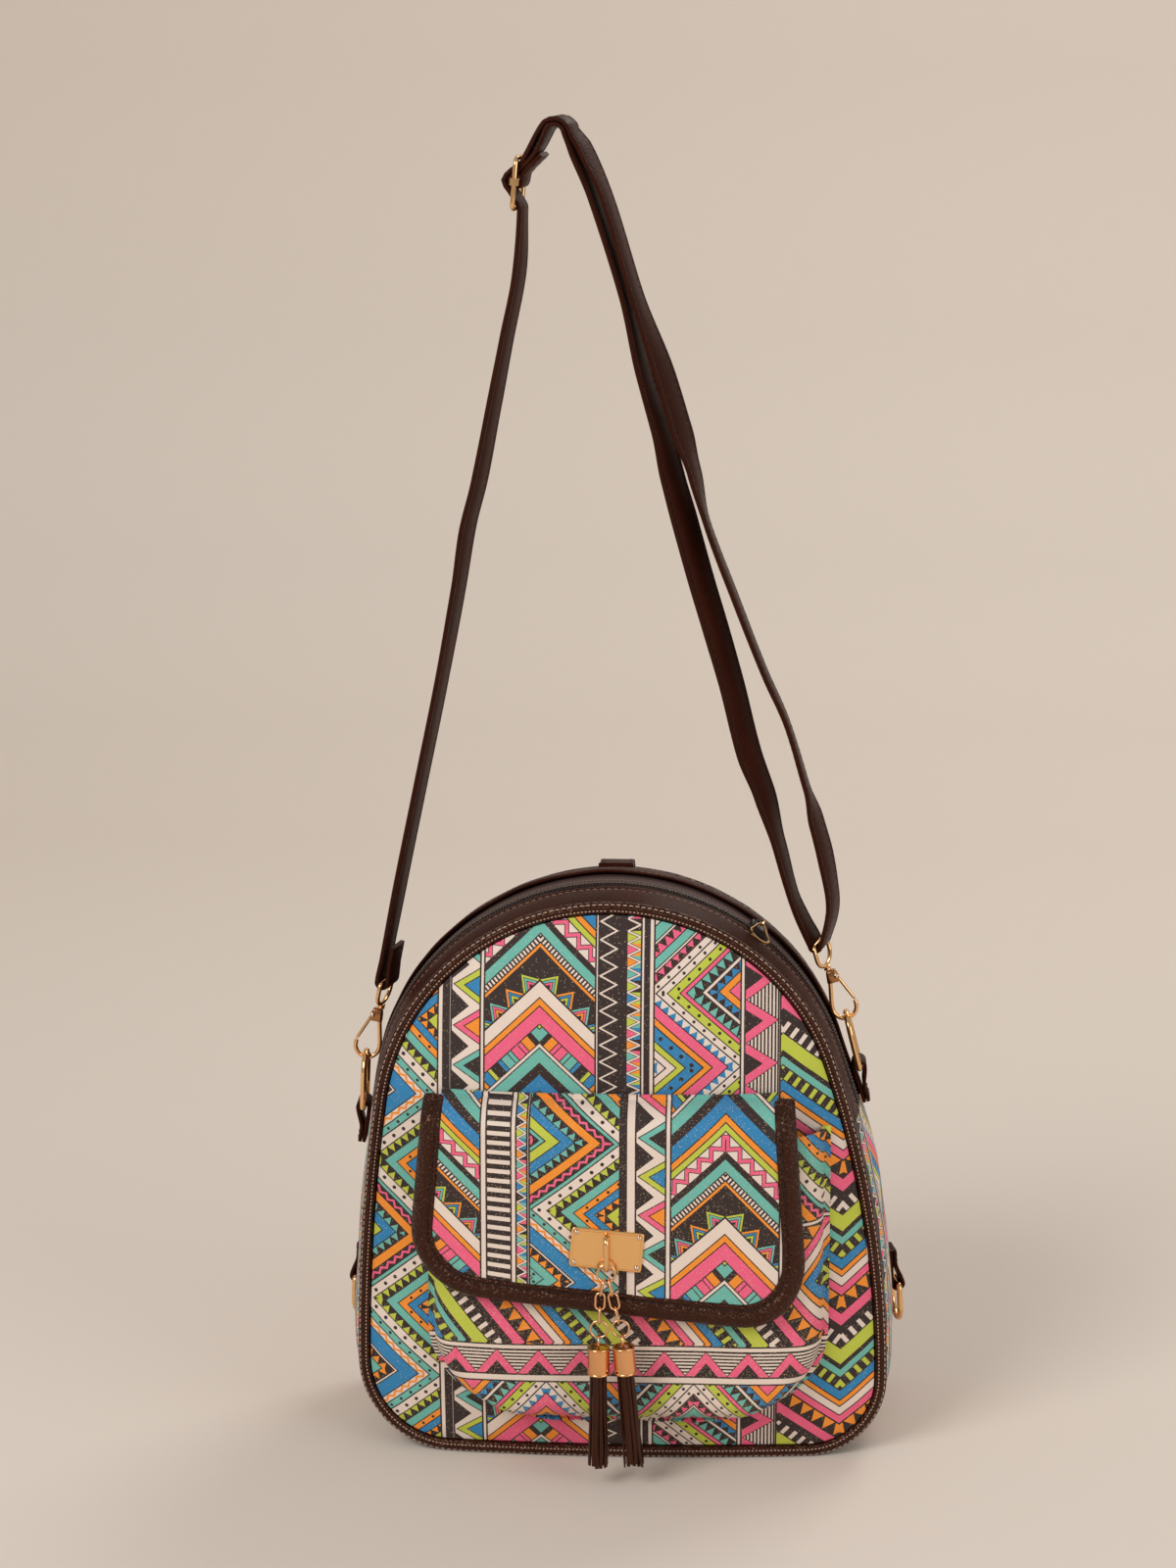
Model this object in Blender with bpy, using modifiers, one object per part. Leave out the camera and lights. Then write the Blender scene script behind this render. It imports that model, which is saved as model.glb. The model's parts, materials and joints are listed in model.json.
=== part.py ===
# Small backpack of printed canvas with a flap pocket, a zip over its arch and a long sling strap.
# Metres, +Z up. The front faces -Y and +X is to the right of someone who looks at the front.
# The origin is at the middle of the flat bottom, which the bag stands on.

import math

import bmesh
import bpy
from mathutils import Matrix, Vector

MM = 0.001

# Clearance between pieces that touch, and between those that touch along a curve
GAP = 0.3 * MM
CURVE_GAP = 0.45 * MM

# Outline of the body seen from the front: an arch, two flanks, two corners and a flat bottom
BAG_WIDTH = 262 * MM
BAG_HEIGHT = 281.5 * MM
SHOULDER_STEP = 15 * MM
CORNER_RADII = {-1: 46 * MM, 1: 38.7 * MM}
ARCH_SHIFT = -6.5 * MM
ARCH_RADIUS = BAG_WIDTH / 2 - SHOULDER_STEP
ARCH_Z = BAG_HEIGHT - ARCH_RADIUS

# Depth of the body, and how what is packed inside pushes the walls out
SEAM_DEPTH = 96 * MM
BOTTOM_BOW = 10 * MM
BOW_HEIGHT = 90 * MM
FRONT_DOME = 18 * MM
BACK_DOME = 6 * MM
DOME_POWER = 4
ARCH_BULGE = 2.8 * MM
FLANK_BULGE = 5 * MM
GUSSET_INSET = 1.5 * MM
CROWN_POWER = 2.6
BOTTOM_EDGE_SHARE = 0.12

# The rear of the arch sags a little below its front
REAR_DROP = 6.5 * MM
DROP_START_Z = 150 * MM
DROP_REACH = 130 * MM

# Walls and rolled edges
PANEL_T = 2 * MM
GUSSET_T = 1.8 * MM
BEAD_RADIUS = 3 * MM
PANEL_INSET = 2 * BEAD_RADIUS + GAP

# Spacing of the points along the outline
ARCH_SPACING = 19 * MM
FLANK_SPACING = 31 * MM
CORNER_SPACING = 13 * MM
BOTTOM_SHARES = (0.0, 0.4, 0.8)
PANEL_RINGS = (1.0, 0.93, 0.8, 0.6, 0.33)

# Zip over the arch
ZIP_END_DROP = 111.5 * MM
ZIP_END_Z = BAG_HEIGHT - ZIP_END_DROP
ZIP_Y = -18 * MM
TEETH_WIDTH = 6 * MM
TEETH_HEIGHT = 2.2 * MM
TAPE_T = 0.8 * MM
TAPE_FRONT = 4 * MM
TAPE_REAR = 15 * MM
TAPE_UNDER = 5 * MM
TAPE_LIFT = -GUSSET_T - CURVE_GAP

# Zip slider and its pull
SLIDER_ANGLE = math.radians(37)
SLIDER_LENGTH = 9 * MM
SLIDER_WALL = 1.1 * MM
SLIDER_PLAY = 0.7 * MM
SLIDER_ROOF_PLAY = 0.9 * MM
BRIDGE_RADIUS = 0.6 * MM
BRIDGE_SPAN = 6.6 * MM
PULL_EYE_RADIUS = 1.5 * MM
PULL_EYE_WIRE = 0.5 * MM
PULL_LENGTH = 22 * MM
PULL_WIDTH = 12 * MM
PULL_WIRE = 0.7 * MM
PULL_TILT = math.radians(9)

# Patch pocket on the front panel
POCKET_X = 3.5 * MM
POCKET_HALF = 98 * MM
POCKET_TOP = 172 * MM
POCKET_BOTTOM = 22 * MM
POCKET_CORNER_X = 66 * MM
POCKET_CORNER_Z = 48 * MM
POCKET_RISE = 13 * MM
POCKET_T = 1.5 * MM
POCKET_HEM = 3 * MM
HEM_LIFT = 0.9 * MM
POCKET_ROLL = 12 * MM

# Flap over the pocket, and its padded edge
FLAP_X = -6 * MM
FLAP_HALF = 98 * MM
FLAP_TOP_HALF = 89.5 * MM
FLAP_TOP = 191 * MM
FLAP_HEIGHT = 104 * MM
FLAP_CORNER = 34 * MM
FLAP_SKEW = -0.106
FLAP_T = 2.2 * MM
FLAP_HEM = 2 * MM
FLAP_ROLL = 14 * MM
FLAP_SIDE_DROP = 0.12
BINDING_WIDTH = 11 * MM
BINDING_START = 3 * MM
SNAP_SPACE = 5 * MM
CORNER_ANGLES = (0.0, 22.5, 45.0, 67.5, 90.0)

# Magnetic snap under the flap
SNAP_Z = 108 * MM
SNAP_RADIUS = 7 * MM
SOCKET_HEIGHT = 2.6 * MM
SOCKET_HOLE_RADIUS = 2.6 * MM
SOCKET_HOLE_DEPTH = 1.4 * MM
STUD_RADIUS = 2.1 * MM
STUD_HEIGHT = 1.0 * MM

# Gold plate on the flap, its rivets and its staple
PLATE_X = -6.1 * MM
PLATE_Z = 120 * MM
PLATE_WIDTH = 35 * MM
PLATE_HEIGHT = 20 * MM
PLATE_T = 1.4 * MM
PLATE_TURN = math.radians(5)
PLATE_SEAT = 0.4 * MM
RIVET_RADIUS = 1.2 * MM
RIVET_HEIGHT = 0.7 * MM
RIVET_MARGIN = 2.4 * MM
STAPLE_WIRE = 1.0 * MM
STAPLE_REACH = 6 * MM
STAPLE_TOP = 127 * MM
STAPLE_BOTTOM = 112 * MM

# Tassels and the chains that they hang on
JUMP_RING_RADIUS = 4.35 * MM
JUMP_RING_WIRE = 0.5 * MM
LINK_LENGTH = 8.4 * MM
LINK_WIDTH = 4.4 * MM
LINK_WIRE = 0.5 * MM
TASSEL_RING_RADIUS = 4.2 * MM
TASSEL_RING_WIRE = 0.5 * MM
CHAIN_SPREAD = math.radians(20)
CHAIN_LEANS = {"left": (11, 2, 2, 2, 0), "right": (13, 13, 13, 13, 5)}
CAP_RADIUS = 5.6 * MM
CAP_LENGTH = 14 * MM
CAP_WALL = 0.6 * MM
CAP_SIDES = 12
CAP_LIP = 0.3 * MM
CAP_RIM_DROP = 4.8 * MM
CAP_EYE_RADIUS = 3.3 * MM
CAP_EYE_WIRE = 0.5 * MM
FRINGE_LENGTH = 48.5 * MM
FRINGE_SEAT = 8 * MM
FRINGE_STRIPS = 9
FRINGE_FLARE = 1.18
FRINGE_CUT = 0.25 * MM
FRINGE_SWAY = 0.25 * MM

# Side tabs and the rings that the strap hooks on
TAB_WIDTH = 14 * MM
TAB_T = 1.8 * MM
TAB_LENGTH = 18 * MM
TAB_RISE = 14.5 * MM
LEFT_TAB_DROP = 23 * MM
RING_WIRE = 1.5 * MM
RING_LENGTH = 27.5 * MM
RING_WIDTH = 19 * MM
RING_BEND = 2.2 * MM
RING_LEANS = {"left": 6.5, "right": 3.5}

# Tabs and rings low on the back, where the hooks go when the bag is worn on the back
REAR_TAB_Z = 62 * MM
REAR_TAB_Y = 28 * MM
REAR_RING_LENGTH = 20 * MM

# Snap hooks, in the hook's own frame with its stem along Z
HOOK_LEANS = {"left": 12, "right": 16.5}
HOOK_WIRE = 1.1 * MM
HOOK_BOW_RADIUS = 6 * MM
HOOK_BOW_X = 1.6 * MM
HOOK_BOW_Z = -16.9 * MM
HOOK_TIP_Z = -14.9 * MM
BLOCK_WIDTH = 6.4 * MM
BLOCK_DEPTH = 5.2 * MM
BLOCK_HEIGHT = 6.4 * MM
BLOCK_ROOF = 1.3 * MM
STEM_X = -1.2 * MM
STEM_RADIUS = 0.7 * MM
STEM_HEAD_RADIUS = 1.2 * MM
STEM_HEAD_HEIGHT = 0.9 * MM
SLOT_WIDTH = 2.4 * MM
PIN_X = 2.0 * MM
PIN_Z = 0.1 * MM
PIN_RADIUS = 0.6 * MM
PIN_HEAD_RADIUS = 1.1 * MM
PIN_HEAD_HEIGHT = 0.5 * MM
GATE_WIRE = 0.8 * MM
GATE_EYE_RADIUS = 1.4 * MM
GATE_LEAN = math.radians(21.5)
EYE_WIRE = 1.1 * MM
EYE_BEND = 1.6 * MM
EYE_HEIGHT = 12.6 * MM
EYE_TURNS = {"left": 12, "right": 18}
BOSS_RADIUS = 1.9 * MM
BOSS_HEIGHT = 2.4 * MM

# Strap
STRAP_WIDTH = 18 * MM
STRAP_T = 2.2 * MM
EYE_PLAY = 0.4 * MM
STRAP_SPACING = 14 * MM
STRAP_APEX_X = -33 * MM
STRAP_APEX_Z = 651.3 * MM
APEX_RADIUS = 7.5 * MM
APEX_TURN = 12
STRAP_LAP = 18 * MM

# Slide adjuster, near the top of the strap
ADJUSTER_X = STRAP_APEX_X - 18.8 * MM
ADJUSTER_Z = STRAP_APEX_Z - 30.3 * MM
ADJUSTER_TILT = math.radians(5)
ADJUSTER_TURN = 8
ADJUSTER_HALF = 12 * MM
ADJUSTER_WIRE = 1.2 * MM
ADJUSTER_PLAY = 1.4 * MM
ADJUSTER_BAR_RISE = 1 * MM
SLEEVE_RADIUS = 1.9 * MM
SLEEVE_LENGTH = 3.4 * MM

# Loop at the top of the back
LOOP_X = -6 * MM
LOOP_WIDTH = 17.5 * MM
LOOP_T = 2 * MM
LOOP_STAND = 7 * MM
LOOP_FRONT_Y = 22 * MM
LOOP_DROP = 48 * MM
LOOP_RISE = 1 * MM


def clear_scene():
    for old in list(bpy.data.objects):
        bpy.data.objects.remove(old, do_unlink=True)


def collection(name):
    group = bpy.data.collections.new(name)
    bpy.context.scene.collection.children.link(group)
    return group


clear_scene()
PARTS = collection("backpack")
CUTTERS = collection("cutters")


def material(name, colour, roughness, metallic=0.0):
    made = bpy.data.materials.new(name)
    made.use_nodes = True
    shader = made.node_tree.nodes["Principled BSDF"]
    shader.inputs["Base Color"].default_value = (*colour, 1.0)
    shader.inputs["Roughness"].default_value = roughness
    shader.inputs["Metallic"].default_value = metallic
    made.diffuse_color = (*colour, 1.0)
    return made


CANVAS = material("printed_canvas", (0.55, 0.36, 0.38), 0.75)
LEATHER = material("brown_leather", (0.045, 0.015, 0.010), 0.42)
TAPE = material("zip_tape", (0.030, 0.018, 0.018), 0.85)
COIL = material("zip_coil", (0.018, 0.014, 0.014), 0.45)
ENAMEL = material("black_enamel", (0.02, 0.017, 0.016), 0.35)
GOLD = material("gold_metal", (0.87, 0.46, 0.16), 0.22, 1.0)


def new_object(name, mesh, look, group=None):
    made = bpy.data.objects.new(name, mesh)
    mesh.materials.clear()
    mesh.materials.append(look)
    (group or PARTS).objects.link(made)
    return made


def finish_mesh(bm, name, smooth_angle=35):
    bm.normal_update()
    bmesh.ops.recalc_face_normals(bm, faces=bm.faces)
    mesh = bpy.data.meshes.new(name)
    bm.to_mesh(mesh)
    bm.free()
    mesh.shade_smooth()
    mesh.set_sharp_from_angle(angle=math.radians(smooth_angle))
    return mesh


def move_origin(made, pivot, turn=None):
    """Put the object's origin on its joint without moving the piece"""
    place = Matrix.Translation(pivot)
    if turn is not None:
        place = place @ turn.to_4x4()
    made.data.transform(place.inverted() @ made.matrix_world)
    made.matrix_world = place
    return made


def add_modifier(made, kind, **settings):
    modifier = made.modifiers.new(kind.lower(), kind)
    for key, value in settings.items():
        setattr(modifier, key, value)
    return modifier


def solidify(made, thickness, offset=-1.0):
    return add_modifier(made, "SOLIDIFY", thickness=thickness, offset=offset, use_even_offset=True)


def grid_mesh(name, rows, facing, pole=None, around=False):
    """Open surface through rows of points, its normals towards the point or direction given"""
    bm = bmesh.new()
    verts = [[bm.verts.new(point) for point in row] for row in rows]
    for low, high in zip(verts, verts[1:]):
        count = len(low) if around else len(low) - 1
        for i in range(count):
            j = (i + 1) % len(low)
            bm.faces.new((low[i], low[j], high[j], high[i]))
    if pole is not None:
        top = bm.verts.new(pole)
        for i in range(len(verts[-1])):
            j = (i + 1) % len(verts[-1])
            bm.faces.new((verts[-1][i], verts[-1][j], top))
    bm.normal_update()
    probe = max(bm.faces, key=lambda face: face.calc_area())
    if probe.normal.dot(facing(probe.calc_center_median())) < 0:
        bmesh.ops.reverse_faces(bm, faces=bm.faces)
    mesh = bpy.data.meshes.new(name)
    bm.to_mesh(mesh)
    bm.free()
    mesh.shade_smooth()
    mesh.set_sharp_from_angle(angle=math.radians(40))
    return mesh


def shell(name, rows, thickness, look, facing, pole=None, around=False):
    made = new_object(name, grid_mesh(name, rows, facing, pole, around), look)
    solidify(made, thickness)
    return made


def loft(name, sections, look, around=False, group=None):
    """Solid through like sections, closed on itself or capped at both ends"""
    bm = bmesh.new()
    rings = [[bm.verts.new(point) for point in section] for section in sections]
    pairs = list(zip(rings, rings[1:]))
    if around:
        pairs.append((rings[-1], rings[0]))
    for low, high in pairs:
        for i in range(len(low)):
            j = (i + 1) % len(low)
            bm.faces.new((low[i], low[j], high[j], high[i]))
    if not around:
        bm.faces.new(rings[0])
        bm.faces.new(rings[-1])
    return new_object(name, finish_mesh(bm, name), look, group)


def tube(name, points, radius, look, cyclic=False, sides=6):
    """Round wire along the points, with filled ends"""
    curve = bpy.data.curves.new(name, "CURVE")
    curve.dimensions = "3D"
    curve.bevel_depth = radius
    curve.bevel_resolution = (sides - 4) // 2
    curve.use_fill_caps = True
    spline = curve.splines.new("POLY")
    spline.points.add(len(points) - 1)
    for slot, point in zip(spline.points, points):
        slot.co = (*point, 1.0)
    spline.use_cyclic_u = cyclic
    made = bpy.data.objects.new(name, curve)
    curve.materials.append(look)
    PARTS.objects.link(made)
    return made


def as_mesh(made):
    """Turn a wire into a mesh with welded ends, so that it can be cut or joined"""
    bpy.context.view_layer.update()
    mesh = bpy.data.meshes.new_from_object(made.evaluated_get(bpy.context.evaluated_depsgraph_get()))
    bm = bmesh.new()
    bm.from_mesh(mesh)
    bmesh.ops.remove_doubles(bm, verts=bm.verts, dist=0.00001)
    bm.normal_update()
    bmesh.ops.recalc_face_normals(bm, faces=bm.faces)
    bm.to_mesh(mesh)
    bm.free()
    name, place, look = made.name, made.matrix_world.copy(), made.data.materials[0]
    bpy.data.objects.remove(made, do_unlink=True)
    solid = new_object(name, mesh, look)
    solid.matrix_world = place
    return solid


def as_tool(made):
    """Make a solid a hidden operand of a Boolean"""
    for group in list(made.users_collection):
        group.objects.unlink(made)
    CUTTERS.objects.link(made)
    made.hide_render = True
    made.display_type = "WIRE"
    return made


def boolean(made, tool, operation):
    add_modifier(made, "BOOLEAN", object=as_tool(tool), operation=operation, solver="EXACT")
    return made


def box(name, low, high, look):
    bm = bmesh.new()
    bmesh.ops.create_cube(bm, size=1.0)
    size = Vector(high) - Vector(low)
    bmesh.ops.scale(bm, vec=size, verts=bm.verts)
    bmesh.ops.translate(bm, vec=(Vector(high) + Vector(low)) / 2, verts=bm.verts)
    return new_object(name, finish_mesh(bm, name), look)


def rod(name, start, end, radius, look, sides=12):
    """Cylinder from one point to another"""
    start, end = Vector(start), Vector(end)
    bm = bmesh.new()
    bmesh.ops.create_cone(bm, cap_ends=True, segments=sides, radius1=radius, radius2=radius,
                          depth=(end - start).length)
    turn = (end - start).to_track_quat("Z", "Y").to_matrix().to_4x4()
    bm.transform(Matrix.Translation((start + end) / 2) @ turn)
    return new_object(name, finish_mesh(bm, name), look)


def turned(name, profile, look, steps=16):
    """Solid turned about Z from a profile of (radius, height) that runs down its outer side"""
    mesh = bpy.data.meshes.new(name)
    edges = [(i, i + 1) for i in range(len(profile) - 1)]
    mesh.from_pydata([(r, 0.0, z) for r, z in profile], edges, [])
    made = new_object(name, mesh, look)
    add_modifier(made, "SCREW", axis="Z", steps=steps, render_steps=steps, use_merge_vertices=True,
                 merge_threshold=0.00001, use_smooth_shade=False)
    return made


def torus(name, centre, axis, radius, wire, look, segments=14, sides=6):
    bpy.ops.mesh.primitive_torus_add(major_radius=radius, minor_radius=wire, major_segments=segments,
                                     minor_segments=sides)
    made = bpy.context.object
    made.name = name
    made.data.name = name
    made.data.materials.append(look)
    for group in list(made.users_collection):
        group.objects.unlink(made)
    PARTS.objects.link(made)
    turn = Vector(axis).to_track_quat("Z", "Y").to_matrix().to_4x4()
    made.data.transform(Matrix.Translation(centre) @ turn)
    made.data.shade_smooth()
    return made


def oval(centre, along, across, length, width, count=12):
    """Points of an oval with straight sides, its length along one direction"""
    radius = width / 2
    straight = length / 2 - radius
    points = []
    for i in range(count):
        angle = 2 * math.pi * (i + 0.5) / count
        shift = math.copysign(straight, math.cos(angle))
        points.append(centre + along * (shift + radius * math.cos(angle)) + across * radius * math.sin(angle))
    return points


def quarter(value):
    """Rises like a quarter circle from 0 to 1"""
    value = min(max(value, 0.0), 1.0)
    return math.sqrt(1 - (1 - value) ** 2)


def smooth(value):
    value = min(max(value, 0.0), 1.0)
    return value * value * (3 - 2 * value)


def blend(first, second, share):
    return first + (second - first) * share


# Outline, by the run along it from the top of the arch: positive down the right side


def half_outline(side):
    """Half width from the arch's centre line, the flank's radius and the arch's last angle"""
    half = BAG_WIDTH / 2 - side * ARCH_SHIFT
    step = half - ARCH_RADIUS
    rise = ARCH_Z - CORNER_RADII[side]
    reach = (step ** 2 + rise ** 2) / (2 * step)
    return half, ARCH_RADIUS + reach, math.asin(rise / reach)


def outline_runs(side):
    """Runs at the end of the arch, of the flank and of the corner"""
    half, flank_radius, last = half_outline(side)
    arch = ARCH_RADIUS * (math.pi / 2 - last)
    flank = arch + flank_radius * last
    return arch, flank, flank + CORNER_RADII[side] * math.pi / 2


def outline_at(run):
    """Point of the outline and its outward normal"""
    side = 1 if run >= 0 else -1
    half, flank_radius, last = half_outline(side)
    arch, flank, corner = outline_runs(side)
    bend = CORNER_RADII[side]
    run = abs(run)
    if run > corner:
        x = half - bend - (run - corner)
        return Vector((ARCH_SHIFT + side * x, 0, 0)), Vector((0, 0, -1))
    if run <= arch:
        x, z, radius, angle = 0.0, ARCH_Z, ARCH_RADIUS, math.pi / 2 - run / ARCH_RADIUS
    elif run <= flank:
        x, z, radius = half - flank_radius, bend, flank_radius
        angle = last - (run - arch) / flank_radius
    else:
        x, z, radius = half - bend, bend, bend
        angle = -(run - flank) / bend
    normal = Vector((side * math.cos(angle), 0, math.sin(angle)))
    return Vector((ARCH_SHIFT + side * x, 0, z)) + radius * normal, normal


def run_at_height(side, z):
    """Run of the point of the arch or flank at this height"""
    half, flank_radius, last = half_outline(side)
    if z >= ARCH_Z + ARCH_RADIUS * math.sin(last):
        return side * ARCH_RADIUS * (math.pi / 2 - math.asin((z - ARCH_Z) / ARCH_RADIUS))
    arch = outline_runs(side)[0]
    return side * (arch + flank_radius * (last - math.asin((z - CORNER_RADII[side]) / flank_radius)))


def side_knots(side):
    """Runs of the mesh points of one side, from the top to near the middle of the bottom"""
    arch, flank, corner = outline_runs(side)
    breaks = sorted((0.0, arch, abs(run_at_height(side, ZIP_END_Z)), flank, corner))
    knots = []
    for start, end in zip(breaks, breaks[1:]):
        middle = (start + end) / 2
        spacing = ARCH_SPACING if middle < arch else FLANK_SPACING if middle < flank else CORNER_SPACING
        count = max(1, round((end - start) / spacing))
        knots += [blend(start, end, i / count) for i in range(count)]
    flat = BAG_WIDTH / 2 - CORNER_RADII[side]
    knots += [corner + share * flat for share in BOTTOM_SHARES]
    return [side * knot for knot in knots]


RIGHT_KNOTS = side_knots(1)
LEFT_KNOTS = side_knots(-1)[1:]
ALL_KNOTS = RIGHT_KNOTS + LEFT_KNOTS[::-1]
RIGHT_ZIP_END = run_at_height(1, ZIP_END_Z)
LEFT_ZIP_END = run_at_height(-1, ZIP_END_Z)
TINY = 1e-7
ZIP_KNOTS = [k for k in LEFT_KNOTS[::-1] if k >= LEFT_ZIP_END - TINY]
ZIP_KNOTS += [k for k in RIGHT_KNOTS if k <= RIGHT_ZIP_END + TINY]
LOWER_KNOTS = [k for k in RIGHT_KNOTS if k >= RIGHT_ZIP_END - TINY]
LOWER_KNOTS += [k for k in LEFT_KNOTS[::-1] if k <= LEFT_ZIP_END + TINY]


# Surfaces of the body


def front_seam_y(point):
    across = max(0.0, 1 - (2 * point.x / BAG_WIDTH) ** 2)
    up = max(0.0, 1 - point.z / BOW_HEIGHT)
    return -SEAM_DEPTH / 2 - BOTTOM_BOW * across * up ** 2


def gusset_edges(run):
    """Front and back edge of the gusset, which butt against the rolled edges"""
    point = outline_at(run)[0]
    return front_seam_y(point) + BEAD_RADIUS + GAP, SEAM_DEPTH / 2 - BEAD_RADIUS - GAP


def sag(point):
    """Point moved down with the rear of the arch"""
    down = REAR_DROP * smooth(point.y / (SEAM_DEPTH / 2)) * smooth((point.z - DROP_START_Z) / DROP_REACH)
    return point - Vector((0, 0, down))


def gusset_bulge(run):
    arch, flank, corner = outline_runs(1 if run >= 0 else -1)
    run = abs(run)
    if run <= flank:
        return blend(ARCH_BULGE, FLANK_BULGE, smooth(2 * (run - arch) / (flank - arch)))
    return FLANK_BULGE * (1 - smooth((run - flank) / (corner - flank)))


def gusset_point(run, y, lift=0.0):
    """Point of the gusset's outer face, or of a face lifted off it"""
    point, normal = outline_at(run)
    front, back = gusset_edges(run)
    share = min(max((y - front) / (back - front), 0.0), 1.0)
    crown = 1 - abs(2 * share - 1) ** CROWN_POWER
    plateau = smooth(share / BOTTOM_EDGE_SHARE) * smooth((1 - share) / BOTTOM_EDGE_SHARE)
    down = max(0.0, -normal.z) ** 2
    fill = blend(crown, plateau, down)
    reach = -GUSSET_INSET + (GUSSET_INSET + gusset_bulge(run)) * fill + lift
    return sag(point + normal * reach + Vector((0, y, 0)))


def panel_edge():
    """Points of the panels' edge, inside the rolled edge"""
    points = []
    for run in ALL_KNOTS:
        point, normal = outline_at(run)
        points.append(point - normal * PANEL_INSET)
    return points


PANEL_EDGE = panel_edge()
PANEL_CENTRE = Vector((ARCH_SHIFT, 0, BAG_HEIGHT / 2))


def face_share(x, z):
    """0 at the middle of a panel and 1 at its edge"""
    ray = Vector((x, 0, z)) - PANEL_CENTRE
    if ray.length < TINY:
        return 0.0
    for i, start in enumerate(PANEL_EDGE):
        a = start - PANEL_CENTRE
        b = PANEL_EDGE[(i + 1) % len(PANEL_EDGE)] - PANEL_CENTRE
        turn = a.x * b.z - a.z * b.x
        first = (ray.x * b.z - ray.z * b.x) / turn
        second = (a.x * ray.z - a.z * ray.x) / turn
        if first >= -TINY and second >= -TINY:
            return first + second
    return 1.0


def front_face_y(x, z):
    """Outer face of the front panel"""
    rise = FRONT_DOME * (1 - min(face_share(x, z), 1.0) ** DOME_POWER)
    return front_seam_y(Vector((x, 0, z))) - PANEL_T / 2 - rise


def back_face_y(x, z):
    """Outer face of the back panel"""
    rise = BACK_DOME * (1 - min(face_share(x, z), 1.0) ** DOME_POWER)
    return SEAM_DEPTH / 2 + PANEL_T / 2 + rise


def rear_face_y(x, z):
    """Outer face of the back panel where it has sagged"""
    level_z = z
    for step in range(4):
        level_z += z - sag(Vector((x, back_face_y(x, level_z), level_z))).z
    return back_face_y(x, level_z)


def outward(point):
    """Away from the middle of the body, seen from the front"""
    return Vector((point.x, 0, point.z)) - PANEL_CENTRE


def forward(point):
    return Vector((0, -1, 0))


def backward(point):
    return Vector((0, 1, 0))


# Body


def make_panel(name, face_y, facing):
    rows = []
    for share in PANEL_RINGS:
        ring = [PANEL_CENTRE.lerp(point, share) for point in PANEL_EDGE]
        rows.append([sag(Vector((p.x, face_y(p.x, p.z), p.z))) for p in ring])
    pole = sag(Vector((PANEL_CENTRE.x, face_y(PANEL_CENTRE.x, PANEL_CENTRE.z), PANEL_CENTRE.z)))
    return shell(name, rows, PANEL_T, CANVAS, facing, pole, around=True)


def make_piping(name, seam_y):
    points = []
    for run in ALL_KNOTS:
        point, normal = outline_at(run)
        points.append(sag(point - normal * BEAD_RADIUS + Vector((0, seam_y(point), 0))))
    return tube(name, points, BEAD_RADIUS, LEATHER, cyclic=True)


def make_lower_gusset():
    shares = (0.0, BOTTOM_EDGE_SHARE, 0.31, 0.5, 0.69, 1 - BOTTOM_EDGE_SHARE, 1.0)
    knots = [RIGHT_ZIP_END + CURVE_GAP] + LOWER_KNOTS[1:-1] + [LEFT_ZIP_END - CURVE_GAP]
    rows = []
    for share in shares:
        rows.append([gusset_point(run, blend(*gusset_edges(run), share)) for run in knots])
    return shell("lower_gusset", rows, GUSSET_T, CANVAS, outward)


def zip_strip(name, thickness, look, ys, lift=0.0):
    rows = [[gusset_point(run, y, lift) for run in ZIP_KNOTS] for y in ys]
    return shell(name, rows, thickness, look, outward)


def make_zip_gusset():
    front, back = gusset_edges(0.0)
    half = TEETH_WIDTH / 2
    strip_front = ZIP_Y - half - TAPE_FRONT
    strip_rear = ZIP_Y + half + TAPE_REAR
    zip_strip("gusset_strip_front", GUSSET_T, LEATHER, (front, blend(front, strip_front, 0.45), strip_front))
    rear = [blend(strip_rear, back, share) for share in (0.0, 0.14, 0.4, 0.7, 1.0)]
    zip_strip("gusset_strip_rear", GUSSET_T, LEATHER, rear)
    zip_strip("zip_tape_front", TAPE_T, TAPE, (strip_front - TAPE_UNDER, ZIP_Y - GAP / 2), TAPE_LIFT)
    rear_tape = (ZIP_Y + GAP / 2, strip_rear - TAPE_REAR / 2, strip_rear + TAPE_UNDER)
    zip_strip("zip_tape_rear", TAPE_T, TAPE, rear_tape, TAPE_LIFT)
    make_teeth()


def make_teeth():
    """The closed coil: a band with a groove along its middle"""
    half = TEETH_WIDTH / 2
    low = TAPE_LIFT + GAP
    high = low + TEETH_HEIGHT
    groove = 0.5 * MM
    profile = ((-half, low), (half, low), (half, high - groove), (half - groove, high), (groove, high),
               (0.0, high - groove), (-groove, high), (groove - half, high), (-half, high - groove))
    sections = []
    for run in ZIP_KNOTS:
        sections.append([gusset_point(run, ZIP_Y + across, lift) for across, lift in profile])
    return loft("zip_teeth", sections, COIL)


# Zip slider


def slider_frame():
    """Origin on the gusset's face at the slider, and its directions along and out of the zip"""
    run = SLIDER_ANGLE * ARCH_RADIUS
    normal = outline_at(run)[1]
    return gusset_point(run, ZIP_Y), Vector((normal.z, 0, -normal.x)), normal


def in_frame(frame, along, across, out):
    origin, direction, normal = frame
    return origin + direction * along + Vector((0, across, 0)) + normal * out


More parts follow.
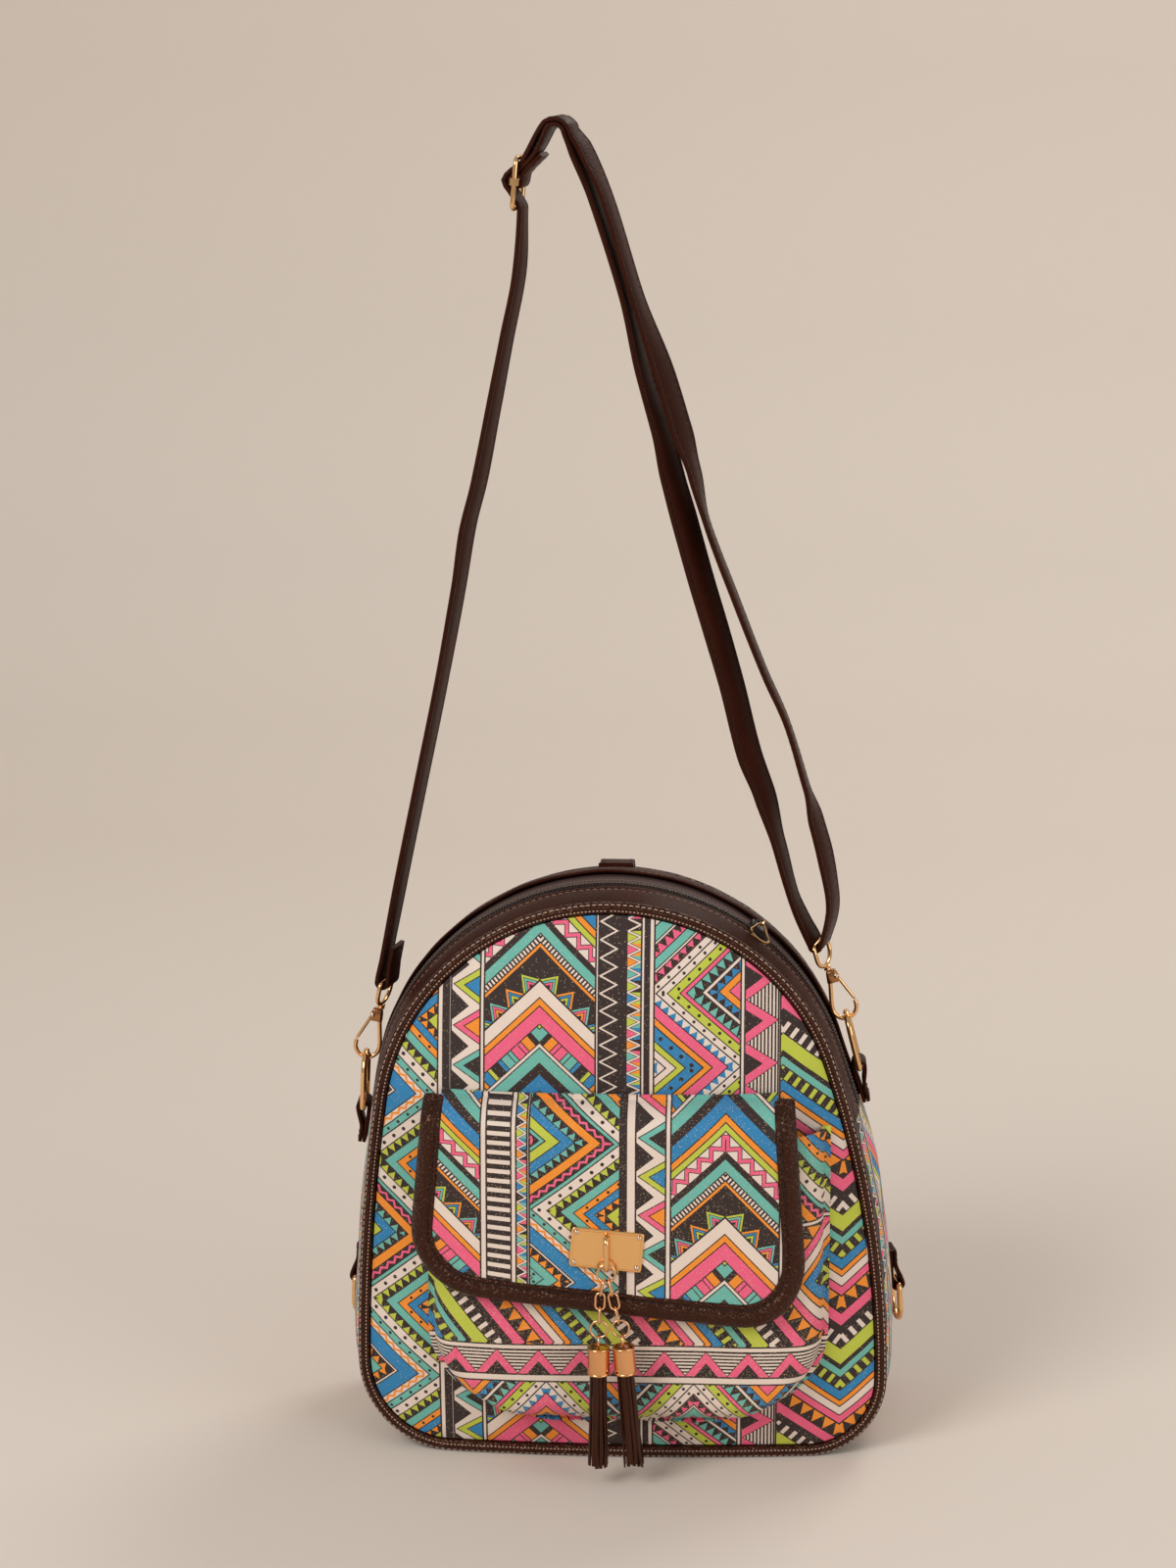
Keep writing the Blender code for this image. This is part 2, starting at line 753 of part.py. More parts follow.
def make_slider():
    frame = slider_frame()
    turn = Matrix((frame[1], Vector((0, 1, 0)), frame[2])).transposed()
    place = Matrix.Translation(frame[0]) @ turn.to_4x4()
    half = TEETH_WIDTH / 2 + SLIDER_PLAY
    floor = TAPE_LIFT + GAP
    roof = TAPE_LIFT + GAP + TEETH_HEIGHT + SLIDER_ROOF_PLAY
    body = box("zip_slider", (-SLIDER_LENGTH / 2, -half - SLIDER_WALL, floor),
               (SLIDER_LENGTH / 2, half + SLIDER_WALL, roof + SLIDER_WALL), ENAMEL)
    channel = box("slider_channel", (-SLIDER_LENGTH, -half, floor - MM), (SLIDER_LENGTH, half, roof), ENAMEL)
    top = roof + SLIDER_WALL
    bar = bridge_height()
    post = BRIDGE_SPAN / 2
    arch = ((-post, 0, top - 0.4 * MM), (-post, 0, bar - MM), (-post + MM, 0, bar), (post - MM, 0, bar),
            (post, 0, bar - MM), (post, 0, top - 0.4 * MM))
    bridge = as_mesh(tube("slider_bridge", arch, BRIDGE_RADIUS, ENAMEL, sides=8))
    for piece in (body, channel, bridge):
        piece.data.transform(place)
    boolean(body, channel, "DIFFERENCE")
    boolean(body, bridge, "UNION")
    pivot = Vector((ARCH_SHIFT, ZIP_Y, ARCH_Z))
    return move_origin(body, pivot)


def bridge_height():
    """Height of the bridge's bar over the gusset's face, clear of the pull's eye"""
    top = TAPE_LIFT + GAP + TEETH_HEIGHT + SLIDER_ROOF_PLAY + SLIDER_WALL
    return top + GAP + PULL_EYE_RADIUS + PULL_EYE_WIRE


def make_pull():
    """Long ring that lies forward over the front strip, on a small eye round the slider's bridge"""
    origin, along, normal = slider_frame()
    bar = origin + normal * bridge_height()
    out = Vector((0, -math.cos(PULL_TILT), 0)) - normal * math.sin(PULL_TILT)
    start = PULL_EYE_RADIUS
    far = PULL_LENGTH - PULL_WIDTH / 2
    half = PULL_WIDTH / 2 - PULL_WIRE
    neck = MM
    points = [bar + out * start + along * neck]
    for i in range(9):
        angle = math.pi * i / 8
        points.append(bar + out * (far + half * math.sin(angle)) + along * half * math.cos(angle))
    points.append(bar + out * start - along * neck)
    ring = as_mesh(tube("zip_pull", points, PULL_WIRE, GOLD, cyclic=True))
    eye = torus("pull_eye", bar, along, PULL_EYE_RADIUS, PULL_EYE_WIRE, GOLD, segments=12)
    boolean(ring, eye, "UNION")
    return move_origin(ring, bar)


# Pocket, flap and snap


def pocket_half(z, inset=0.0):
    """Half width of the pocket at this height"""
    rise = min(max(z - POCKET_BOTTOM, 0.0), POCKET_CORNER_Z)
    lack = 1 - rise / POCKET_CORNER_Z
    return POCKET_HALF - inset - POCKET_CORNER_X * (1 - math.sqrt(1 - lack ** 2))


def pocket_face_y(x, z):
    """Outer face of the pocket"""
    side = pocket_half(z) - abs(x - POCKET_X)
    edge = min(side, z - POCKET_BOTTOM)
    rise = POCKET_RISE * quarter((edge - POCKET_HEM) / POCKET_ROLL)
    return front_face_y(x, z) - HEM_LIFT - POCKET_T - rise


def make_pocket():
    steps = (0.0, POCKET_HEM, POCKET_HEM + 0.1 * POCKET_ROLL, POCKET_HEM + 0.4 * POCKET_ROLL,
             POCKET_HEM + POCKET_ROLL)
    heights = [POCKET_BOTTOM + step for step in steps]
    heights.insert(1, POCKET_BOTTOM + 0.25 * POCKET_HEM)
    corner = POCKET_BOTTOM + POCKET_CORNER_Z
    heights += [blend(POCKET_BOTTOM, corner, share) for share in (0.5, 0.75, 1.0)]
    heights += [blend(corner, POCKET_TOP, share) for share in (0.33, 0.67, 1.0)]
    rows = []
    for z in heights:
        half = pocket_half(z)
        inner = half - steps[-1]
        xs = [half - step for step in steps] + [inner * 0.5]
        xs = [-x for x in xs] + [0.0] + xs[::-1]
        rows.append([Vector((POCKET_X + x, pocket_face_y(POCKET_X + x, z), z)) for x in xs])
    return shell("pocket", rows, POCKET_T, CANVAS, forward)


def flap_point(x, drop, lift=0.0):
    """Point of the flap's outer face, from its place on the flap laid out flat"""
    share = drop / FLAP_HEIGHT
    wide = x * blend(FLAP_TOP_HALF / FLAP_HALF, 1.0, share)
    z = FLAP_TOP - drop + FLAP_SKEW * x * share
    ease = 1 - FLAP_SIDE_DROP * min(abs(x) / FLAP_HALF, 1.0) ** 4
    stand = (POCKET_T + POCKET_RISE + SNAP_SPACE) * quarter((drop - FLAP_HEM) / FLAP_ROLL) * ease
    y = front_face_y(FLAP_X + wide, z) - HEM_LIFT - FLAP_T - stand
    return Vector((FLAP_X + wide, y - lift, z))


def flap_drops(inset):
    """Distances of the rows from the top of the flap, down to the start of the corners"""
    roll = [FLAP_HEM + share * FLAP_ROLL for share in (0.08, 0.35, 1.0)]
    last = FLAP_HEIGHT - FLAP_CORNER
    return [FLAP_HEM] + roll + [blend(roll[-1], last, share) for share in (0.33, 0.67)]


def corner_rows(inset):
    """Half width and distance from the top of the rows through the rounded corners"""
    radius = FLAP_CORNER - inset
    centre = FLAP_HEIGHT - FLAP_CORNER
    rows = []
    for degrees in CORNER_ANGLES:
        angle = math.radians(degrees)
        half = FLAP_HALF - FLAP_CORNER + radius * math.cos(angle)
        rows.append((half, centre + radius * math.sin(angle)))
    return rows


def make_flap():
    inset = BINDING_WIDTH + GAP
    rows = [(FLAP_HALF - inset, drop) for drop in [0.0] + flap_drops(inset)] + corner_rows(inset)
    shares = (-1.0, -0.8, -0.5, -0.17, 0.17, 0.5, 0.8, 1.0)
    points = [[flap_point(half * share, drop) for share in shares] for half, drop in rows]
    return shell("flap", points, FLAP_T, CANVAS, forward)


def flap_edge(inset):
    """Path down the left side of the flap, along its lower edge and up its right side"""
    side = [(FLAP_HALF - inset, BINDING_START)]
    side += [(FLAP_HALF - inset, drop) for drop in flap_drops(inset)[2:]] + corner_rows(inset)
    low = side[-1]
    bottom = [(low[0] * share, low[1]) for share in (-0.5, 0.0, 0.5)]
    return [(-x, drop) for x, drop in side] + bottom + side[::-1]


def make_binding():
    """Padded edge that wraps the flap, with a sewn groove inside its roll"""
    back = -FLAP_T - 0.8 * MM
    profile = ((0.0, -1.2 * MM), (0.9 * MM, 1.2 * MM), (4 * MM, 2.4 * MM), (7.4 * MM, 1.7 * MM),
               (8.4 * MM, 0.6 * MM), (BINDING_WIDTH, 0.5 * MM), (BINDING_WIDTH, -FLAP_T), (5 * MM, back))
    paths = [flap_edge(inset) for inset, lift in profile]
    sections = []
    for i in range(len(paths[0])):
        sections.append([flap_point(*path[i], lift) for path, (inset, lift) in zip(paths, profile)])
    for end in (0, -1):
        middle = sum(sections[end], Vector()) / len(sections[end])
        tip = [middle.lerp(point, 0.6) + Vector((0, 0, 1.5 * MM)) for point in sections[end]]
        if end == 0:
            sections.insert(0, tip)
        else:
            sections.append(tip)
    return loft("flap_binding", sections, LEATHER)


def facing_front(made, x, y, z):
    """Stand a turned piece with its axis towards the front"""
    made.matrix_world = Matrix.Translation((x, y, z)) @ Matrix.Rotation(math.pi / 2, 4, "X")
    return made


def make_snap():
    seat = pocket_face_y(PLATE_X, SNAP_Z) - GAP
    rim = SOCKET_HEIGHT
    floor = rim - SOCKET_HOLE_DEPTH
    profile = ((0, floor), (SOCKET_HOLE_RADIUS, floor), (SOCKET_HOLE_RADIUS, rim), (SNAP_RADIUS - 0.5 * MM, rim),
               (SNAP_RADIUS, rim - 0.5 * MM), (SNAP_RADIUS, 0), (0, 0))
    facing_front(turned("snap_socket", profile, GOLD), PLATE_X, seat, SNAP_Z)
    inner = flap_point(PLATE_X - FLAP_X, FLAP_TOP - SNAP_Z).y + FLAP_T + GAP
    disc = (inner - seat) * -1 - SOCKET_HEIGHT - GAP
    stud = ((0, disc), (SNAP_RADIUS, disc), (SNAP_RADIUS, 0), (STUD_RADIUS, 0), (STUD_RADIUS, -STUD_HEIGHT),
            (0, -STUD_HEIGHT))
    facing_front(turned("snap_stud", stud, GOLD), PLATE_X, inner + disc, SNAP_Z)


# Plate, staple and tassels


def plate_back_y():
    return flap_point(PLATE_X - FLAP_X, FLAP_TOP - PLATE_Z).y - PLATE_SEAT


def plate_front_y():
    return plate_back_y() - PLATE_T


def make_plate():
    plate = box("plate", (-PLATE_WIDTH / 2, -PLATE_T, -PLATE_HEIGHT / 2), (PLATE_WIDTH / 2, 0, PLATE_HEIGHT / 2),
                GOLD)
    add_modifier(plate, "BEVEL", width=0.45 * MM, segments=1)
    place = Matrix.Translation((PLATE_X, plate_back_y(), PLATE_Z)) @ Matrix.Rotation(PLATE_TURN, 4, "Y")
    plate.matrix_world = place
    number = 0
    for x in (-1, 1):
        for z in (-1, 1):
            number += 1
            centre = place @ Vector((x * (PLATE_WIDTH / 2 - RIVET_MARGIN), -PLATE_T - GAP,
                                     z * (PLATE_HEIGHT / 2 - RIVET_MARGIN)))
            dome = [(RIVET_RADIUS * math.sin(a), RIVET_HEIGHT * math.cos(a))
                    for a in (0.0, math.pi / 6, math.pi / 3, math.pi / 2)]
            rivet = turned("plate_rivet_%d" % number, dome + [(0, 0)], GOLD, steps=10)
            facing_front(rivet, centre.x, centre.y, centre.z)


def staple_y():
    return plate_front_y() - STAPLE_REACH


def make_staple():
    """Upright bow in the middle of the plate, which the jump ring hangs in"""
    back = plate_front_y() - GAP
    front = staple_y()
    soft = 1.2 * MM
    points = [(back, STAPLE_TOP), (front + soft, STAPLE_TOP), (front + 0.3 * soft, STAPLE_TOP - 0.3 * soft),
              (front, STAPLE_TOP - soft), (front, STAPLE_BOTTOM + soft),
              (front + 0.3 * soft, STAPLE_BOTTOM + 0.3 * soft), (front + soft, STAPLE_BOTTOM), (back, STAPLE_BOTTOM)]
    return tube("plate_staple", [Vector((PLATE_X, y, z)) for y, z in points], STAPLE_WIRE, GOLD, sides=8)


def tassel_plane_y():
    """Everything that hangs lies in one upright plane, just behind the staple's front"""
    return staple_y() + STAPLE_WIRE + GAP + JUMP_RING_WIRE


def make_jump_ring():
    pivot = Vector((PLATE_X, tassel_plane_y(), STAPLE_BOTTOM))
    top = pivot.z + STAPLE_WIRE + GAP + JUMP_RING_WIRE
    centre = Vector((pivot.x, pivot.y, top - JUMP_RING_RADIUS))
    ring = torus("jump_ring", centre, (0, 1, 0), JUMP_RING_RADIUS, JUMP_RING_WIRE, GOLD, segments=18)
    move_origin(ring, pivot)
    return centre


def hanging(pivot, lean, reach, above):
    """Top and bottom of a piece that hangs on a wire at the pivot, and its own two directions"""
    down = Vector((math.sin(lean), 0, -math.cos(lean)))
    top = pivot - down * above
    return top, top + down * reach, down, Vector((math.cos(lean), 0, math.sin(lean)))


def make_chain(name, side, ring_centre):
    """Links, ring, cap and fringe of one tassel, each hung on the wire of the one above it"""
    leans = [math.radians(side * degrees) for degrees in CHAIN_LEANS[name]]
    start = CHAIN_SPREAD * side
    pivot = ring_centre + JUMP_RING_RADIUS * Vector((math.sin(start), 0, -math.cos(start)))
    wire = JUMP_RING_WIRE
    for number in range(3):
        above = wire + LINK_WIRE + GAP
        top, low, down, flat = hanging(pivot, leans[number], LINK_LENGTH, above)
        across = flat if number % 2 else Vector((0, 1, 0))
        points = oval((top + low) / 2, down, across, LINK_LENGTH, LINK_WIDTH)
        move_origin(tube("%s_link_%d" % (name, number + 1), points, LINK_WIRE, GOLD, cyclic=True), pivot)
        pivot, wire = low, LINK_WIRE
    above = wire + TASSEL_RING_WIRE + GAP
    top, low, down, flat = hanging(pivot, leans[3], 2 * TASSEL_RING_RADIUS, above)
    ring = torus(name + "_tassel_ring", (top + low) / 2, (0, 1, 0), TASSEL_RING_RADIUS, TASSEL_RING_WIRE, GOLD,
                 segments=16)
    move_origin(ring, pivot)
    make_tassel(name, low, leans[4])


def make_tassel(name, pivot, lean):
    place = Matrix.Translation(pivot) @ Matrix.Rotation(-lean, 4, "Y")
    eye_top = TASSEL_RING_WIRE + CAP_EYE_WIRE + 1.2 * GAP
    floor = eye_top - 2 * CAP_EYE_RADIUS - 0.2 * MM
    rim = -CAP_RIM_DROP
    foot = rim - CAP_LENGTH
    body = CAP_RADIUS - CAP_LIP
    inside = body - CAP_WALL
    seat = foot + FRINGE_SEAT
    profile = ((0, floor), (inside, floor), (inside, rim), (CAP_RADIUS, rim), (CAP_RADIUS, rim - MM),
               (body, rim - 1.4 * MM), (body, foot + 1.6 * MM), (CAP_RADIUS, foot + 1.2 * MM), (CAP_RADIUS, foot),
               (inside, foot), (inside, seat), (0, seat))
    cap = turned(name + "_tassel_cap", profile, GOLD, steps=CAP_SIDES)
    eye = torus(name + "_cap_eye", (0, 0, eye_top - CAP_EYE_RADIUS), (1, 0, 0), CAP_EYE_RADIUS, CAP_EYE_WIRE, GOLD,
                segments=12)
    eye.matrix_world = place
    cap.matrix_world = place
    boolean(cap, eye, "UNION")
    make_fringe(name, place, inside * math.cos(math.pi / CAP_SIDES) - GAP, seat - GAP, foot)


def make_fringe(name, place, radius, top, foot):
    """Round root in the cap, and strips cut from it that hang and spread a little"""
    bm = bmesh.new()
    bmesh.ops.create_cone(bm, cap_ends=True, segments=FRINGE_STRIPS, radius1=radius, radius2=radius,
                          depth=top - foot)
    bmesh.ops.translate(bm, vec=(0, 0, (top + foot) / 2), verts=bm.verts)
    bm.normal_update()
    base = min(bm.faces, key=lambda face: face.calc_center_median().z)
    wedges = bmesh.ops.poke(bm, faces=[base])["faces"]
    bmesh.ops.inset_individual(bm, faces=wedges, thickness=FRINGE_CUT)
    step = FRINGE_LENGTH / 3
    for level in range(3):
        wedges = bmesh.ops.extrude_discrete_faces(bm, faces=wedges)["faces"]
        for number, face in enumerate(wedges):
            middle = face.calc_center_median()
            spread = 1 + (FRINGE_FLARE - 1) * (level + 1) / 3
            sway = FRINGE_SWAY * math.sin(2.1 * number + 1.7 * level)
            shift = Vector((middle.x * (spread - 1) + sway, middle.y * (spread - 1) - sway, -step))
            bmesh.ops.translate(bm, vec=shift, verts=face.verts)
    made = new_object(name + "_fringe", finish_mesh(bm, name + "_fringe"), LEATHER)
    made.matrix_world = place
    return made


# Tabs and rings


def ribbon(name, points, widths, width, thickness, look):
    """Band of one width along the points, its width along the directions given"""
    rows = []
    for side in (-0.5, 0.5):
        rows.append([point + across * width * side for point, across in zip(points, widths)])
    made = new_object(name, grid_mesh(name, rows, lambda point: Vector((0, 0, 1))), look)
    solidify(made, thickness, offset=0.0)
    return made


def tab_frame(side, z, y, way):
    """Middle of the ring's bar over the gusset, and the ways to its free end, out and across"""
    run = run_at_height(side, z)
    foot_run = run + way * side * TAB_LENGTH
    seat = gusset_point(run, y)
    up = (seat - gusset_point(foot_run, y)).normalized()
    across = gusset_point(run, y + TAB_WIDTH / 2) - gusset_point(run, y - TAB_WIDTH / 2)
    across = (across - up * across.dot(up)).normalized()
    out = up.cross(across) * -side * way
    return seat + out * (CURVE_GAP + TAB_T + CURVE_GAP + RING_WIRE), up, out, across


def make_tab(name, frame):
    """Folded tab round the ring's bar, both its ends sewn down"""
    bar, up, out, across = frame
    bend = RING_WIRE + CURVE_GAP + TAB_T / 2
    sewn = -bend + TAB_T + GAP
    path = [(-TAB_LENGTH, sewn), (-0.55 * TAB_LENGTH, sewn + 0.3 * MM), (-0.22 * TAB_LENGTH, 0.6 * bend)]
    path += [(bend * math.sin(a), bend * math.cos(a)) for a in (0, 0.7, math.pi / 2, 2.4, math.pi)]
    path += [(-0.5 * TAB_LENGTH, -bend), (-TAB_LENGTH, -bend)]
    points = [bar + up * along + out * height for along, height in path]
    return ribbon(name, points, [across] * len(points), TAB_WIDTH, TAB_T, LEATHER)


def make_ring(name, frame, length, lean):
    """Long ring with a straight bar in its tab; returns the middle of its free end"""
    bar, up, out, across = frame
    way = (up * math.cos(lean) + out * math.sin(lean)).normalized()
    half = RING_WIDTH / 2
    bend = RING_BEND
    flat = [(half - bend, 0), (half - 0.3 * bend, 0.3 * bend), (half, bend)]
    count = 7
    crown = [(half * math.cos(math.pi * i / count), length - half + half * math.sin(math.pi * i / count))
             for i in range(count + 1)]
    shape = flat + crown + [(-x, z) for x, z in flat[::-1]]
    points = [bar + across * x + way * z for x, z in shape]
    move_origin(tube(name, points, RING_WIRE, GOLD, cyclic=True), bar)
    return bar + way * length


def make_side_rings():
    ends = {}
    for name, side in (("left", -1), ("right", 1)):
        drop = LEFT_TAB_DROP if side < 0 else 0.0
        frame = tab_frame(side, ZIP_END_Z + TAB_RISE - drop, 0.0, 1)
        make_tab(name + "_side_tab", frame)
        ends[name] = make_ring(name + "_side_ring", frame, RING_LENGTH, math.radians(RING_LEANS[name]))
        frame = tab_frame(side, REAR_TAB_Z, REAR_TAB_Y, -1)
        make_tab(name + "_rear_tab", frame)
        make_ring(name + "_rear_ring", frame, REAR_RING_LENGTH, 0.0)
    return ends


# Snap hooks


def hook_place(name, side, ring_end):
    """Where the hook's own frame lies, so that its bow holds the ring's free end"""
    lean = Matrix.Rotation(-side * math.radians(HOOK_LEANS[name]), 4, "Y")
    hold = HOOK_BOW_Z - HOOK_BOW_RADIUS + HOOK_WIRE + GAP + RING_WIRE
    return Matrix.Translation(ring_end - lean @ Vector((side * HOOK_BOW_X, 0, hold))) @ lean


def make_hook_frame(name, side, place):
    half = BLOCK_WIDTH / 2
    deep = BLOCK_DEPTH / 2
    high = BLOCK_HEIGHT / 2
    roof = high - BLOCK_ROOF
    body = box(name + "_hook_frame", (-half, -deep, -high), (half, deep, high), GOLD)
    wire_x = -half + HOOK_WIRE + 0.15 * MM
    points = [(wire_x, -high + 1.2 * MM), (wire_x, -high - 0.6 * MM), (HOOK_BOW_X - HOOK_BOW_RADIUS, HOOK_BOW_Z + 2 * MM)]
    for i in range(9):
        angle = math.pi + math.pi * i / 8
        points.append((HOOK_BOW_X + HOOK_BOW_RADIUS * math.cos(angle),
                       HOOK_BOW_Z + HOOK_BOW_RADIUS * math.sin(angle)))
    points.append((HOOK_BOW_X + HOOK_BOW_RADIUS - 0.1 * MM, HOOK_TIP_Z))
    wire = as_mesh(tube(name + "_hook_bow", [Vector((x, 0, z)) for x, z in points], HOOK_WIRE, GOLD, sides=8))
    head = STEM_HEAD_RADIUS + GAP
    tools = [
        box(name + "_chamber", (STEM_X - head, -head, roof - 2 * GAP - STEM_HEAD_HEIGHT),
            (STEM_X + head, head, roof), GOLD),
        box(name + "_slot", (STEM_X + head - GAP, -SLOT_WIDTH / 2, -high - MM), (half + MM, SLOT_WIDTH / 2, roof), GOLD),
        rod(name + "_bore", (STEM_X, 0, roof - GAP), (STEM_X, 0, high + MM), STEM_RADIUS + GAP, GOLD),
        rod(name + "_pin_hole", (PIN_X, -deep - MM, PIN_Z), (PIN_X, deep + MM, PIN_Z), PIN_RADIUS + GAP, GOLD),
    ]
    for piece in [body, wire] + tools:
        mirror_and_place(piece, side, place)
    boolean(body, wire, "UNION")
    for tool in tools:
        boolean(body, tool, "DIFFERENCE")
    return move_origin(body, place @ Vector((side * STEM_X, 0, 0)), place.to_3x3())


def mirror_and_place(made, side, place):
    """Mirror a piece of the right hook for the left one, and bring it to its place"""
    if side < 0:
        made.data.transform(Matrix.Scale(-1, 4, Vector((1, 0, 0))))
        made.data.flip_normals()
    made.data.transform(place)
    return made


def make_gate(name, side, place):
    """Straight sprung gate on its pin, closed against the bow's tip"""
    pin = Vector((PIN_X, 0, PIN_Z))
    reach = (PIN_Z - HOOK_TIP_Z - GAP - GATE_WIRE * math.sin(GATE_LEAN)) / math.cos(GATE_LEAN)
    end = pin + reach * Vector((math.sin(GATE_LEAN), 0, -math.cos(GATE_LEAN)))
    half = SLOT_WIDTH / 2 - GAP
    eye = rod(name + "_gate", pin - Vector((0, half, 0)), pin + Vector((0, half, 0)), GATE_EYE_RADIUS, GOLD)
    bar = rod(name + "_gate_bar", pin.lerp(end, 0.04), end, GATE_WIRE, GOLD, sides=8)
    hole = rod(name + "_gate_hole", pin - Vector((0, 2 * half, 0)), pin + Vector((0, 2 * half, 0)),
               PIN_RADIUS + GAP, GOLD)
    shank = rod(name + "_gate_pin", (PIN_X, -BLOCK_DEPTH / 2 - GAP - PIN_HEAD_HEIGHT / 2, PIN_Z),
                (PIN_X, BLOCK_DEPTH / 2 + GAP + PIN_HEAD_HEIGHT / 2, PIN_Z), PIN_RADIUS, GOLD)
    heads = []
    for way in (-1, 1):
        start = way * (BLOCK_DEPTH / 2 + GAP)
        heads.append(rod("%s_pin_head_%d" % (name, way + 2), (PIN_X, start, PIN_Z),
                         (PIN_X, start + way * PIN_HEAD_HEIGHT, PIN_Z), PIN_HEAD_RADIUS, GOLD))
    for piece in [eye, bar, hole, shank] + heads:
        mirror_and_place(piece, side, place)
    boolean(eye, bar, "UNION")
    boolean(eye, hole, "DIFFERENCE")
    for head in heads:
        boolean(shank, head, "UNION")
    pivot = place @ Vector((side * PIN_X, 0, PIN_Z))
    move_origin(shank, pivot)
    return move_origin(eye, pivot)


def eye_bar_height():
    """Height of the strap eye's upper bar in the hook's frame"""
    return BLOCK_HEIGHT / 2 + GAP + BOSS_HEIGHT + EYE_WIRE / 2 + EYE_HEIGHT


def make_eye(name, side, place):
    """Loop that the strap goes through, with a stem that turns in the block"""
    high = BLOCK_HEIGHT / 2
    low = high + GAP + BOSS_HEIGHT + EYE_WIRE / 2
    half = STRAP_WIDTH / 2 + EYE_PLAY + EYE_WIRE
    bend = EYE_BEND
    corner = [(half - bend, 0), (half - 0.3 * bend, 0.3 * bend), (half, bend)]
    shape = corner + [(x, EYE_HEIGHT - z) for x, z in corner[::-1]]
    shape += [(-x, z) for x, z in shape[::-1]]
    turn = Matrix.Rotation(-side * math.radians(EYE_TURNS[name]), 4, "Z")
    points = [turn @ Vector((0, y, low + z)) + Vector((STEM_X, 0, 0)) for y, z in shape]
    loop = as_mesh(tube(name + "_eye_loop", points, EYE_WIRE, GOLD, cyclic=True, sides=8))
    roof = high - BLOCK_ROOF
    head_top = roof - GAP
    profile = ((0, low), (BOSS_RADIUS * 0.8, low), (BOSS_RADIUS, low - 0.6 * MM), (BOSS_RADIUS, high + GAP),
               (STEM_RADIUS, high + GAP), (STEM_RADIUS, head_top), (STEM_HEAD_RADIUS, head_top),
               (STEM_HEAD_RADIUS, head_top - STEM_HEAD_HEIGHT), (0, head_top - STEM_HEAD_HEIGHT))
    stem = turned(name + "_hook_eye", profile, GOLD, steps=12)
    mirror_and_place(loop, side, place)
    stem.matrix_world = place @ Matrix.Translation((side * STEM_X, 0, 0))
    boolean(stem, loop, "UNION")
    across = place.to_3x3() @ Vector((math.sin(math.radians(EYE_TURNS[name])), 0, 0))
    across.y = math.cos(math.radians(EYE_TURNS[name]))
    return place @ Vector((side * STEM_X, 0, eye_bar_height())), across


def make_hooks(ring_ends):
    """Both hooks; returns the middles and the directions of the bars that the strap goes round"""
    bars = {}
    for name, side in (("left", -1), ("right", 1)):
        place = hook_place(name, side, ring_ends[name])
        make_hook_frame(name, side, place)
        make_gate(name, side, place)
        bars[name] = make_eye(name, side, place)
    return bars


# Strap, as (x, z, turn of its face in degrees) from the hooks up to the adjuster and the apex

LEFT_LEG = ((-118, 238, 12), (-110, 279, 14), (-100, 328, 14), (-90, 377, 14), (-81, 426, 16), (-76.5, 455, 19),
            (-71, 477, 19), (-64, 513, 17), (-57.5, 547, 15), (-51.5, 578, 14))
OUTER_LEG = ((-21, 637.5, 20), (-10.6, 614.7, 14), (3.4, 568.5, 16), (17.2, 529.3, 30), (25.5, 502, 30),
             (31, 484, 16), (37.5, 458, 3), (51, 422, 4), (65.6, 384.7, 3), (76.5, 360, 2), (86.6, 327, 4),
             (91.5, 310, 20), (96, 293, 22), (99.8, 272, 18), (99.5, 262, 18))
INNER_LEG = ((-24.5, 635.5, 18), (-16.4, 614.7, 13), (-1.7, 568.5, 14), (7.6, 529.2, 20), (15.4, 503.8, 28),
             (21, 480, 36), (26.5, 460, 40), (34.5, 431, 40), (41.6, 407, 40), (49.7, 378.7, 38), (58.3, 344.3, 38),
             (65.7, 324.6, 32), (73.3, 298.2, 16), (80.5, 272, 12), (86, 259, 16))
DRAWN_EYES = {"left": (-117.7, 226.6), "right": (93.5, 249.3)}
DRAWN_TOP = 651.3
DRAWN_APEX = -33


def level(turn):
    """Level direction across the strap, turned so many degrees from straight back"""
    return Vector((math.sin(math.radians(turn)), math.cos(math.radians(turn)), 0))


def leg_points(route, bars):
    """A leg's route in metres, moved with the hook at its foot and the apex at its top"""
    made = []
    for x, z, turn in route:
        side = "left" if x < STRAP_APEX_X / MM - 12 else "right"
        foot_x, foot_z = DRAWN_EYES[side]
        share = (z - foot_z) / (DRAWN_TOP - foot_z)
        bar = bars[side][0]
        foot = Vector((bar.x - foot_x * MM, 0, bar.z - foot_z * MM))
        head = Vector((STRAP_APEX_X - DRAWN_APEX * MM, 0, STRAP_APEX_Z - DRAWN_TOP * MM))
        made.append((Vector((x * MM, 0, z * MM)) + foot.lerp(head, share), level(turn)))
    return made


def wrap(centre, radius, across, degrees):
    """Points round a bar, in the plane square to it"""
    flat = Vector((across.y, -across.x, 0)).normalized()
    high = across.cross(flat).normalized() * -1
    made = []
    for angle in degrees:
        a = math.radians(angle)
        made.append((centre + radius * (math.cos(a) * flat + math.sin(a) * high), across))
    return made


def adjuster_point(side, up):
    """Point of the adjuster's middle plane: side is to the right of its bars, up is along it"""
    turn = math.radians(ADJUSTER_TURN)
    flat = Vector((math.cos(turn), -math.sin(turn), 0))
    axis = (Vector((0, 0, 1)) + flat * math.tan(ADJUSTER_TILT)).normalized()
    out = (flat - axis * flat.dot(axis)).normalized()
    return Vector((ADJUSTER_X, 0, ADJUSTER_Z)) + out * side + axis * up


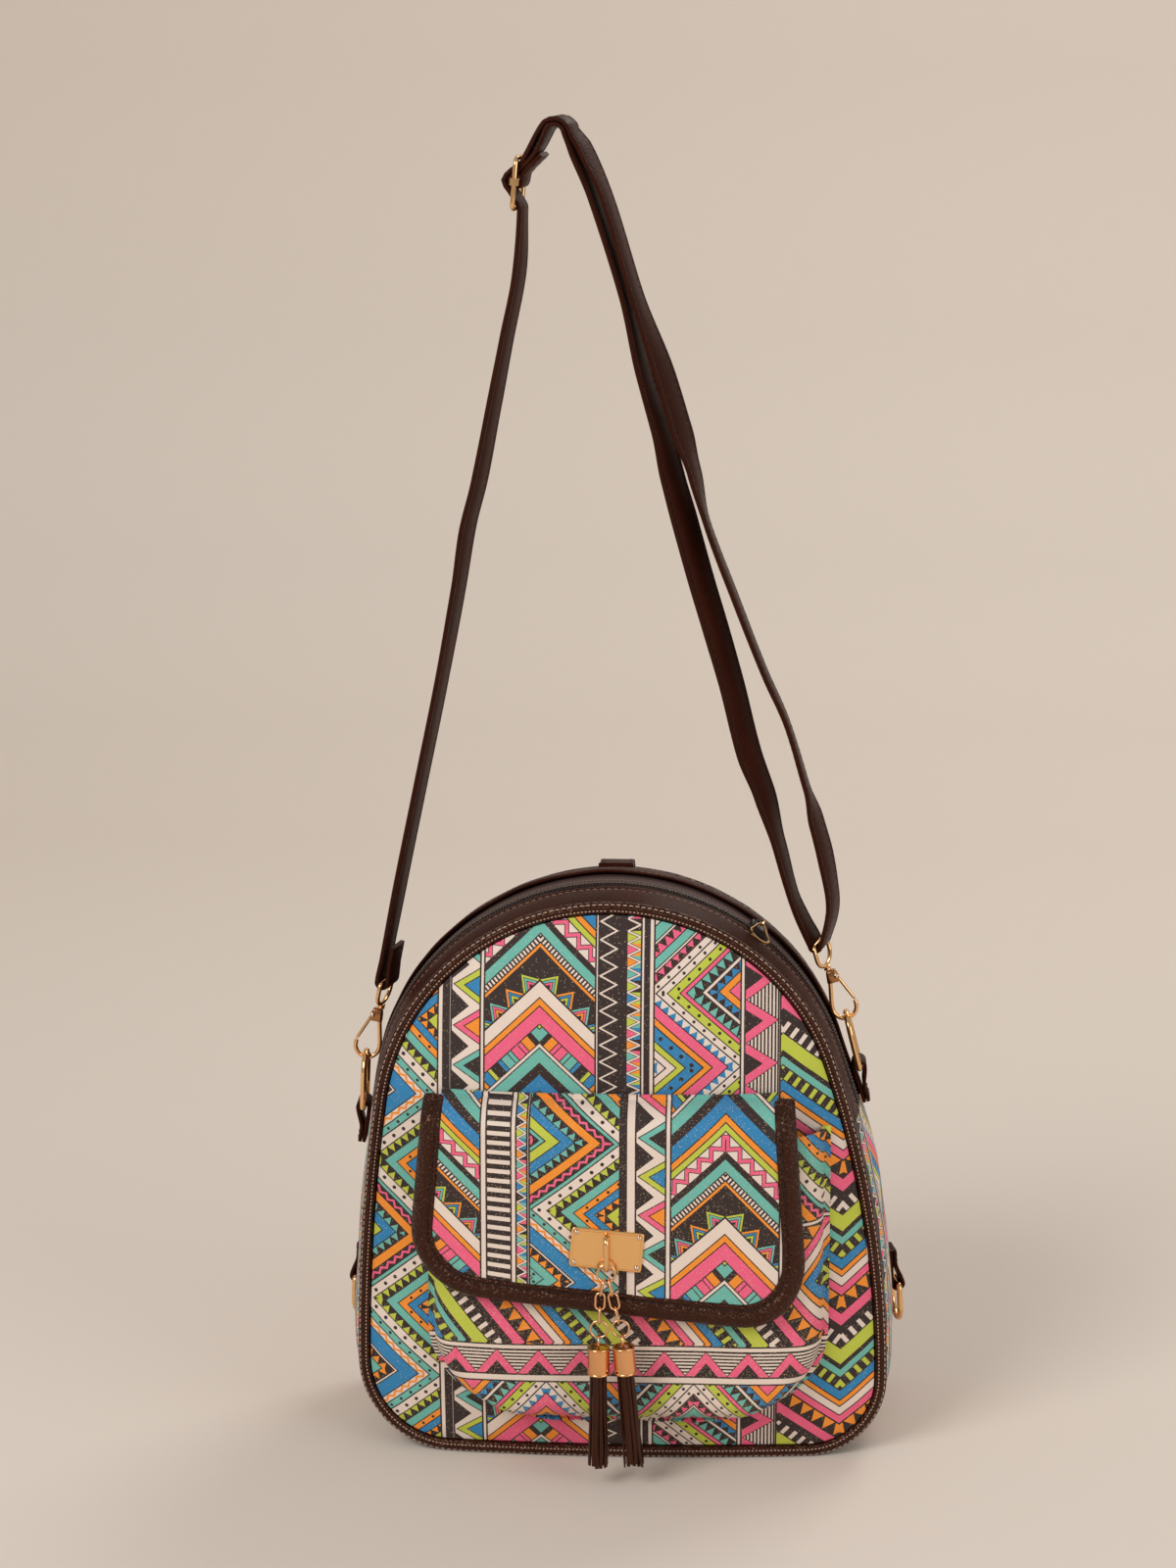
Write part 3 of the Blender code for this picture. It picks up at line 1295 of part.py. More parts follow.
def strap_route(bars):
    """The whole strap: sewn round the adjuster's bar, over the apex, down to the right hook, up
    again, over the apex, through the adjuster and down to the left hook, where it is sewn"""
    round_eye = EYE_WIRE + CURVE_GAP + 0.1 * MM + STRAP_T / 2
    round_bar = ADJUSTER_WIRE + CURVE_GAP + 0.1 * MM + STRAP_T / 2
    layer = STRAP_T + 0.9 * MM
    high = ADJUSTER_HALF
    bar = ADJUSTER_BAR_RISE
    turn = level(ADJUSTER_TURN)
    apex = Vector((STRAP_APEX_X, 0, STRAP_APEX_Z - APEX_RADIUS))
    inner = APEX_RADIUS - STRAP_T - 0.4 * MM
    lap = [(adjuster_point(round_bar + 2 * layer + 2 * MM, high + 2.5 * MM), turn),
           (adjuster_point(round_bar + 2 * layer, high), turn),
           (adjuster_point(round_bar + 0.5 * MM, bar + 4 * MM), turn)]
    fold = []
    for angle in (10, -35, -80, -125, -170, -205):
        a = math.radians(angle)
        fold.append((adjuster_point(round_bar * math.cos(a), bar + round_bar * math.sin(a)), turn))
    rise = [(adjuster_point(round_bar + layer, high), turn), (adjuster_point(round_bar + layer + 3 * MM, high + 5 * MM), turn)]
    over_inner = wrap(apex, inner, level(APEX_TURN), (140, 105, 70, 35, 5))
    down = leg_points(INNER_LEG, bars)
    eye = wrap(bars["right"][0], round_eye, bars["right"][1], (180, 225, 270, 315, 360))
    up = leg_points(OUTER_LEG, bars)[::-1]
    over_outer = wrap(apex, APEX_RADIUS, level(APEX_TURN), (5, 35, 70, 105, 140))
    bend = math.radians(40)
    near, drop = round_bar * math.cos(bend), round_bar * math.sin(bend)
    through = [(adjuster_point(round_bar, high), turn), (adjuster_point(near, high - drop), turn),
               (adjuster_point(-0.9 * round_bar, bar + 5 * MM), turn),
               (adjuster_point(-round_bar - layer, bar), turn), (adjuster_point(-0.9 * round_bar, bar - 5 * MM), turn),
               (adjuster_point(near, drop - high), turn), (adjuster_point(round_bar, -high), turn)]
    left = leg_points(LEFT_LEG, bars)[::-1]
    foot, across = bars["left"]
    end = wrap(foot, round_eye, across, (180, 225, 270, 315, 360))
    tail = [(foot + Vector((3.6 * MM, 0, 0.45 * STRAP_LAP)), across),
            (foot + Vector((5.6 * MM, 0, STRAP_LAP)), level(EYE_TURNS["left"]))]
    return (lap + fold + rise + over_inner + down + eye + up + over_outer + through + left + end + tail)


def even_points(route):
    """Points of a smooth curve through the route, closer where the route's own points are close"""
    made = []
    last = len(route) - 1
    for i in range(last):
        before, start, end, after = (route[min(max(k, 0), last)] for k in (i - 1, i, i + 1, i + 2))
        count = max(1, round((end[0] - start[0]).length / STRAP_SPACING))
        span = (end[0] - start[0]).length
        tangents = []
        for a, b, c in ((before, start, end), (start, end, after)):
            way = (c[0] - a[0])
            tangents.append(way.normalized() * span if way.length > TINY else way)
        for step in range(count):
            t = step / count
            h = (2 * t ** 3 - 3 * t ** 2 + 1, t ** 3 - 2 * t ** 2 + t, -2 * t ** 3 + 3 * t ** 2, t ** 3 - t ** 2)
            point = start[0] * h[0] + tangents[0] * h[1] + end[0] * h[2] + tangents[1] * h[3]
            made.append((point, start[1].lerp(end[1], smooth(t))))
    made.append(route[-1])
    return made


def make_strap(bars):
    samples = even_points(strap_route(bars))
    points = [point for point, across in samples]
    widths = []
    for i, (point, across) in enumerate(samples):
        way = (points[min(i + 1, len(points) - 1)] - points[max(i - 1, 0)]).normalized()
        widths.append((across - way * across.dot(way)).normalized())
    return ribbon("strap", points, widths, STRAP_WIDTH, STRAP_T, LEATHER)


def make_adjuster():
    """Wire frame with a middle bar that slides on its long sides"""
    turn = math.radians(ADJUSTER_TURN)
    across = Vector((math.sin(turn), math.cos(turn), 0))
    half = STRAP_WIDTH / 2 + ADJUSTER_PLAY + ADJUSTER_WIRE
    bend = 2 * EYE_BEND
    corner = [(half - bend, ADJUSTER_HALF), (half - 0.3 * bend, ADJUSTER_HALF - 0.3 * bend),
              (half, ADJUSTER_HALF - bend)]
    shape = corner + [(x, -z) for x, z in corner[::-1]]
    shape += [(-x, z) for x, z in shape[::-1]]
    points = [adjuster_point(0.0, z) + across * x for x, z in shape]
    tube("strap_adjuster", points, ADJUSTER_WIRE, GOLD, cyclic=True, sides=8)
    middle = adjuster_point(0.0, ADJUSTER_BAR_RISE)
    reach = half - ADJUSTER_WIRE - GAP
    bar = rod("adjuster_bar", middle - across * reach, middle + across * reach, ADJUSTER_WIRE, GOLD)
    up = (adjuster_point(0.0, MM) - adjuster_point(0.0, 0.0)).normalized() * SLEEVE_LENGTH / 2
    for way in (-1, 1):
        centre = middle + across * half * way
        sleeve = rod("sleeve_%d" % (way + 2), centre - up, centre + up, SLEEVE_RADIUS + GAP, GOLD)
        bore = rod("sleeve_bore_%d" % (way + 2), centre - 2 * up, centre + 2 * up, ADJUSTER_WIRE + GAP, GOLD)
        boolean(bar, sleeve, "UNION")
        boolean(bar, bore, "DIFFERENCE")
    return bar


# Loop at the top of the back


def make_top_loop():
    """Band sewn on the rear strip, over the back edge and down to the back panel"""
    run = LOOP_X - ARCH_SHIFT
    seat = GAP + LOOP_T / 2
    seam = SEAM_DEPTH / 2
    near = seam - LOOP_T
    edge = sag(outline_at(run)[0] + Vector((0, seam, 0))).z
    low = edge - LOOP_DROP
    stand = BEAD_RADIUS + LOOP_STAND
    back = rear_face_y(LOOP_X, low) + seat
    path = [(LOOP_FRONT_Y, gusset_point(run, LOOP_FRONT_Y).z + seat)]
    for share in (0.3, 0.65):
        y = blend(LOOP_FRONT_Y, near, share)
        path.append((y, gusset_point(run, y).z + seat + share * LOOP_RISE))
    path += [(near, edge + seat + LOOP_RISE), (seam + 0.6 * stand, edge + LOOP_RISE / 2),
             (seam + stand, edge - 0.16 * LOOP_DROP), (seam + stand, edge - 0.42 * LOOP_DROP),
             (blend(seam + stand, back, 0.7), edge - 0.7 * LOOP_DROP), (back + GAP, low + 0.15 * LOOP_DROP),
             (back, low)]
    points = [Vector((LOOP_X, y, z)) for y, z in path]
    return ribbon("top_loop", points, [Vector((1, 0, 0))] * len(points), LOOP_WIDTH, LOOP_T, LEATHER)


def build():
    make_panel("front_panel", front_face_y, forward)
    make_panel("back_panel", back_face_y, backward)
    make_piping("front_piping", front_seam_y)
    make_piping("back_piping", lambda point: SEAM_DEPTH / 2)
    make_lower_gusset()
    make_zip_gusset()
    make_slider()
    make_pull()
    make_pocket()
    make_flap()
    make_binding()
    make_snap()
    make_plate()
    make_staple()
    ring_centre = make_jump_ring()
    make_chain("left", -1, ring_centre)
    make_chain("right", 1, ring_centre)
    ring_ends = make_side_rings()
    bars = make_hooks(ring_ends)
    make_strap(bars)
    make_adjuster()
    make_top_loop()


build()
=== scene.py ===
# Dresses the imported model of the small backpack: printed canvas, grained leather, zip, stitches and metal.
# Metres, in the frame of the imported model: +Z up, the front towards -Y, +X to the right of the front.

import bisect
import json
import math

import bmesh
import bpy
from mathutils import Matrix, Vector, noise

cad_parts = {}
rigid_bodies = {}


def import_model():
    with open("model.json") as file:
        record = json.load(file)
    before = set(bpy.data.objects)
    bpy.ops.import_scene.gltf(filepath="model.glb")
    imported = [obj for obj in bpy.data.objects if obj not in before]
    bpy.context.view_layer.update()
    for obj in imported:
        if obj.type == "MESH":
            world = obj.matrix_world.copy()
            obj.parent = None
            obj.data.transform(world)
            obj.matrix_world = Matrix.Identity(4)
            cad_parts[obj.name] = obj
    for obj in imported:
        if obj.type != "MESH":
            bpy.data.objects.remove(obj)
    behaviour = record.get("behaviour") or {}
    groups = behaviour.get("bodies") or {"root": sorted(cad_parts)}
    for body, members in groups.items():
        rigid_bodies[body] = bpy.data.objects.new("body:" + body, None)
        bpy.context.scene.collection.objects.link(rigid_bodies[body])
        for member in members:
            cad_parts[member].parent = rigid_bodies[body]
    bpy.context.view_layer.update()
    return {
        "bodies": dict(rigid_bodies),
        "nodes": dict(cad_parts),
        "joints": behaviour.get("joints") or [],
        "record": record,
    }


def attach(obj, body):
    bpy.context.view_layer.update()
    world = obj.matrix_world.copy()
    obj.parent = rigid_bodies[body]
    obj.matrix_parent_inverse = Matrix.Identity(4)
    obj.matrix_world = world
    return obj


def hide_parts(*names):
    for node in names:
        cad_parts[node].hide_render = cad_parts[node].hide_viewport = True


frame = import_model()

MM = 0.001
NODES = frame["nodes"]
GAP = 0.3 * MM
CURVE_GAP = 0.45 * MM
TINY = 1e-7

# Outline and depth of the body, as in the part's source
BAG_WIDTH = 262 * MM
BAG_HEIGHT = 281.5 * MM
SHOULDER_STEP = 15 * MM
CORNER_RADII = {-1: 46 * MM, 1: 38.7 * MM}
ARCH_SHIFT = -6.5 * MM
ARCH_RADIUS = BAG_WIDTH / 2 - SHOULDER_STEP
ARCH_Z = BAG_HEIGHT - ARCH_RADIUS
SEAM_DEPTH = 96 * MM
BOTTOM_BOW = 10 * MM
BOW_HEIGHT = 90 * MM
FRONT_DOME = 18 * MM
BACK_DOME = 6 * MM
DOME_POWER = 4
ARCH_BULGE = 2.8 * MM
FLANK_BULGE = 5 * MM
GUSSET_INSET = 1.5 * MM
CROWN_POWER = 2.6
BOTTOM_EDGE_SHARE = 0.12
REAR_DROP = 6.5 * MM
DROP_START_Z = 150 * MM
DROP_REACH = 130 * MM
PANEL_T = 2 * MM
GUSSET_T = 1.8 * MM
BEAD_RADIUS = 3 * MM
PANEL_INSET = 2 * BEAD_RADIUS + GAP

# Zip
ZIP_END_Z = 170 * MM
ZIP_Y = -18 * MM
TEETH_WIDTH = 6 * MM
TEETH_HEIGHT = 2.2 * MM
TAPE_T = 0.8 * MM
TAPE_FRONT = 4 * MM
TAPE_REAR = 15 * MM
TAPE_UNDER = 5 * MM
TAPE_LIFT = -GUSSET_T - CURVE_GAP

# Pocket
POCKET_X = 3.5 * MM
POCKET_HALF = 98 * MM
POCKET_TOP = 172 * MM
POCKET_BOTTOM = 22 * MM
POCKET_CORNER_X = 66 * MM
POCKET_CORNER_Z = 48 * MM
POCKET_RISE = 13 * MM
POCKET_T = 1.5 * MM
POCKET_HEM = 3 * MM
HEM_LIFT = 0.9 * MM
POCKET_ROLL = 12 * MM

# Flap
FLAP_X = -6 * MM
FLAP_HALF = 98 * MM
FLAP_TOP_HALF = 89.5 * MM
FLAP_TOP = 191 * MM
FLAP_HEIGHT = 104 * MM
FLAP_CORNER = 34 * MM
FLAP_SKEW = -0.106
FLAP_T = 2.2 * MM
FLAP_HEM = 2 * MM
FLAP_ROLL = 14 * MM
FLAP_SIDE_DROP = 0.12
BINDING_WIDTH = 11 * MM
BINDING_START = 3 * MM
SNAP_SPACE = 5 * MM

# Plate and tassels
PLATE_X = -6.1 * MM
PLATE_Z = 120 * MM
PLATE_WIDTH = 35 * MM
PLATE_HEIGHT = 20 * MM
PLATE_T = 1.4 * MM
PLATE_TURN = math.radians(5)
PLATE_SEAT = 0.4 * MM
RIVET_RADIUS = 1.2 * MM
RIVET_HEIGHT = 0.7 * MM
RIVET_MARGIN = 2.4 * MM
STAPLE_WIRE = 1.0 * MM
STAPLE_SWELL = 0.4 * MM
STAPLE_REACH = 6 * MM
STAPLE_TOP = 127 * MM
STAPLE_BOTTOM = 112 * MM
JUMP_RING_RADIUS = 4.35 * MM
LINK_LENGTH = 8.4 * MM
LINK_WIDTH = 4.4 * MM
CHAIN_WIRE = 0.5 * MM
SEEN_WIRE = 0.58 * MM
TASSEL_RING_RADIUS = 4.2 * MM
CHAIN_SPREAD = math.radians(20)
CHAIN_LEANS = {"left": (11, 2, 2, 2, 0), "right": (13, 13, 13, 13, 5)}
CAP_RADIUS = 5.6 * MM
CAP_LENGTH = 14 * MM
CAP_WALL = 0.6 * MM
CAP_LIP = 0.3 * MM
CAP_RIM_DROP = 4.8 * MM
CAP_EYE_RADIUS = 3.3 * MM
FRINGE_LENGTH = 48.5 * MM
FRINGE_SEAT = 8 * MM
FRINGE_FLARE = 1.18

# Tabs and rings
TAB_WIDTH = 14 * MM
TAB_T = 1.8 * MM
TAB_LENGTH = 18 * MM
TAB_RISE = 14.5 * MM
LEFT_TAB_DROP = 23 * MM
RING_WIRE = 1.5 * MM
RING_LENGTH = 27.5 * MM
RING_WIDTH = 19 * MM
RING_BEND = 2.2 * MM
RING_LEANS = {"left": 6.5, "right": 3.5}
REAR_TAB_Z = 62 * MM
REAR_TAB_Y = 28 * MM
REAR_RING_LENGTH = 20 * MM

# Snap hooks, in their own frames
SIDES = {"left": -1, "right": 1}
BLOCK_WIDTH = 6.4 * MM
BLOCK_DEPTH = 5.2 * MM
HOOK_TIP_Z = -14.9 * MM
PIN_X = 2.0 * MM
PIN_Z = 0.1 * MM
PIN_HEAD_RADIUS = 1.1 * MM
PIN_HEAD_HEIGHT = 0.5 * MM
GATE_WIRE = 0.8 * MM
GATE_EYE_RADIUS = 1.4 * MM
GATE_EYE_HALF = 0.9 * MM
GATE_LEAN = math.radians(21.5)
EYE_PLAY = 0.4 * MM
BOSS_RADIUS = 1.9 * MM
HOOK_LEANS = {"left": 12, "right": 16.5}
HOOK_WIRE = 1.1 * MM
HOOK_BOW_RADIUS = 6 * MM
HOOK_BOW_X = 1.6 * MM
HOOK_BOW_Z = -16.9 * MM
BLOCK_HEIGHT = 6.4 * MM
STEM_X = -1.2 * MM
EYE_WIRE = 1.1 * MM
EYE_BEND = 1.6 * MM
EYE_HEIGHT = 12.6 * MM
EYE_TURNS = {"left": 12, "right": 18}
BOSS_HEIGHT = 2.4 * MM

# Strap and adjuster
STRAP_WIDTH = 18 * MM
STRAP_T = 2.2 * MM
STRAP_APEX_X = -33 * MM
STRAP_APEX_Z = 651.3 * MM
APEX_RADIUS = 7.5 * MM
APEX_TURN = 12
STRAP_LAP = 18 * MM
ADJUSTER_X = STRAP_APEX_X - 18.8 * MM
ADJUSTER_Z = STRAP_APEX_Z - 30.3 * MM
ADJUSTER_TILT = math.radians(5)
ADJUSTER_TURN = 8
ADJUSTER_HALF = 12 * MM
ADJUSTER_WIRE = 1.2 * MM
ADJUSTER_PLAY = 1.4 * MM
ADJUSTER_BAR_RISE = 1 * MM

# Loop at the top of the back
LOOP_X = -6 * MM
LOOP_WIDTH = 17.5 * MM
LOOP_T = 2 * MM
LOOP_STAND = 7 * MM
LOOP_FRONT_Y = 22 * MM
LOOP_DROP = 48 * MM
LOOP_RISE = 1 * MM

# Spacing of the fine points
FINE = 2.6 * MM


def smooth(value):
    value = min(max(value, 0.0), 1.0)
    return value * value * (3 - 2 * value)


def blend(first, second, share):
    return first + (second - first) * share


def quarter(value):
    """Rises like a quarter circle from 0 to 1"""
    value = min(max(value, 0.0), 1.0)
    return math.sqrt(1 - (1 - value) ** 2)


def spread(start, end, count):
    return [blend(start, end, i / (count - 1)) for i in range(count)]


def arc(x, z, radius, start, end, count, tall=None):
    """Points of an arc between two angles in degrees, or of an ellipse that is so tall"""
    made = []
    for degrees in spread(start, end, count):
        angle = math.radians(degrees)
        made.append((x + radius * math.cos(angle), z + (tall or radius) * math.sin(angle)))
    return made


def circle(centre, across, up, radius, count=48):
    angles = [2 * math.pi * k / count for k in range(count)]
    return [centre + radius * (math.cos(angle) * across + math.sin(angle) * up) for angle in angles]


# Outline, by the run along it from the top of the arch: positive down the right side


def half_outline(side):
    """Half width from the arch's centre line, the flank's radius and the arch's last angle"""
    half = BAG_WIDTH / 2 - side * ARCH_SHIFT
    step = half - ARCH_RADIUS
    rise = ARCH_Z - CORNER_RADII[side]
    reach = (step ** 2 + rise ** 2) / (2 * step)
    return half, ARCH_RADIUS + reach, math.asin(rise / reach)


def outline_runs(side):
    """Runs at the end of the arch, of the flank and of the corner"""
    half, flank_radius, last = half_outline(side)
    arch = ARCH_RADIUS * (math.pi / 2 - last)
    flank = arch + flank_radius * last
    return arch, flank, flank + CORNER_RADII[side] * math.pi / 2


def outline_at(run):
    """Point of the outline and its outward normal"""
    side = 1 if run >= 0 else -1
    half, flank_radius, last = half_outline(side)
    arch, flank, corner = outline_runs(side)
    bend = CORNER_RADII[side]
    run = abs(run)
    if run > corner:
        x = half - bend - (run - corner)
        return Vector((ARCH_SHIFT + side * x, 0, 0)), Vector((0, 0, -1))
    if run <= arch:
        x, z, radius, angle = 0.0, ARCH_Z, ARCH_RADIUS, math.pi / 2 - run / ARCH_RADIUS
    elif run <= flank:
        x, z, radius = half - flank_radius, bend, flank_radius
        angle = last - (run - arch) / flank_radius
    else:
        x, z, radius = half - bend, bend, bend
        angle = -(run - flank) / bend
    normal = Vector((side * math.cos(angle), 0, math.sin(angle)))
    return Vector((ARCH_SHIFT + side * x, 0, z)) + radius * normal, normal


def run_at_height(side, z):
    """Run of the point of the arch or flank at this height"""
    half, flank_radius, last = half_outline(side)
    if z >= ARCH_Z + ARCH_RADIUS * math.sin(last):
        return side * ARCH_RADIUS * (math.pi / 2 - math.asin((z - ARCH_Z) / ARCH_RADIUS))
    arch = outline_runs(side)[0]
    return side * (arch + flank_radius * (last - math.asin((z - CORNER_RADII[side]) / flank_radius)))


def side_length(side):
    """Run of the middle of the bottom"""
    return outline_runs(side)[2] + BAG_WIDTH / 2 - CORNER_RADII[side]


def runs_between(start, end, spacing):
    count = max(2, round(abs(end - start) / spacing) + 1)
    return spread(start, end, count)


def ring_runs(spacing):
    """Runs all the way round, down the right side and up the left"""
    right = runs_between(0.0, side_length(1), spacing)
    left = runs_between(0.0, side_length(-1), spacing)
    return right + [-run for run in left[-2:0:-1]]


RIGHT_ZIP_END = run_at_height(1, ZIP_END_Z)
LEFT_ZIP_END = run_at_height(-1, ZIP_END_Z)


# Surfaces of the body


def front_seam_y(point):
    across = max(0.0, 1 - (2 * point.x / BAG_WIDTH) ** 2)
    up = max(0.0, 1 - point.z / BOW_HEIGHT)
    return -SEAM_DEPTH / 2 - BOTTOM_BOW * across * up ** 2


def gusset_edges(run):
    point = outline_at(run)[0]
    return front_seam_y(point) + BEAD_RADIUS + GAP, SEAM_DEPTH / 2 - BEAD_RADIUS - GAP


def sag(point):
    """Point moved down with the rear of the arch"""
    down = REAR_DROP * smooth(point.y / (SEAM_DEPTH / 2)) * smooth((point.z - DROP_START_Z) / DROP_REACH)
    return point - Vector((0, 0, down))


def gusset_bulge(run):
    arch, flank, corner = outline_runs(1 if run >= 0 else -1)
    run = abs(run)
    if run <= flank:
        return blend(ARCH_BULGE, FLANK_BULGE, smooth(2 * (run - arch) / (flank - arch)))
    return FLANK_BULGE * (1 - smooth((run - flank) / (corner - flank)))


def gusset_point(run, y, lift=0.0):
    point, normal = outline_at(run)
    front, back = gusset_edges(run)
    share = min(max((y - front) / (back - front), 0.0), 1.0)
    crown = 1 - abs(2 * share - 1) ** CROWN_POWER
    plateau = smooth(share / BOTTOM_EDGE_SHARE) * smooth((1 - share) / BOTTOM_EDGE_SHARE)
    down = max(0.0, -normal.z) ** 2
    fill = blend(crown, plateau, down)
    reach = -GUSSET_INSET + (GUSSET_INSET + gusset_bulge(run)) * fill + lift
    return sag(point + normal * reach + Vector((0, y, 0)))


PANEL_CENTRE = Vector((ARCH_SHIFT, 0, BAG_HEIGHT / 2))
PANEL_RUNS = ring_runs(FINE)
PANEL_EDGE = []
for run in PANEL_RUNS:
    edge_point, edge_normal = outline_at(run)
    PANEL_EDGE.append(edge_point - edge_normal * PANEL_INSET)


def clock(x, z):
    """Angle about the panel's middle, clockwise from straight up"""
    return math.atan2(x - PANEL_CENTRE.x, z - PANEL_CENTRE.z) % (2 * math.pi)


EDGE_ANGLES = sorted((clock(p.x, p.z), i) for i, p in enumerate(PANEL_EDGE))
ANGLES = [angle for angle, i in EDGE_ANGLES]


def face_share(x, z):
    """0 at the middle of a panel and 1 at its edge"""
    ray = Vector((x, 0, z)) - PANEL_CENTRE
    if ray.length < TINY:
        return 0.0
    place = bisect.bisect_right(ANGLES, clock(x, z)) - 1
    a = PANEL_EDGE[EDGE_ANGLES[place][1]] - PANEL_CENTRE
    b = PANEL_EDGE[EDGE_ANGLES[(place + 1) % len(ANGLES)][1]] - PANEL_CENTRE
    turn = a.x * b.z - a.z * b.x
    return (ray.x * b.z - ray.z * b.x) / turn + (a.x * ray.z - a.z * ray.x) / turn


def front_face_y(x, z):
    rise = FRONT_DOME * (1 - min(face_share(x, z), 1.0) ** DOME_POWER)
    return front_seam_y(Vector((x, 0, z))) - PANEL_T / 2 - rise


def back_face_y(x, z):
    rise = BACK_DOME * (1 - min(face_share(x, z), 1.0) ** DOME_POWER)
    return SEAM_DEPTH / 2 + PANEL_T / 2 + rise


def rear_face_y(x, z):
    """Outer face of the back panel where it has sagged"""
    high = z
    for step in range(4):
        high += z - sag(Vector((x, back_face_y(x, high), high))).z
    return back_face_y(x, high)


def pocket_half(z, inset=0.0):
    rise = min(max(z - POCKET_BOTTOM, 0.0), POCKET_CORNER_Z)
    lack = 1 - rise / POCKET_CORNER_Z
    return POCKET_HALF - inset - POCKET_CORNER_X * (1 - math.sqrt(1 - lack ** 2))


def pocket_face_y(x, z):
    side = pocket_half(z) - abs(x - POCKET_X)
    edge = min(side, z - POCKET_BOTTOM)
    rise = POCKET_RISE * quarter((edge - POCKET_HEM) / POCKET_ROLL)
    return front_face_y(x, z) - HEM_LIFT - POCKET_T - rise


def flap_point(x, drop, lift=0.0):
    """Point of the flap's outer face, from its place on the flap laid out flat"""
    share = drop / FLAP_HEIGHT
    wide = x * blend(FLAP_TOP_HALF / FLAP_HALF, 1.0, share)
    z = FLAP_TOP - drop + FLAP_SKEW * x * share
    ease = 1 - FLAP_SIDE_DROP * min(abs(x) / FLAP_HALF, 1.0) ** 4
    stand = (POCKET_T + POCKET_RISE + SNAP_SPACE) * quarter((drop - FLAP_HEM) / FLAP_ROLL) * ease
    y = front_face_y(FLAP_X + wide, z) - HEM_LIFT - FLAP_T - stand
    return Vector((FLAP_X + wide, y - lift, z))


# Materials: nodes from plain expressions


class Term:
    """A number that varies over the surface"""

    def __init__(self, graph, socket):
        self.graph = graph
        self.socket = socket

    def __add__(self, other):
        return self.graph.math("ADD", self, other)

    __radd__ = __add__

    def __sub__(self, other):
        return self.graph.math("SUBTRACT", self, other)

    def __rsub__(self, other):
        return self.graph.math("SUBTRACT", other, self)

    def __mul__(self, other):
        return self.graph.math("MULTIPLY", self, other)

    __rmul__ = __mul__

    def __truediv__(self, other):
        return self.graph.math("DIVIDE", self, other)

    def __lt__(self, other):
        return self.graph.math("LESS_THAN", self, other)

    def __gt__(self, other):
        return self.graph.math("GREATER_THAN", self, other)

    def __abs__(self):
        return self.graph.math("ABSOLUTE", self)

    def fraction(self):
        return self.graph.math("FRACT", self)

    def whole(self):
        return self.graph.math("FLOOR", self)

    def wave(self, half):
        """Straight rise from 0 to 1 over the half period and back"""
        return self.graph.math("PINGPONG", self, half) / half


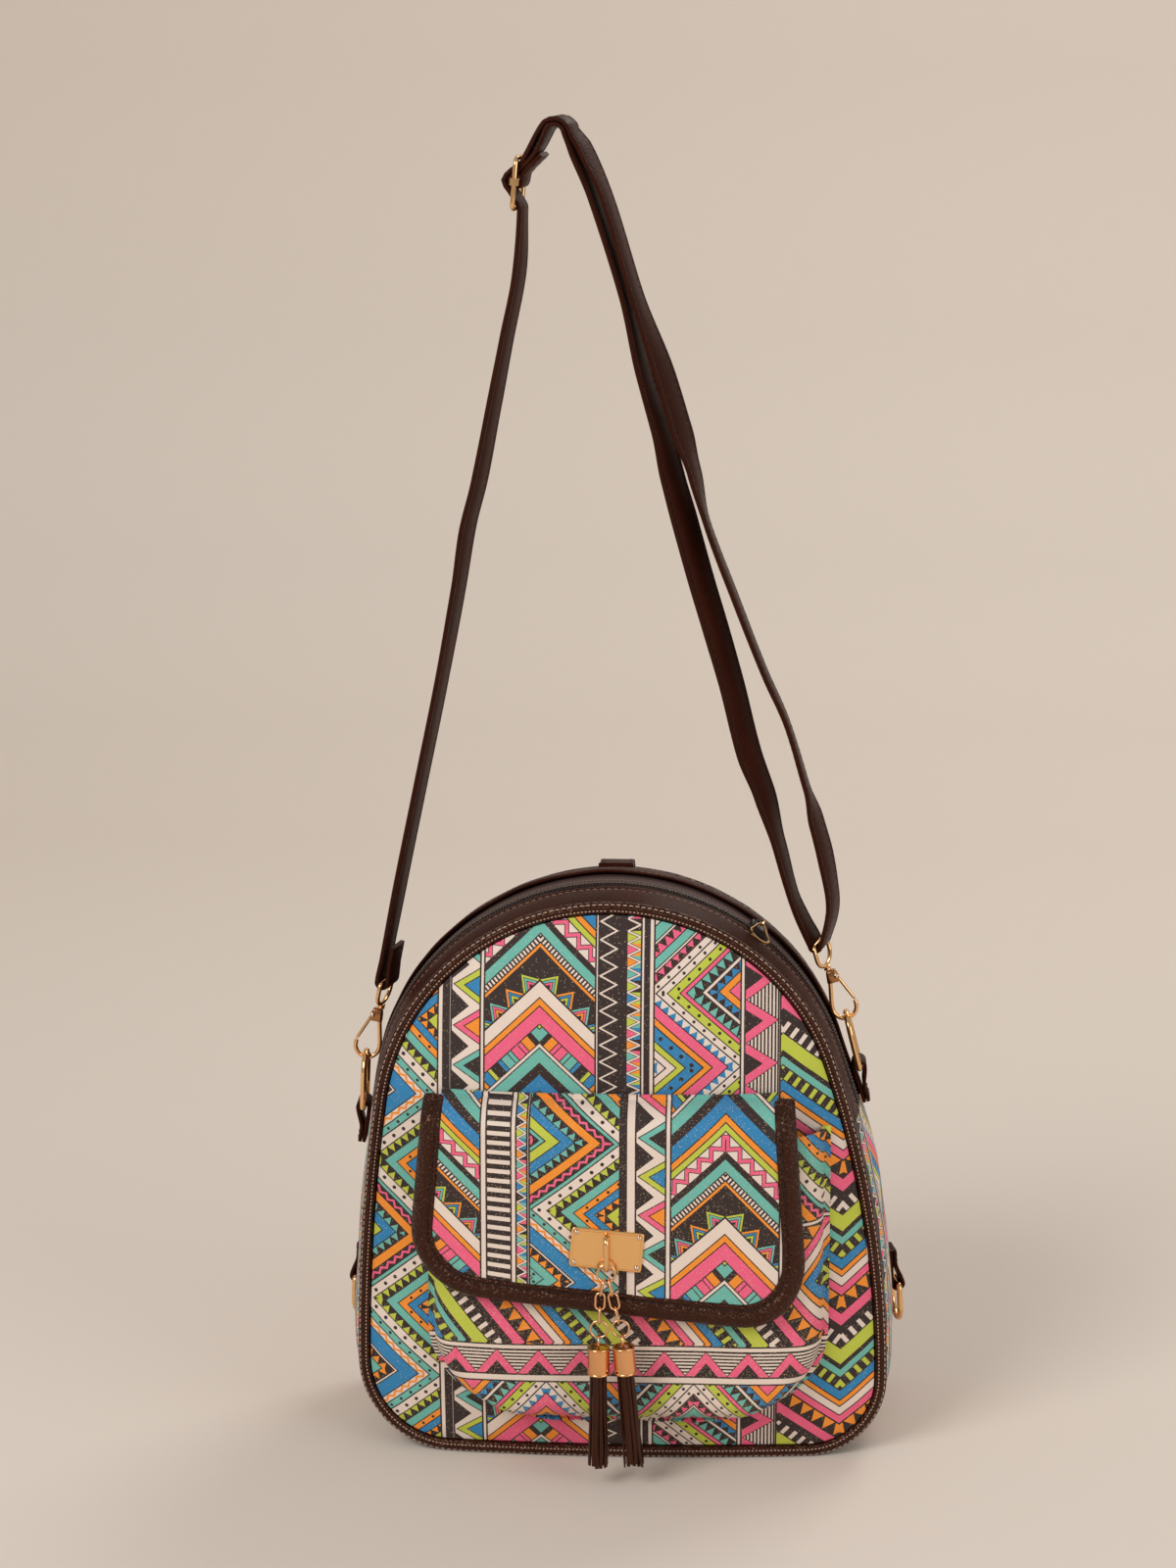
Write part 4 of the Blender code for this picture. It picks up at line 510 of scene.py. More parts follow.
class Graph:
    """A material and the nodes of its look"""

    def __init__(self, name, preview, metallic=0.0):
        self.material = bpy.data.materials.new(name)
        self.material.use_nodes = True
        self.material.diffuse_color = (*preview, 1.0)
        self.tree = self.material.node_tree
        self.shader = self.tree.nodes["Principled BSDF"]
        self.shader.inputs["Metallic"].default_value = metallic

    def node(self, kind, **settings):
        made = self.tree.nodes.new(kind)
        for key, value in settings.items():
            setattr(made, key, value)
        return made

    def feed(self, socket, value):
        if isinstance(value, Term):
            self.tree.links.new(value.socket, socket)
        elif isinstance(value, tuple):
            opaque = len(value) == 3 and len(socket.default_value) == 4
            socket.default_value = (*value, 1.0) if opaque else value
        else:
            socket.default_value = value

    def math(self, operation, *values):
        made = self.node("ShaderNodeMath", operation=operation)
        for socket, value in zip(made.inputs, values):
            self.feed(socket, value)
        return Term(self, made.outputs[0])

    def mix(self, share, first, second):
        made = self.node("ShaderNodeMix", data_type="RGBA")
        self.feed(made.inputs[0], share)
        self.feed(made.inputs[6], first)
        self.feed(made.inputs[7], second)
        return Term(self, made.outputs[2])

    def ramp(self, value, stops, interpolation="CONSTANT"):
        made = self.node("ShaderNodeValToRGB")
        ramp = made.color_ramp
        ramp.interpolation = interpolation
        ramp.elements[0].position = 0.0
        ramp.elements[1].position = 1.0
        for position, colour in stops[1:-1]:
            ramp.elements.new(min(max(position, 0.0), 1.0))
        for element, (position, colour) in zip(ramp.elements, stops):
            element.position = min(max(position, 0.0), 1.0)
            element.color = (*colour, 1.0) if isinstance(colour, tuple) else (colour, colour, colour, 1.0)
        self.feed(made.inputs[0], value)
        return Term(self, made.outputs[0])

    def attribute(self, name):
        """The three numbers of a vector that is kept on the mesh"""
        source = self.node("ShaderNodeAttribute", attribute_name=name)
        split = self.node("ShaderNodeSeparateXYZ")
        self.tree.links.new(source.outputs["Vector"], split.inputs[0])
        sockets = (split.outputs[0], split.outputs[1], source.outputs["Vector"])
        return [Term(self, socket) for socket in sockets]

    def place(self):
        return Term(self, self.node("ShaderNodeTexCoord").outputs["Object"])

    def noise(self, place, scale, detail=3.0, roughness=0.55):
        made = self.node("ShaderNodeTexNoise")
        self.feed(made.inputs["Vector"], place)
        made.inputs["Scale"].default_value = scale
        made.inputs["Detail"].default_value = detail
        made.inputs["Roughness"].default_value = roughness
        return Term(self, made.outputs["Fac"])

    def cells(self, place, scale, feature="F1", output="Distance"):
        made = self.node("ShaderNodeTexVoronoi", feature=feature)
        self.feed(made.inputs["Vector"], place)
        made.inputs["Scale"].default_value = scale
        return Term(self, made.outputs[output])

    def split(self, colour):
        made = self.node("ShaderNodeSeparateColor")
        self.feed(made.inputs[0], colour)
        return [Term(self, made.outputs[i]) for i in range(3)]

    def bump(self, height, distance, strength=1.0, before=None):
        made = self.node("ShaderNodeBump")
        made.inputs["Strength"].default_value = strength
        made.inputs["Distance"].default_value = distance
        self.feed(made.inputs["Height"], height)
        if before is not None:
            self.feed(made.inputs["Normal"], before)
        return Term(self, made.outputs[0])

    def finish(self, colour=None, roughness=None, normal=None):
        for name, value in (("Base Color", colour), ("Roughness", roughness), ("Normal", normal)):
            if value is not None:
                self.feed(self.shader.inputs[name], value)
        return self.material


def linear(red, green, blue):
    """Colour as it is seen, 0 to 1, as the light that it stands for"""
    made = []
    for part in (red, green, blue):
        made.append(part / 12.92 if part <= 0.04045 else ((part + 0.055) / 1.055) ** 2.4)
    return tuple(made)


CREAM = linear(0.92, 0.84, 0.78)
INK = linear(0.19, 0.125, 0.11)
PINK = linear(0.95, 0.38, 0.52)
TEAL = linear(0.43, 0.72, 0.66)
BLUE = linear(0.17, 0.51, 0.71)
ORANGE = linear(0.97, 0.57, 0.15)
LIME = linear(0.76, 0.79, 0.26)

# Dark outline of a stripe, the number that stands for each filling, and sizes of fillings, in millimetres
OUTLINE = 0.85
KINDS = {"plain": 0.0, "dots": 0.125, "rungs": 0.25, "hatch": 0.375, "teeth": 0.5, "wave": 0.625,
         "blocks": 0.75, "pennants": 0.875, "ribbon": 1.0}
NEAR_KIND = 0.05
DEEPEST = 20.0
DOT_PITCH = 6.6
RUNG_PITCH = 5.2
HATCH_PITCH = 1.9
BLOCK_PITCH = 6.6
BLOCK_SPLIT = 0.38
PICKED = (LIME, TEAL, INK, ORANGE, BLUE, PINK)
BRIGHT = (LIME, BLUE, ORANGE, PINK, TEAL)
PENNANT_START = 19.3
PENNANT_WIDTH = 10.4
PENNANT_HEIGHT = 7.6


def picked_colour(graph, index, step, colours=PICKED):
    stops = [(i / len(colours), colour) for i, colour in enumerate(colours)]
    return graph.ramp((index * step).fraction(), stops + [(1.0, colours[-1])])


def stripes_of(graph, across, along, stripes, lean=0.7, teeth=4.6):
    """Colour of outlined stripes that repeat across, each plain or filled along its length"""
    total = sum(stripe[1] for stripe in stripes)
    where = (across / total).fraction()
    base, second, facts, depths = [], [], [], []
    start = 0.0
    for kind, width, colour, *other in stripes:
        begin = (start + OUTLINE) / total
        base += [(start / total, INK), (begin, colour)]
        second += [(start / total, INK), (begin, other[0] if other else colour)]
        facts.append((start / total, (KINDS[kind], width / DEEPEST, 0.0)))
        if kind != "plain":
            if depths and start / total - depths[-1][0] > 0.002:
                depths.append((start / total - 0.0005, 0.0))
            depths += [(start / total + 0.0005, 0.0), ((start + width) / total - 0.001, width / DEEPEST)]
        start += width
    colour = graph.ramp(where, base)
    if not depths:
        return colour
    kind, size, spare = graph.split(graph.ramp(where, facts))
    size = size * DEEPEST * lean
    depth = graph.ramp(where, [(0.0, 0.0)] + depths + [(1.0, 0.0)], "LINEAR") * DEEPEST * lean
    used = {stripe[0] for stripe in stripes}

    def of(name):
        return abs(kind - KINDS[name]) < NEAR_KIND

    amount = 0.0
    if "dots" in used:
        x = ((along / DOT_PITCH).fraction() - 0.5) * DOT_PITCH
        y = depth - size * 0.5 - OUTLINE * 0.5
        reach = size * 0.13 + 0.33
        amount = amount + of("dots") * ((x * x + y * y) < reach * reach)
    if "rungs" in used:
        amount = amount + of("rungs") * ((along / RUNG_PITCH).fraction() < 0.4)
    if "hatch" in used:
        amount = amount + of("hatch") * ((along / HATCH_PITCH).fraction() < 0.5)
    if "teeth" in used:
        amount = amount + of("teeth") * (depth / size < 1.0 - along.wave(teeth / 2))
    if "wave" in used:
        line = abs(depth - size * 0.55 - (along.wave(2.5) - 0.5) * size * 0.46) < 0.7
        amount = amount + of("wave") * line
    filling = graph.ramp(where, second)
    colour = graph.mix(amount, colour, filling)
    inside = depth > OUTLINE * lean
    if "ribbon" in used:
        off = abs(depth - size * 0.54 - (along.wave(4.0) - 0.5) * size * 0.62)
        pick = graph.mix(off < 1.15, INK, filling)
        colour = graph.mix(of("ribbon") * inside * (off < 1.75), colour, pick)
    if "blocks" in used:
        turn = (along / BLOCK_PITCH).whole()
        share = (along / BLOCK_PITCH).fraction()
        narrow, wide = picked_colour(graph, turn, 0.41), picked_colour(graph, turn + 3.0, 0.29)
        pick = graph.mix(share > BLOCK_SPLIT, narrow, wide)
        pick = graph.mix((share < 0.08) + (abs(share - BLOCK_SPLIT) < 0.04), pick, INK)
        colour = graph.mix(of("blocks") * inside, colour, pick)
    if "pennants" in used:
        phase = along - PENNANT_START
        index = (phase / PENNANT_WIDTH).whole()
        nest = phase.wave(PENNANT_WIDTH / 2) - (size - depth) / PENNANT_HEIGHT
        pick = INK
        for ring in range(3):
            shade = picked_colour(graph, index + 2.0 * ring, 0.41, BRIGHT)
            pick = graph.mix(nest > 0.03 + 0.28 * ring, pick, shade)
            pick = graph.mix(nest > 0.23 + 0.28 * ring, pick, INK)
        pick = graph.mix(phase > 0.0, INK, pick)
        colour = graph.mix(of("pennants") * inside, colour, pick)
    return colour


# Each band of the print: colour by the distance from its left edge and the height, in millimetres


UPPER_FRONT = (("dots", 5.4, CREAM, INK), ("dots", 6.0, LIME, INK), ("plain", 3.2, PINK),
               ("teeth", 7.6, INK, TEAL), ("plain", 2.6, CREAM), ("teeth", 5.4, BLUE, INK),
               ("plain", 5.0, ORANGE), ("plain", 7.0, PINK))
UPPER_BACK = (("plain", 5.0, CREAM), ("plain", 4.5, LIME), ("dots", 8.5, BLUE, INK), ("plain", 4.5, ORANGE),
              ("plain", 7.5, PINK), ("teeth", 6.0, CREAM, BLUE))
UPPER_OTHER = (("plain", 8.0, TEAL), ("plain", 1.9, CREAM), ("teeth", 6.6, PINK, INK), ("plain", 6.0, TEAL),
               ("plain", 1.9, CREAM), ("teeth", 5.5, INK, PINK), ("dots", 5.4, CREAM, INK))
CELL_FRONT = (("dots", 7.4, CREAM, INK), ("teeth", 6.4, INK, LIME), ("plain", 6.4, TEAL),
              ("dots", 5.0, ORANGE, INK), ("plain", 5.4, BLUE), ("teeth", 5.4, INK, ORANGE),
              ("plain", 6.0, LIME))
CELL_BACK = (("plain", 7.0, TEAL), ("teeth", 6.4, INK, ORANGE), ("plain", 1.9, CREAM), ("plain", 10.4, BLUE),
             ("wave", 5.6, CREAM, ORANGE), ("dots", 5.4, TEAL, INK))
CELL_OTHER = (("plain", 7.0, LIME), ("plain", 7.0, BLUE), ("teeth", 6.4, INK, TEAL), ("plain", 6.4, ORANGE),
              ("wave", 6.0, INK, PINK), ("plain", 3.0, TEAL))
PEAKS = (("plain", 6.6, TEAL), ("hatch", 4.0, CREAM, INK), ("plain", 2.2, ORANGE), ("pennants", 15.0, INK),
         ("plain", 8.0, CREAM), ("plain", 4.0, ORANGE), ("plain", 9.0, PINK), ("blocks", 9.0, INK),
         ("plain", 2.4, CREAM), ("plain", 7.5, TEAL), ("plain", 5.0, INK), ("plain", 8.5, BLUE),
         ("plain", 4.0, ORANGE), ("plain", 4.0, LIME), ("ribbon", 9.5, CREAM, PINK), ("plain", 3.0, INK))
SLOPES = (("teeth", 9.0, INK, ORANGE), ("plain", 6.5, PINK), ("plain", 4.0, INK), ("rungs", 7.5, INK, CREAM),
          ("plain", 8.5, LIME), ("plain", 2.2, INK), ("plain", 4.5, TEAL), ("rungs", 7.0, INK, LIME),
          ("plain", 5.5, BLUE), ("plain", 3.5, ORANGE), ("plain", 5.0, CREAM), ("plain", 5.0, PINK))

PEAKS_WIDTH = sum(stripe[1] for stripe in PEAKS)


def zigzag_band(graph, s, v, width, apex, sets=(UPPER_FRONT, UPPER_BACK, UPPER_OTHER), half=36.0):
    """Wave that points left at the apex height, with nested stripes on both its sides"""
    rise = (v - apex).wave(half)
    across = s - rise * width
    lean = half / math.hypot(half, width)
    along = rise * (half / lean) + across * (width / math.hypot(half, width))
    front = stripes_of(graph, across, along, sets[0], lean)
    back = stripes_of(graph, across, along, sets[1], lean)
    other = stripes_of(graph, across, along, sets[2], lean)
    turn = ((v - apex) / (4 * half)).fraction() < 0.5
    behind = graph.mix(turn, back, other)
    return graph.mix(across < 0.0, front, behind)


def cell_band(graph, s, v, width, apex):
    return zigzag_band(graph, s, v, width, apex, (CELL_FRONT, CELL_BACK, CELL_OTHER))


def peak_band(graph, s, v, width, apex, slope=0.94):
    """Nested peaks that point up"""
    side = abs(s - width / 2)
    lean = 1 / math.hypot(1, slope)
    across = apex - v - side * slope
    depth = across - (across / PEAKS_WIDTH).whole() * PEAKS_WIDTH
    along = side / lean + depth * (slope * lean)
    return stripes_of(graph, across, along, PEAKS, lean, teeth=7.0)


def slope_band(graph, s, v, width, apex, slope=0.8):
    """Stripes that fall to the right and rise again"""
    side = (s - 1.0).wave(30.0) * 30.0
    lean = 1 / math.hypot(1, slope)
    across = apex - v - side * slope
    return stripes_of(graph, across, side / lean + across * (slope * lean), SLOPES, lean, teeth=7.0)


def rung_band(graph, s, v, width, apex):
    return graph.mix(((v - apex) / 5.0).fraction() < 0.55, CREAM, INK)


def spike_band(graph, s, v, width, apex):
    """Thin white zigzag line on black"""
    edge = s / width - 0.03 - 0.66 * (v - apex).wave(4.12)
    return graph.mix(abs(edge) < 0.065, INK, CREAM)


def bead_band(graph, s, v, width, apex):
    """Small coloured triangles, base to base, outlined in white"""
    edge = s / width - (v - apex).wave(2.8)
    index = ((v - apex) / 5.6).whole()
    left = picked_colour(graph, index, 0.29)
    right = picked_colour(graph, index + 1.0, 0.41)
    colour = graph.mix(edge < 0.0, right, left)
    colour = graph.mix(abs(edge) < 0.26, colour, INK)
    return graph.mix(abs(edge) < 0.15, colour, CREAM)


def ladder_band(graph, s, v, width, apex):
    """Black triangles from the left and nested coloured ones from the right, on cream"""
    wave = (v - apex).wave(9.5)
    left = s / (width * 0.62) + wave * 1.35
    right = (width - s) / (width * 0.98) + (1.0 - wave) * 1.12
    index = ((v - apex) / 19.0).whole()
    pick = ((index + 1.1) / 3.0).fraction()
    outer = graph.ramp(pick, [(0.0, TEAL), (0.3, PINK), (0.6, LIME), (1.0, LIME)])
    inner = graph.ramp(pick, [(0.0, INK), (0.3, ORANGE), (0.6, BLUE), (1.0, BLUE)])
    colour = graph.mix(right < 1.0, CREAM, INK)
    colour = graph.mix(right < 0.93, colour, outer)
    colour = graph.mix(right < 0.6, colour, INK)
    colour = graph.mix(right < 0.53, colour, inner)
    return graph.mix(left < 1.0, colour, INK)


def tooth_band(graph, s, v, width, apex):
    """Pink teeth with black hearts on fine upright lines"""
    wave = (v - apex).wave(10.2)
    edge = s / width + wave
    lines = graph.mix((s / 1.75).fraction() < 0.5, CREAM, INK)
    colour = graph.mix(edge < 1.05, lines, INK)
    colour = graph.mix(edge < 1.0, colour, PINK)
    return graph.mix(edge < 0.55, colour, INK)


# Glitter cells in a millimetre
GLITTER = 2.1

BANDS = {"zigzag": zigzag_band, "cells": cell_band, "peaks": peak_band, "slopes": slope_band,
         "rungs": rung_band, "spikes": spike_band, "beads": bead_band, "ladder": ladder_band,
         "teeth": tooth_band}

# Order of the bands across the cloth: start, end, kind and the height of a tip
FRONT_LAYOUT = ((-131.0, -89.9, "cells", 222.0), (-82.5, -69.0, "ladder", 211.8),
                (-66.2, -13.1, "peaks", 273.3), (-10.9, 1.1, "spikes", 239.3), (2.5, 8.8, "beads", 240.0),
                (15.9, 56.8, "zigzag", 239.6), (59.6, 75.0, "teeth", 224.9), (76.8, 136.0, "slopes", 246.0))
FRONT_LINES = ((-89.9, -87.3, CREAM), (-87.3, -83.5, INK), (10.5, 13.5, INK))
FLAP_LAYOUT = ((-118.0, -67.4, "peaks", 169.2), (-63.6, -52.6, "rungs", 196.0),
               (-49.3, -44.8, "beads", 190.0), (-42.9, -0.3, "cells", 136.7), (8.1, 21.6, "ladder", 186.0),
               (24.9, 76.3, "peaks", 169.2), (79.0, 92.0, "rungs", 190.0))
FLAP_LINES = ((-0.3, 3.6, INK),)
POCKET_LAYOUT = ((6.0, 47.0, "zigzag", 0.0), (51.5, 64.0, "teeth", -60.0), (67.5, 127.0, "slopes", 100.0),
                 (130.0, 175.0, "cells", 30.0))


def printed_cloth(name, layout, lines, sparkle, period=None):
    """Woven cloth with bands of print between thin outlined lines"""
    graph = Graph(name, (0.55, 0.36, 0.38))
    u, v, place = graph.attribute("cloth")
    if period:
        u = ((u - period[0]) / (period[1] - period[0])).fraction() * (period[1] - period[0]) + period[0]
    colour = CREAM
    for start, end, shade in lines:
        colour = graph.mix((u > start) * (u < end), colour, shade)
    for start, end, kind, apex in layout:
        colour = graph.mix((u > start - OUTLINE) * (u < end + OUTLINE), colour, INK)
        band = BANDS[kind](graph, u - start, v, end - start, apex)
        colour = graph.mix((u > start) * (u < end), colour, band)
    return finish_cloth(graph, colour, u, v, place, sparkle)


def finish_cloth(graph, colour, u, v, place, sparkle):
    """Weave, worn patches and glitter over the print"""
    worn = graph.noise(place, 0.07, 4.0)
    fibre = graph.noise(place, 1.6, 4.0, 0.7)
    shade = graph.mix((fibre * 0.5 + worn * 0.6 - 0.35) * 0.34, colour, graph.mix(0.55, colour, INK))
    weave = (u * 2.0).wave(0.5) * 0.5 + (v * 2.0).wave(0.5) * 0.5
    red, green, blue = graph.split(graph.cells(place, GLITTER, output="Color"))
    specks = (red > 1.0 - sparkle) * (graph.cells(place, GLITTER) < 0.3)
    shade = graph.mix(specks * 0.8, shade, linear(0.98, 0.87, 0.66))
    height = weave * 0.5 + fibre * 0.5
    normal = graph.bump(height, 0.00014, 0.7)
    roughness = 0.78 - specks * 0.5 + fibre * 0.08 - 0.04
    graph.shader.inputs["Sheen Weight"].default_value = 0.08
    return graph.finish(shade, roughness, normal)


def leather(name, colour, grain, gloss, depth, shine):
    """Pebbled faux leather with painted shade in its creases; grain is in millimetres and depth in metres"""
    graph = Graph(name, colour)
    place = graph.place()
    cells = graph.cells(place, 1000 / grain, feature="SMOOTH_F1")
    fine = graph.noise(place, 1500.0, 4.0)
    broad = graph.noise(place, 45.0, 3.0)
    crease = graph.math("SMOOTH_MIN", cells * 1.6, 0.9, 0.2)
    tone = graph.mix(broad * 0.8, BROWN_DEEP, colour)
    # Darker in the grain's creases, where the bump is lowest: painted shade
    tone = graph.mix(crease * 0.5, tone, BROWN_DEEP)
    roughness = gloss + fine * 0.22 + broad * 0.16 - 0.16
    normal = graph.bump(1.0 - crease, depth, 1.0)
    normal = graph.bump(fine, 0.00005, 0.8, normal)
    graph.shader.inputs["Specular IOR Level"].default_value = shine
    graph.shader.inputs["Specular Tint"].default_value = (0.95, 0.58, 0.40, 1.0)
    return graph.finish(tone, roughness, normal)


def woven_tape(name, colour):
    graph = Graph(name, colour)
    u, v, place = graph.attribute("cloth")
    rib = v.wave(0.42)
    slant = (u * 0.8 + v * 0.8).wave(0.5)
    fibre = graph.noise(place, 3.0, 3.0)
    # Lighter on the crests of the ribs, where the bump stands highest: painted highlight; the fibre noise
    # varies it at random
    tone = graph.mix(rib * 0.5 + fibre * 0.3, colour, tuple(part * 2.4 for part in colour))
    normal = graph.bump(rib * 0.6 + slant * 0.4, 0.00016, 0.8)
    return graph.finish(tone, 0.8 + fibre * 0.1, normal)


def polished_metal(name, colour, roughness):
    """Plated metal with soft haze and faint scratches"""
    graph = Graph(name, colour, metallic=1.0)
    place = graph.place()
    haze = graph.noise(place, 70.0, 2.0)
    scratch = graph.noise(place, 1900.0, 2.0)
    tone = graph.mix(haze * 0.2, colour, tuple(part * 0.8 for part in colour))
    return graph.finish(tone, roughness + haze * 0.08 + scratch * 0.03 - 0.05)


def thread(name, colour):
    graph = Graph(name, colour)
    place = graph.place()
    twist = graph.noise(place, 2500.0, 2.0)
    tone = graph.mix(twist * 0.6, colour, tuple(part * 0.55 for part in colour))
    return graph.finish(tone, 0.7, graph.bump(twist, 0.00004, 0.7))


def moulded(name, colour, roughness):
    graph = Graph(name, colour)
    place = graph.place()
    grit = graph.noise(place, 900.0, 3.0)
    tone = graph.mix(grit * 0.4, colour, tuple(part * 1.9 for part in colour))
    return graph.finish(tone, roughness + grit * 0.12, graph.bump(grit, 0.00002, 0.5))


BROWN = linear(0.29, 0.11, 0.055)
BROWN_DEEP = linear(0.15, 0.055, 0.03)
FRONT_CLOTH = printed_cloth("canvas_front", FRONT_LAYOUT, FRONT_LINES, 0.08, (-131.0, 136.0))
FLAP_CLOTH = printed_cloth("canvas_flap", FLAP_LAYOUT, FLAP_LINES, 0.16)
POCKET_CLOTH = printed_cloth("canvas_pocket", POCKET_LAYOUT, (), 0.34)
LEATHER = leather("leather_smooth", BROWN, 0.9, 0.40, 0.00016, 0.10)
PEBBLE = leather("leather_pebbled", linear(0.22, 0.095, 0.06), 1.5, 0.22, 0.00060, 0.42)
STRAP_LEATHER = leather("leather_strap", linear(0.27, 0.11, 0.06), 0.9, 0.40, 0.00016, 0.12)
LINING = leather("leather_lining", linear(0.31, 0.14, 0.08), 0.6, 0.45, 0.00008, 0.08)
SUEDE = leather("leather_fringe", linear(0.25, 0.11, 0.075), 0.7, 0.30, 0.00012, 0.45)
TAPE = woven_tape("zip_tape", linear(0.23, 0.15, 0.13))
# Dark coil whose colour is lifted above its real black: partly painted glints
COIL = moulded("zip_coil", linear(0.25, 0.19, 0.17), 0.20)
ENAMEL = moulded("black_enamel", linear(0.11, 0.09, 0.085), 0.28)
GOLD = polished_metal("gold_metal", linear(0.95, 0.75, 0.52), 0.10)
# Darker copy of the gold for the hook's block: painted dark reflection
GOLD_PAINTED_DARK = polished_metal("gold_painted_dark", linear(0.66, 0.46, 0.30), 0.16)
BRUSHED = polished_metal("gold_plate", linear(0.98, 0.77, 0.51), 0.22)
ROSE = polished_metal("rose_metal", linear(0.93, 0.72, 0.54), 0.10)
COPPER = polished_metal("copper_metal", linear(0.95, 0.70, 0.48), 0.16)
SILVER = polished_metal("silver_metal", linear(0.90, 0.79, 0.70), 0.15)
# Pale stitch thread; on the piping its paleness also paints the row of glints along the bead
PALE_THREAD_GLINT = thread("pale_thread_glint", linear(0.82, 0.68, 0.60))
SEAM_THREAD = thread("seam_thread", linear(0.58, 0.43, 0.36))
DARK_THREAD = thread("dark_thread", linear(0.15, 0.075, 0.055))
# Thread of the stitches over the coil; its pale colour paints the glints on the coil's side
COIL_THREAD_GLINT = thread("coil_thread_glint", linear(0.50, 0.42, 0.38))


# Meshes


def piece(name, mesh, look, body="bag", replaces=()):
    made = bpy.data.objects.new(name, mesh)
    bpy.context.scene.collection.objects.link(made)
    mesh.materials.clear()
    mesh.materials.append(look)
    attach(made, body)
    for node in replaces:
        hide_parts(node)
    return made


def metal(name, mesh, look, body, *nodes):
    """Piece of metal that stands for the nodes"""
    return piece(name, mesh, look, body, nodes)


def printed(name, mesh, look, node):
    """Piece of printed cloth that stands for the node"""
    return piece(name, mesh, look, replaces=(node,))


def keep_cloth(mesh, values):
    layer = mesh.attributes.new("cloth", "FLOAT_VECTOR", "POINT")
    flat = []
    for value in values:
        flat += [value[0], value[1], 0.0]
    layer.data.foreach_set("vector", flat)


def forwards(point):
    return Vector((0, -1, 0))


def backwards(point):
    return Vector((0, 1, 0))


def from_middle(point):
    return Vector((point.x, 0, point.z)) - PANEL_CENTRE


def slab(name, rows, thickness, facing, pole=None):
    """Closed sheet of cloth through rows of points, each with its place on the print; a pole closes rings"""
    around = pole is not None
    points = [point for row in rows for point, mark in row]
    marks = [mark for row in rows for point, mark in row]
    width = len(rows[0])
    faces = []
    for r in range(len(rows) - 1):
        for i in range(width if around else width - 1):
            j = (i + 1) % width
            faces.append((r * width + i, r * width + j, (r + 1) * width + j, (r + 1) * width + i))
    if around:
        points.append(pole[0])
        marks.append(pole[1])
        last = (len(rows) - 1) * width
        for i in range(width):
            faces.append((last + i, last + (i + 1) % width, len(points) - 1))
    mesh = bpy.data.meshes.new(name)
    mesh.from_pydata(points, [], faces)
    mesh.update()
    probe = max(mesh.polygons, key=lambda face: face.area)
    if probe.normal.dot(facing(probe.center)) < 0:
        mesh.flip_normals()
        mesh.update()
    normals = [normal.vector.copy() for normal in mesh.vertex_normals]
    count = len(points)
    points += [point - normal * thickness for point, normal in zip(points, normals)]
    outer = [tuple(face.vertices) for face in mesh.polygons]
    inner = [tuple(count + i for i in reversed(face)) for face in outer]
    used = {}
    for face in outer:
        for a, b in zip(face, face[1:] + face[:1]):
            used[(a, b)] = True
    rim = [(b, a, a + count, b + count) for a, b in used if (b, a) not in used]
    bpy.data.meshes.remove(mesh)
    mesh = bpy.data.meshes.new(name)
    mesh.from_pydata(points, [], outer + inner + rim)
    keep_cloth(mesh, marks + marks)
    mesh.shade_smooth()
    mesh.set_sharp_from_angle(angle=math.radians(50))
    return mesh


def skin(bm, sections, around=False):
    """Closed skin through like sections, joined to a ring or capped"""
    rings = [[bm.verts.new(point) for point in section] for section in sections]
    for low, high in zip(rings, rings[1:] + rings[:1] if around else rings[1:]):
        for k in range(len(low)):
            n = (k + 1) % len(low)
            bm.faces.new((low[k], low[n], high[n], high[k]))
    if not around:
        bm.faces.new(rings[0])
        bm.faces.new(rings[-1][::-1])


def loft(name, sections, around=False, sharp=50):
    """Solid through like sections, closed on itself or capped"""
    bm = bmesh.new()
    skin(bm, sections, around)
    return close_mesh(bm, name, sharp)


def close_mesh(bm, name, sharp=50):
    bm.normal_update()
    bmesh.ops.recalc_face_normals(bm, faces=bm.faces)
    mesh = bpy.data.meshes.new(name)
    bm.to_mesh(mesh)
    bm.free()
    mesh.shade_smooth()
    mesh.set_sharp_from_angle(angle=math.radians(sharp))
    return mesh


def along_frames(points, cyclic=False, side=None):
    """Direction, side and top at each point of a path"""
    frames = []
    last = len(points) - 1
    top = None
    for i, point in enumerate(points):
        before = points[i - 1] if i or cyclic else points[0]
        after = points[(i + 1) % len(points)] if i < last or cyclic else points[last]
        way = (after - before).normalized()
        if side is not None:
            across = side[i] if isinstance(side, list) else side
            across = (across - way * across.dot(way)).normalized()
        else:
            if top is None:
                top = way.orthogonal().normalized()
            across = top.cross(way).normalized()
        top = way.cross(across).normalized()
        frames.append((way, across, top))
    return frames


def wire(name, points, radius, cyclic=False, sides=10, side=None):
    """Round wire along the points, of one radius or one at each point"""
    radii = radius if isinstance(radius, list) else [radius] * len(points)
    frames = along_frames(points, cyclic, side)
    sections = [circle(point, f[1], f[2], thick, sides) for point, thick, f in zip(points, radii, frames)]
    return loft(name, sections, around=cyclic, sharp=60)


def ruffle(point, size, seed=0.0):
    """Soft unevenness, -1 to 1"""
    place = point / size + Vector((seed, 0.7 * seed, 0.3 * seed))
    return max(-1.0, min(1.0, 1.7 * noise.noise(place)))


# A stitch along its length: place, height of its middle and thickness, by its length and radius
STITCH = ((0.0, -0.5, 0.5), (0.12, 0.25, 0.9), (0.5, 0.6, 1.0), (0.88, 0.25, 0.9), (1.0, -0.5, 0.5))


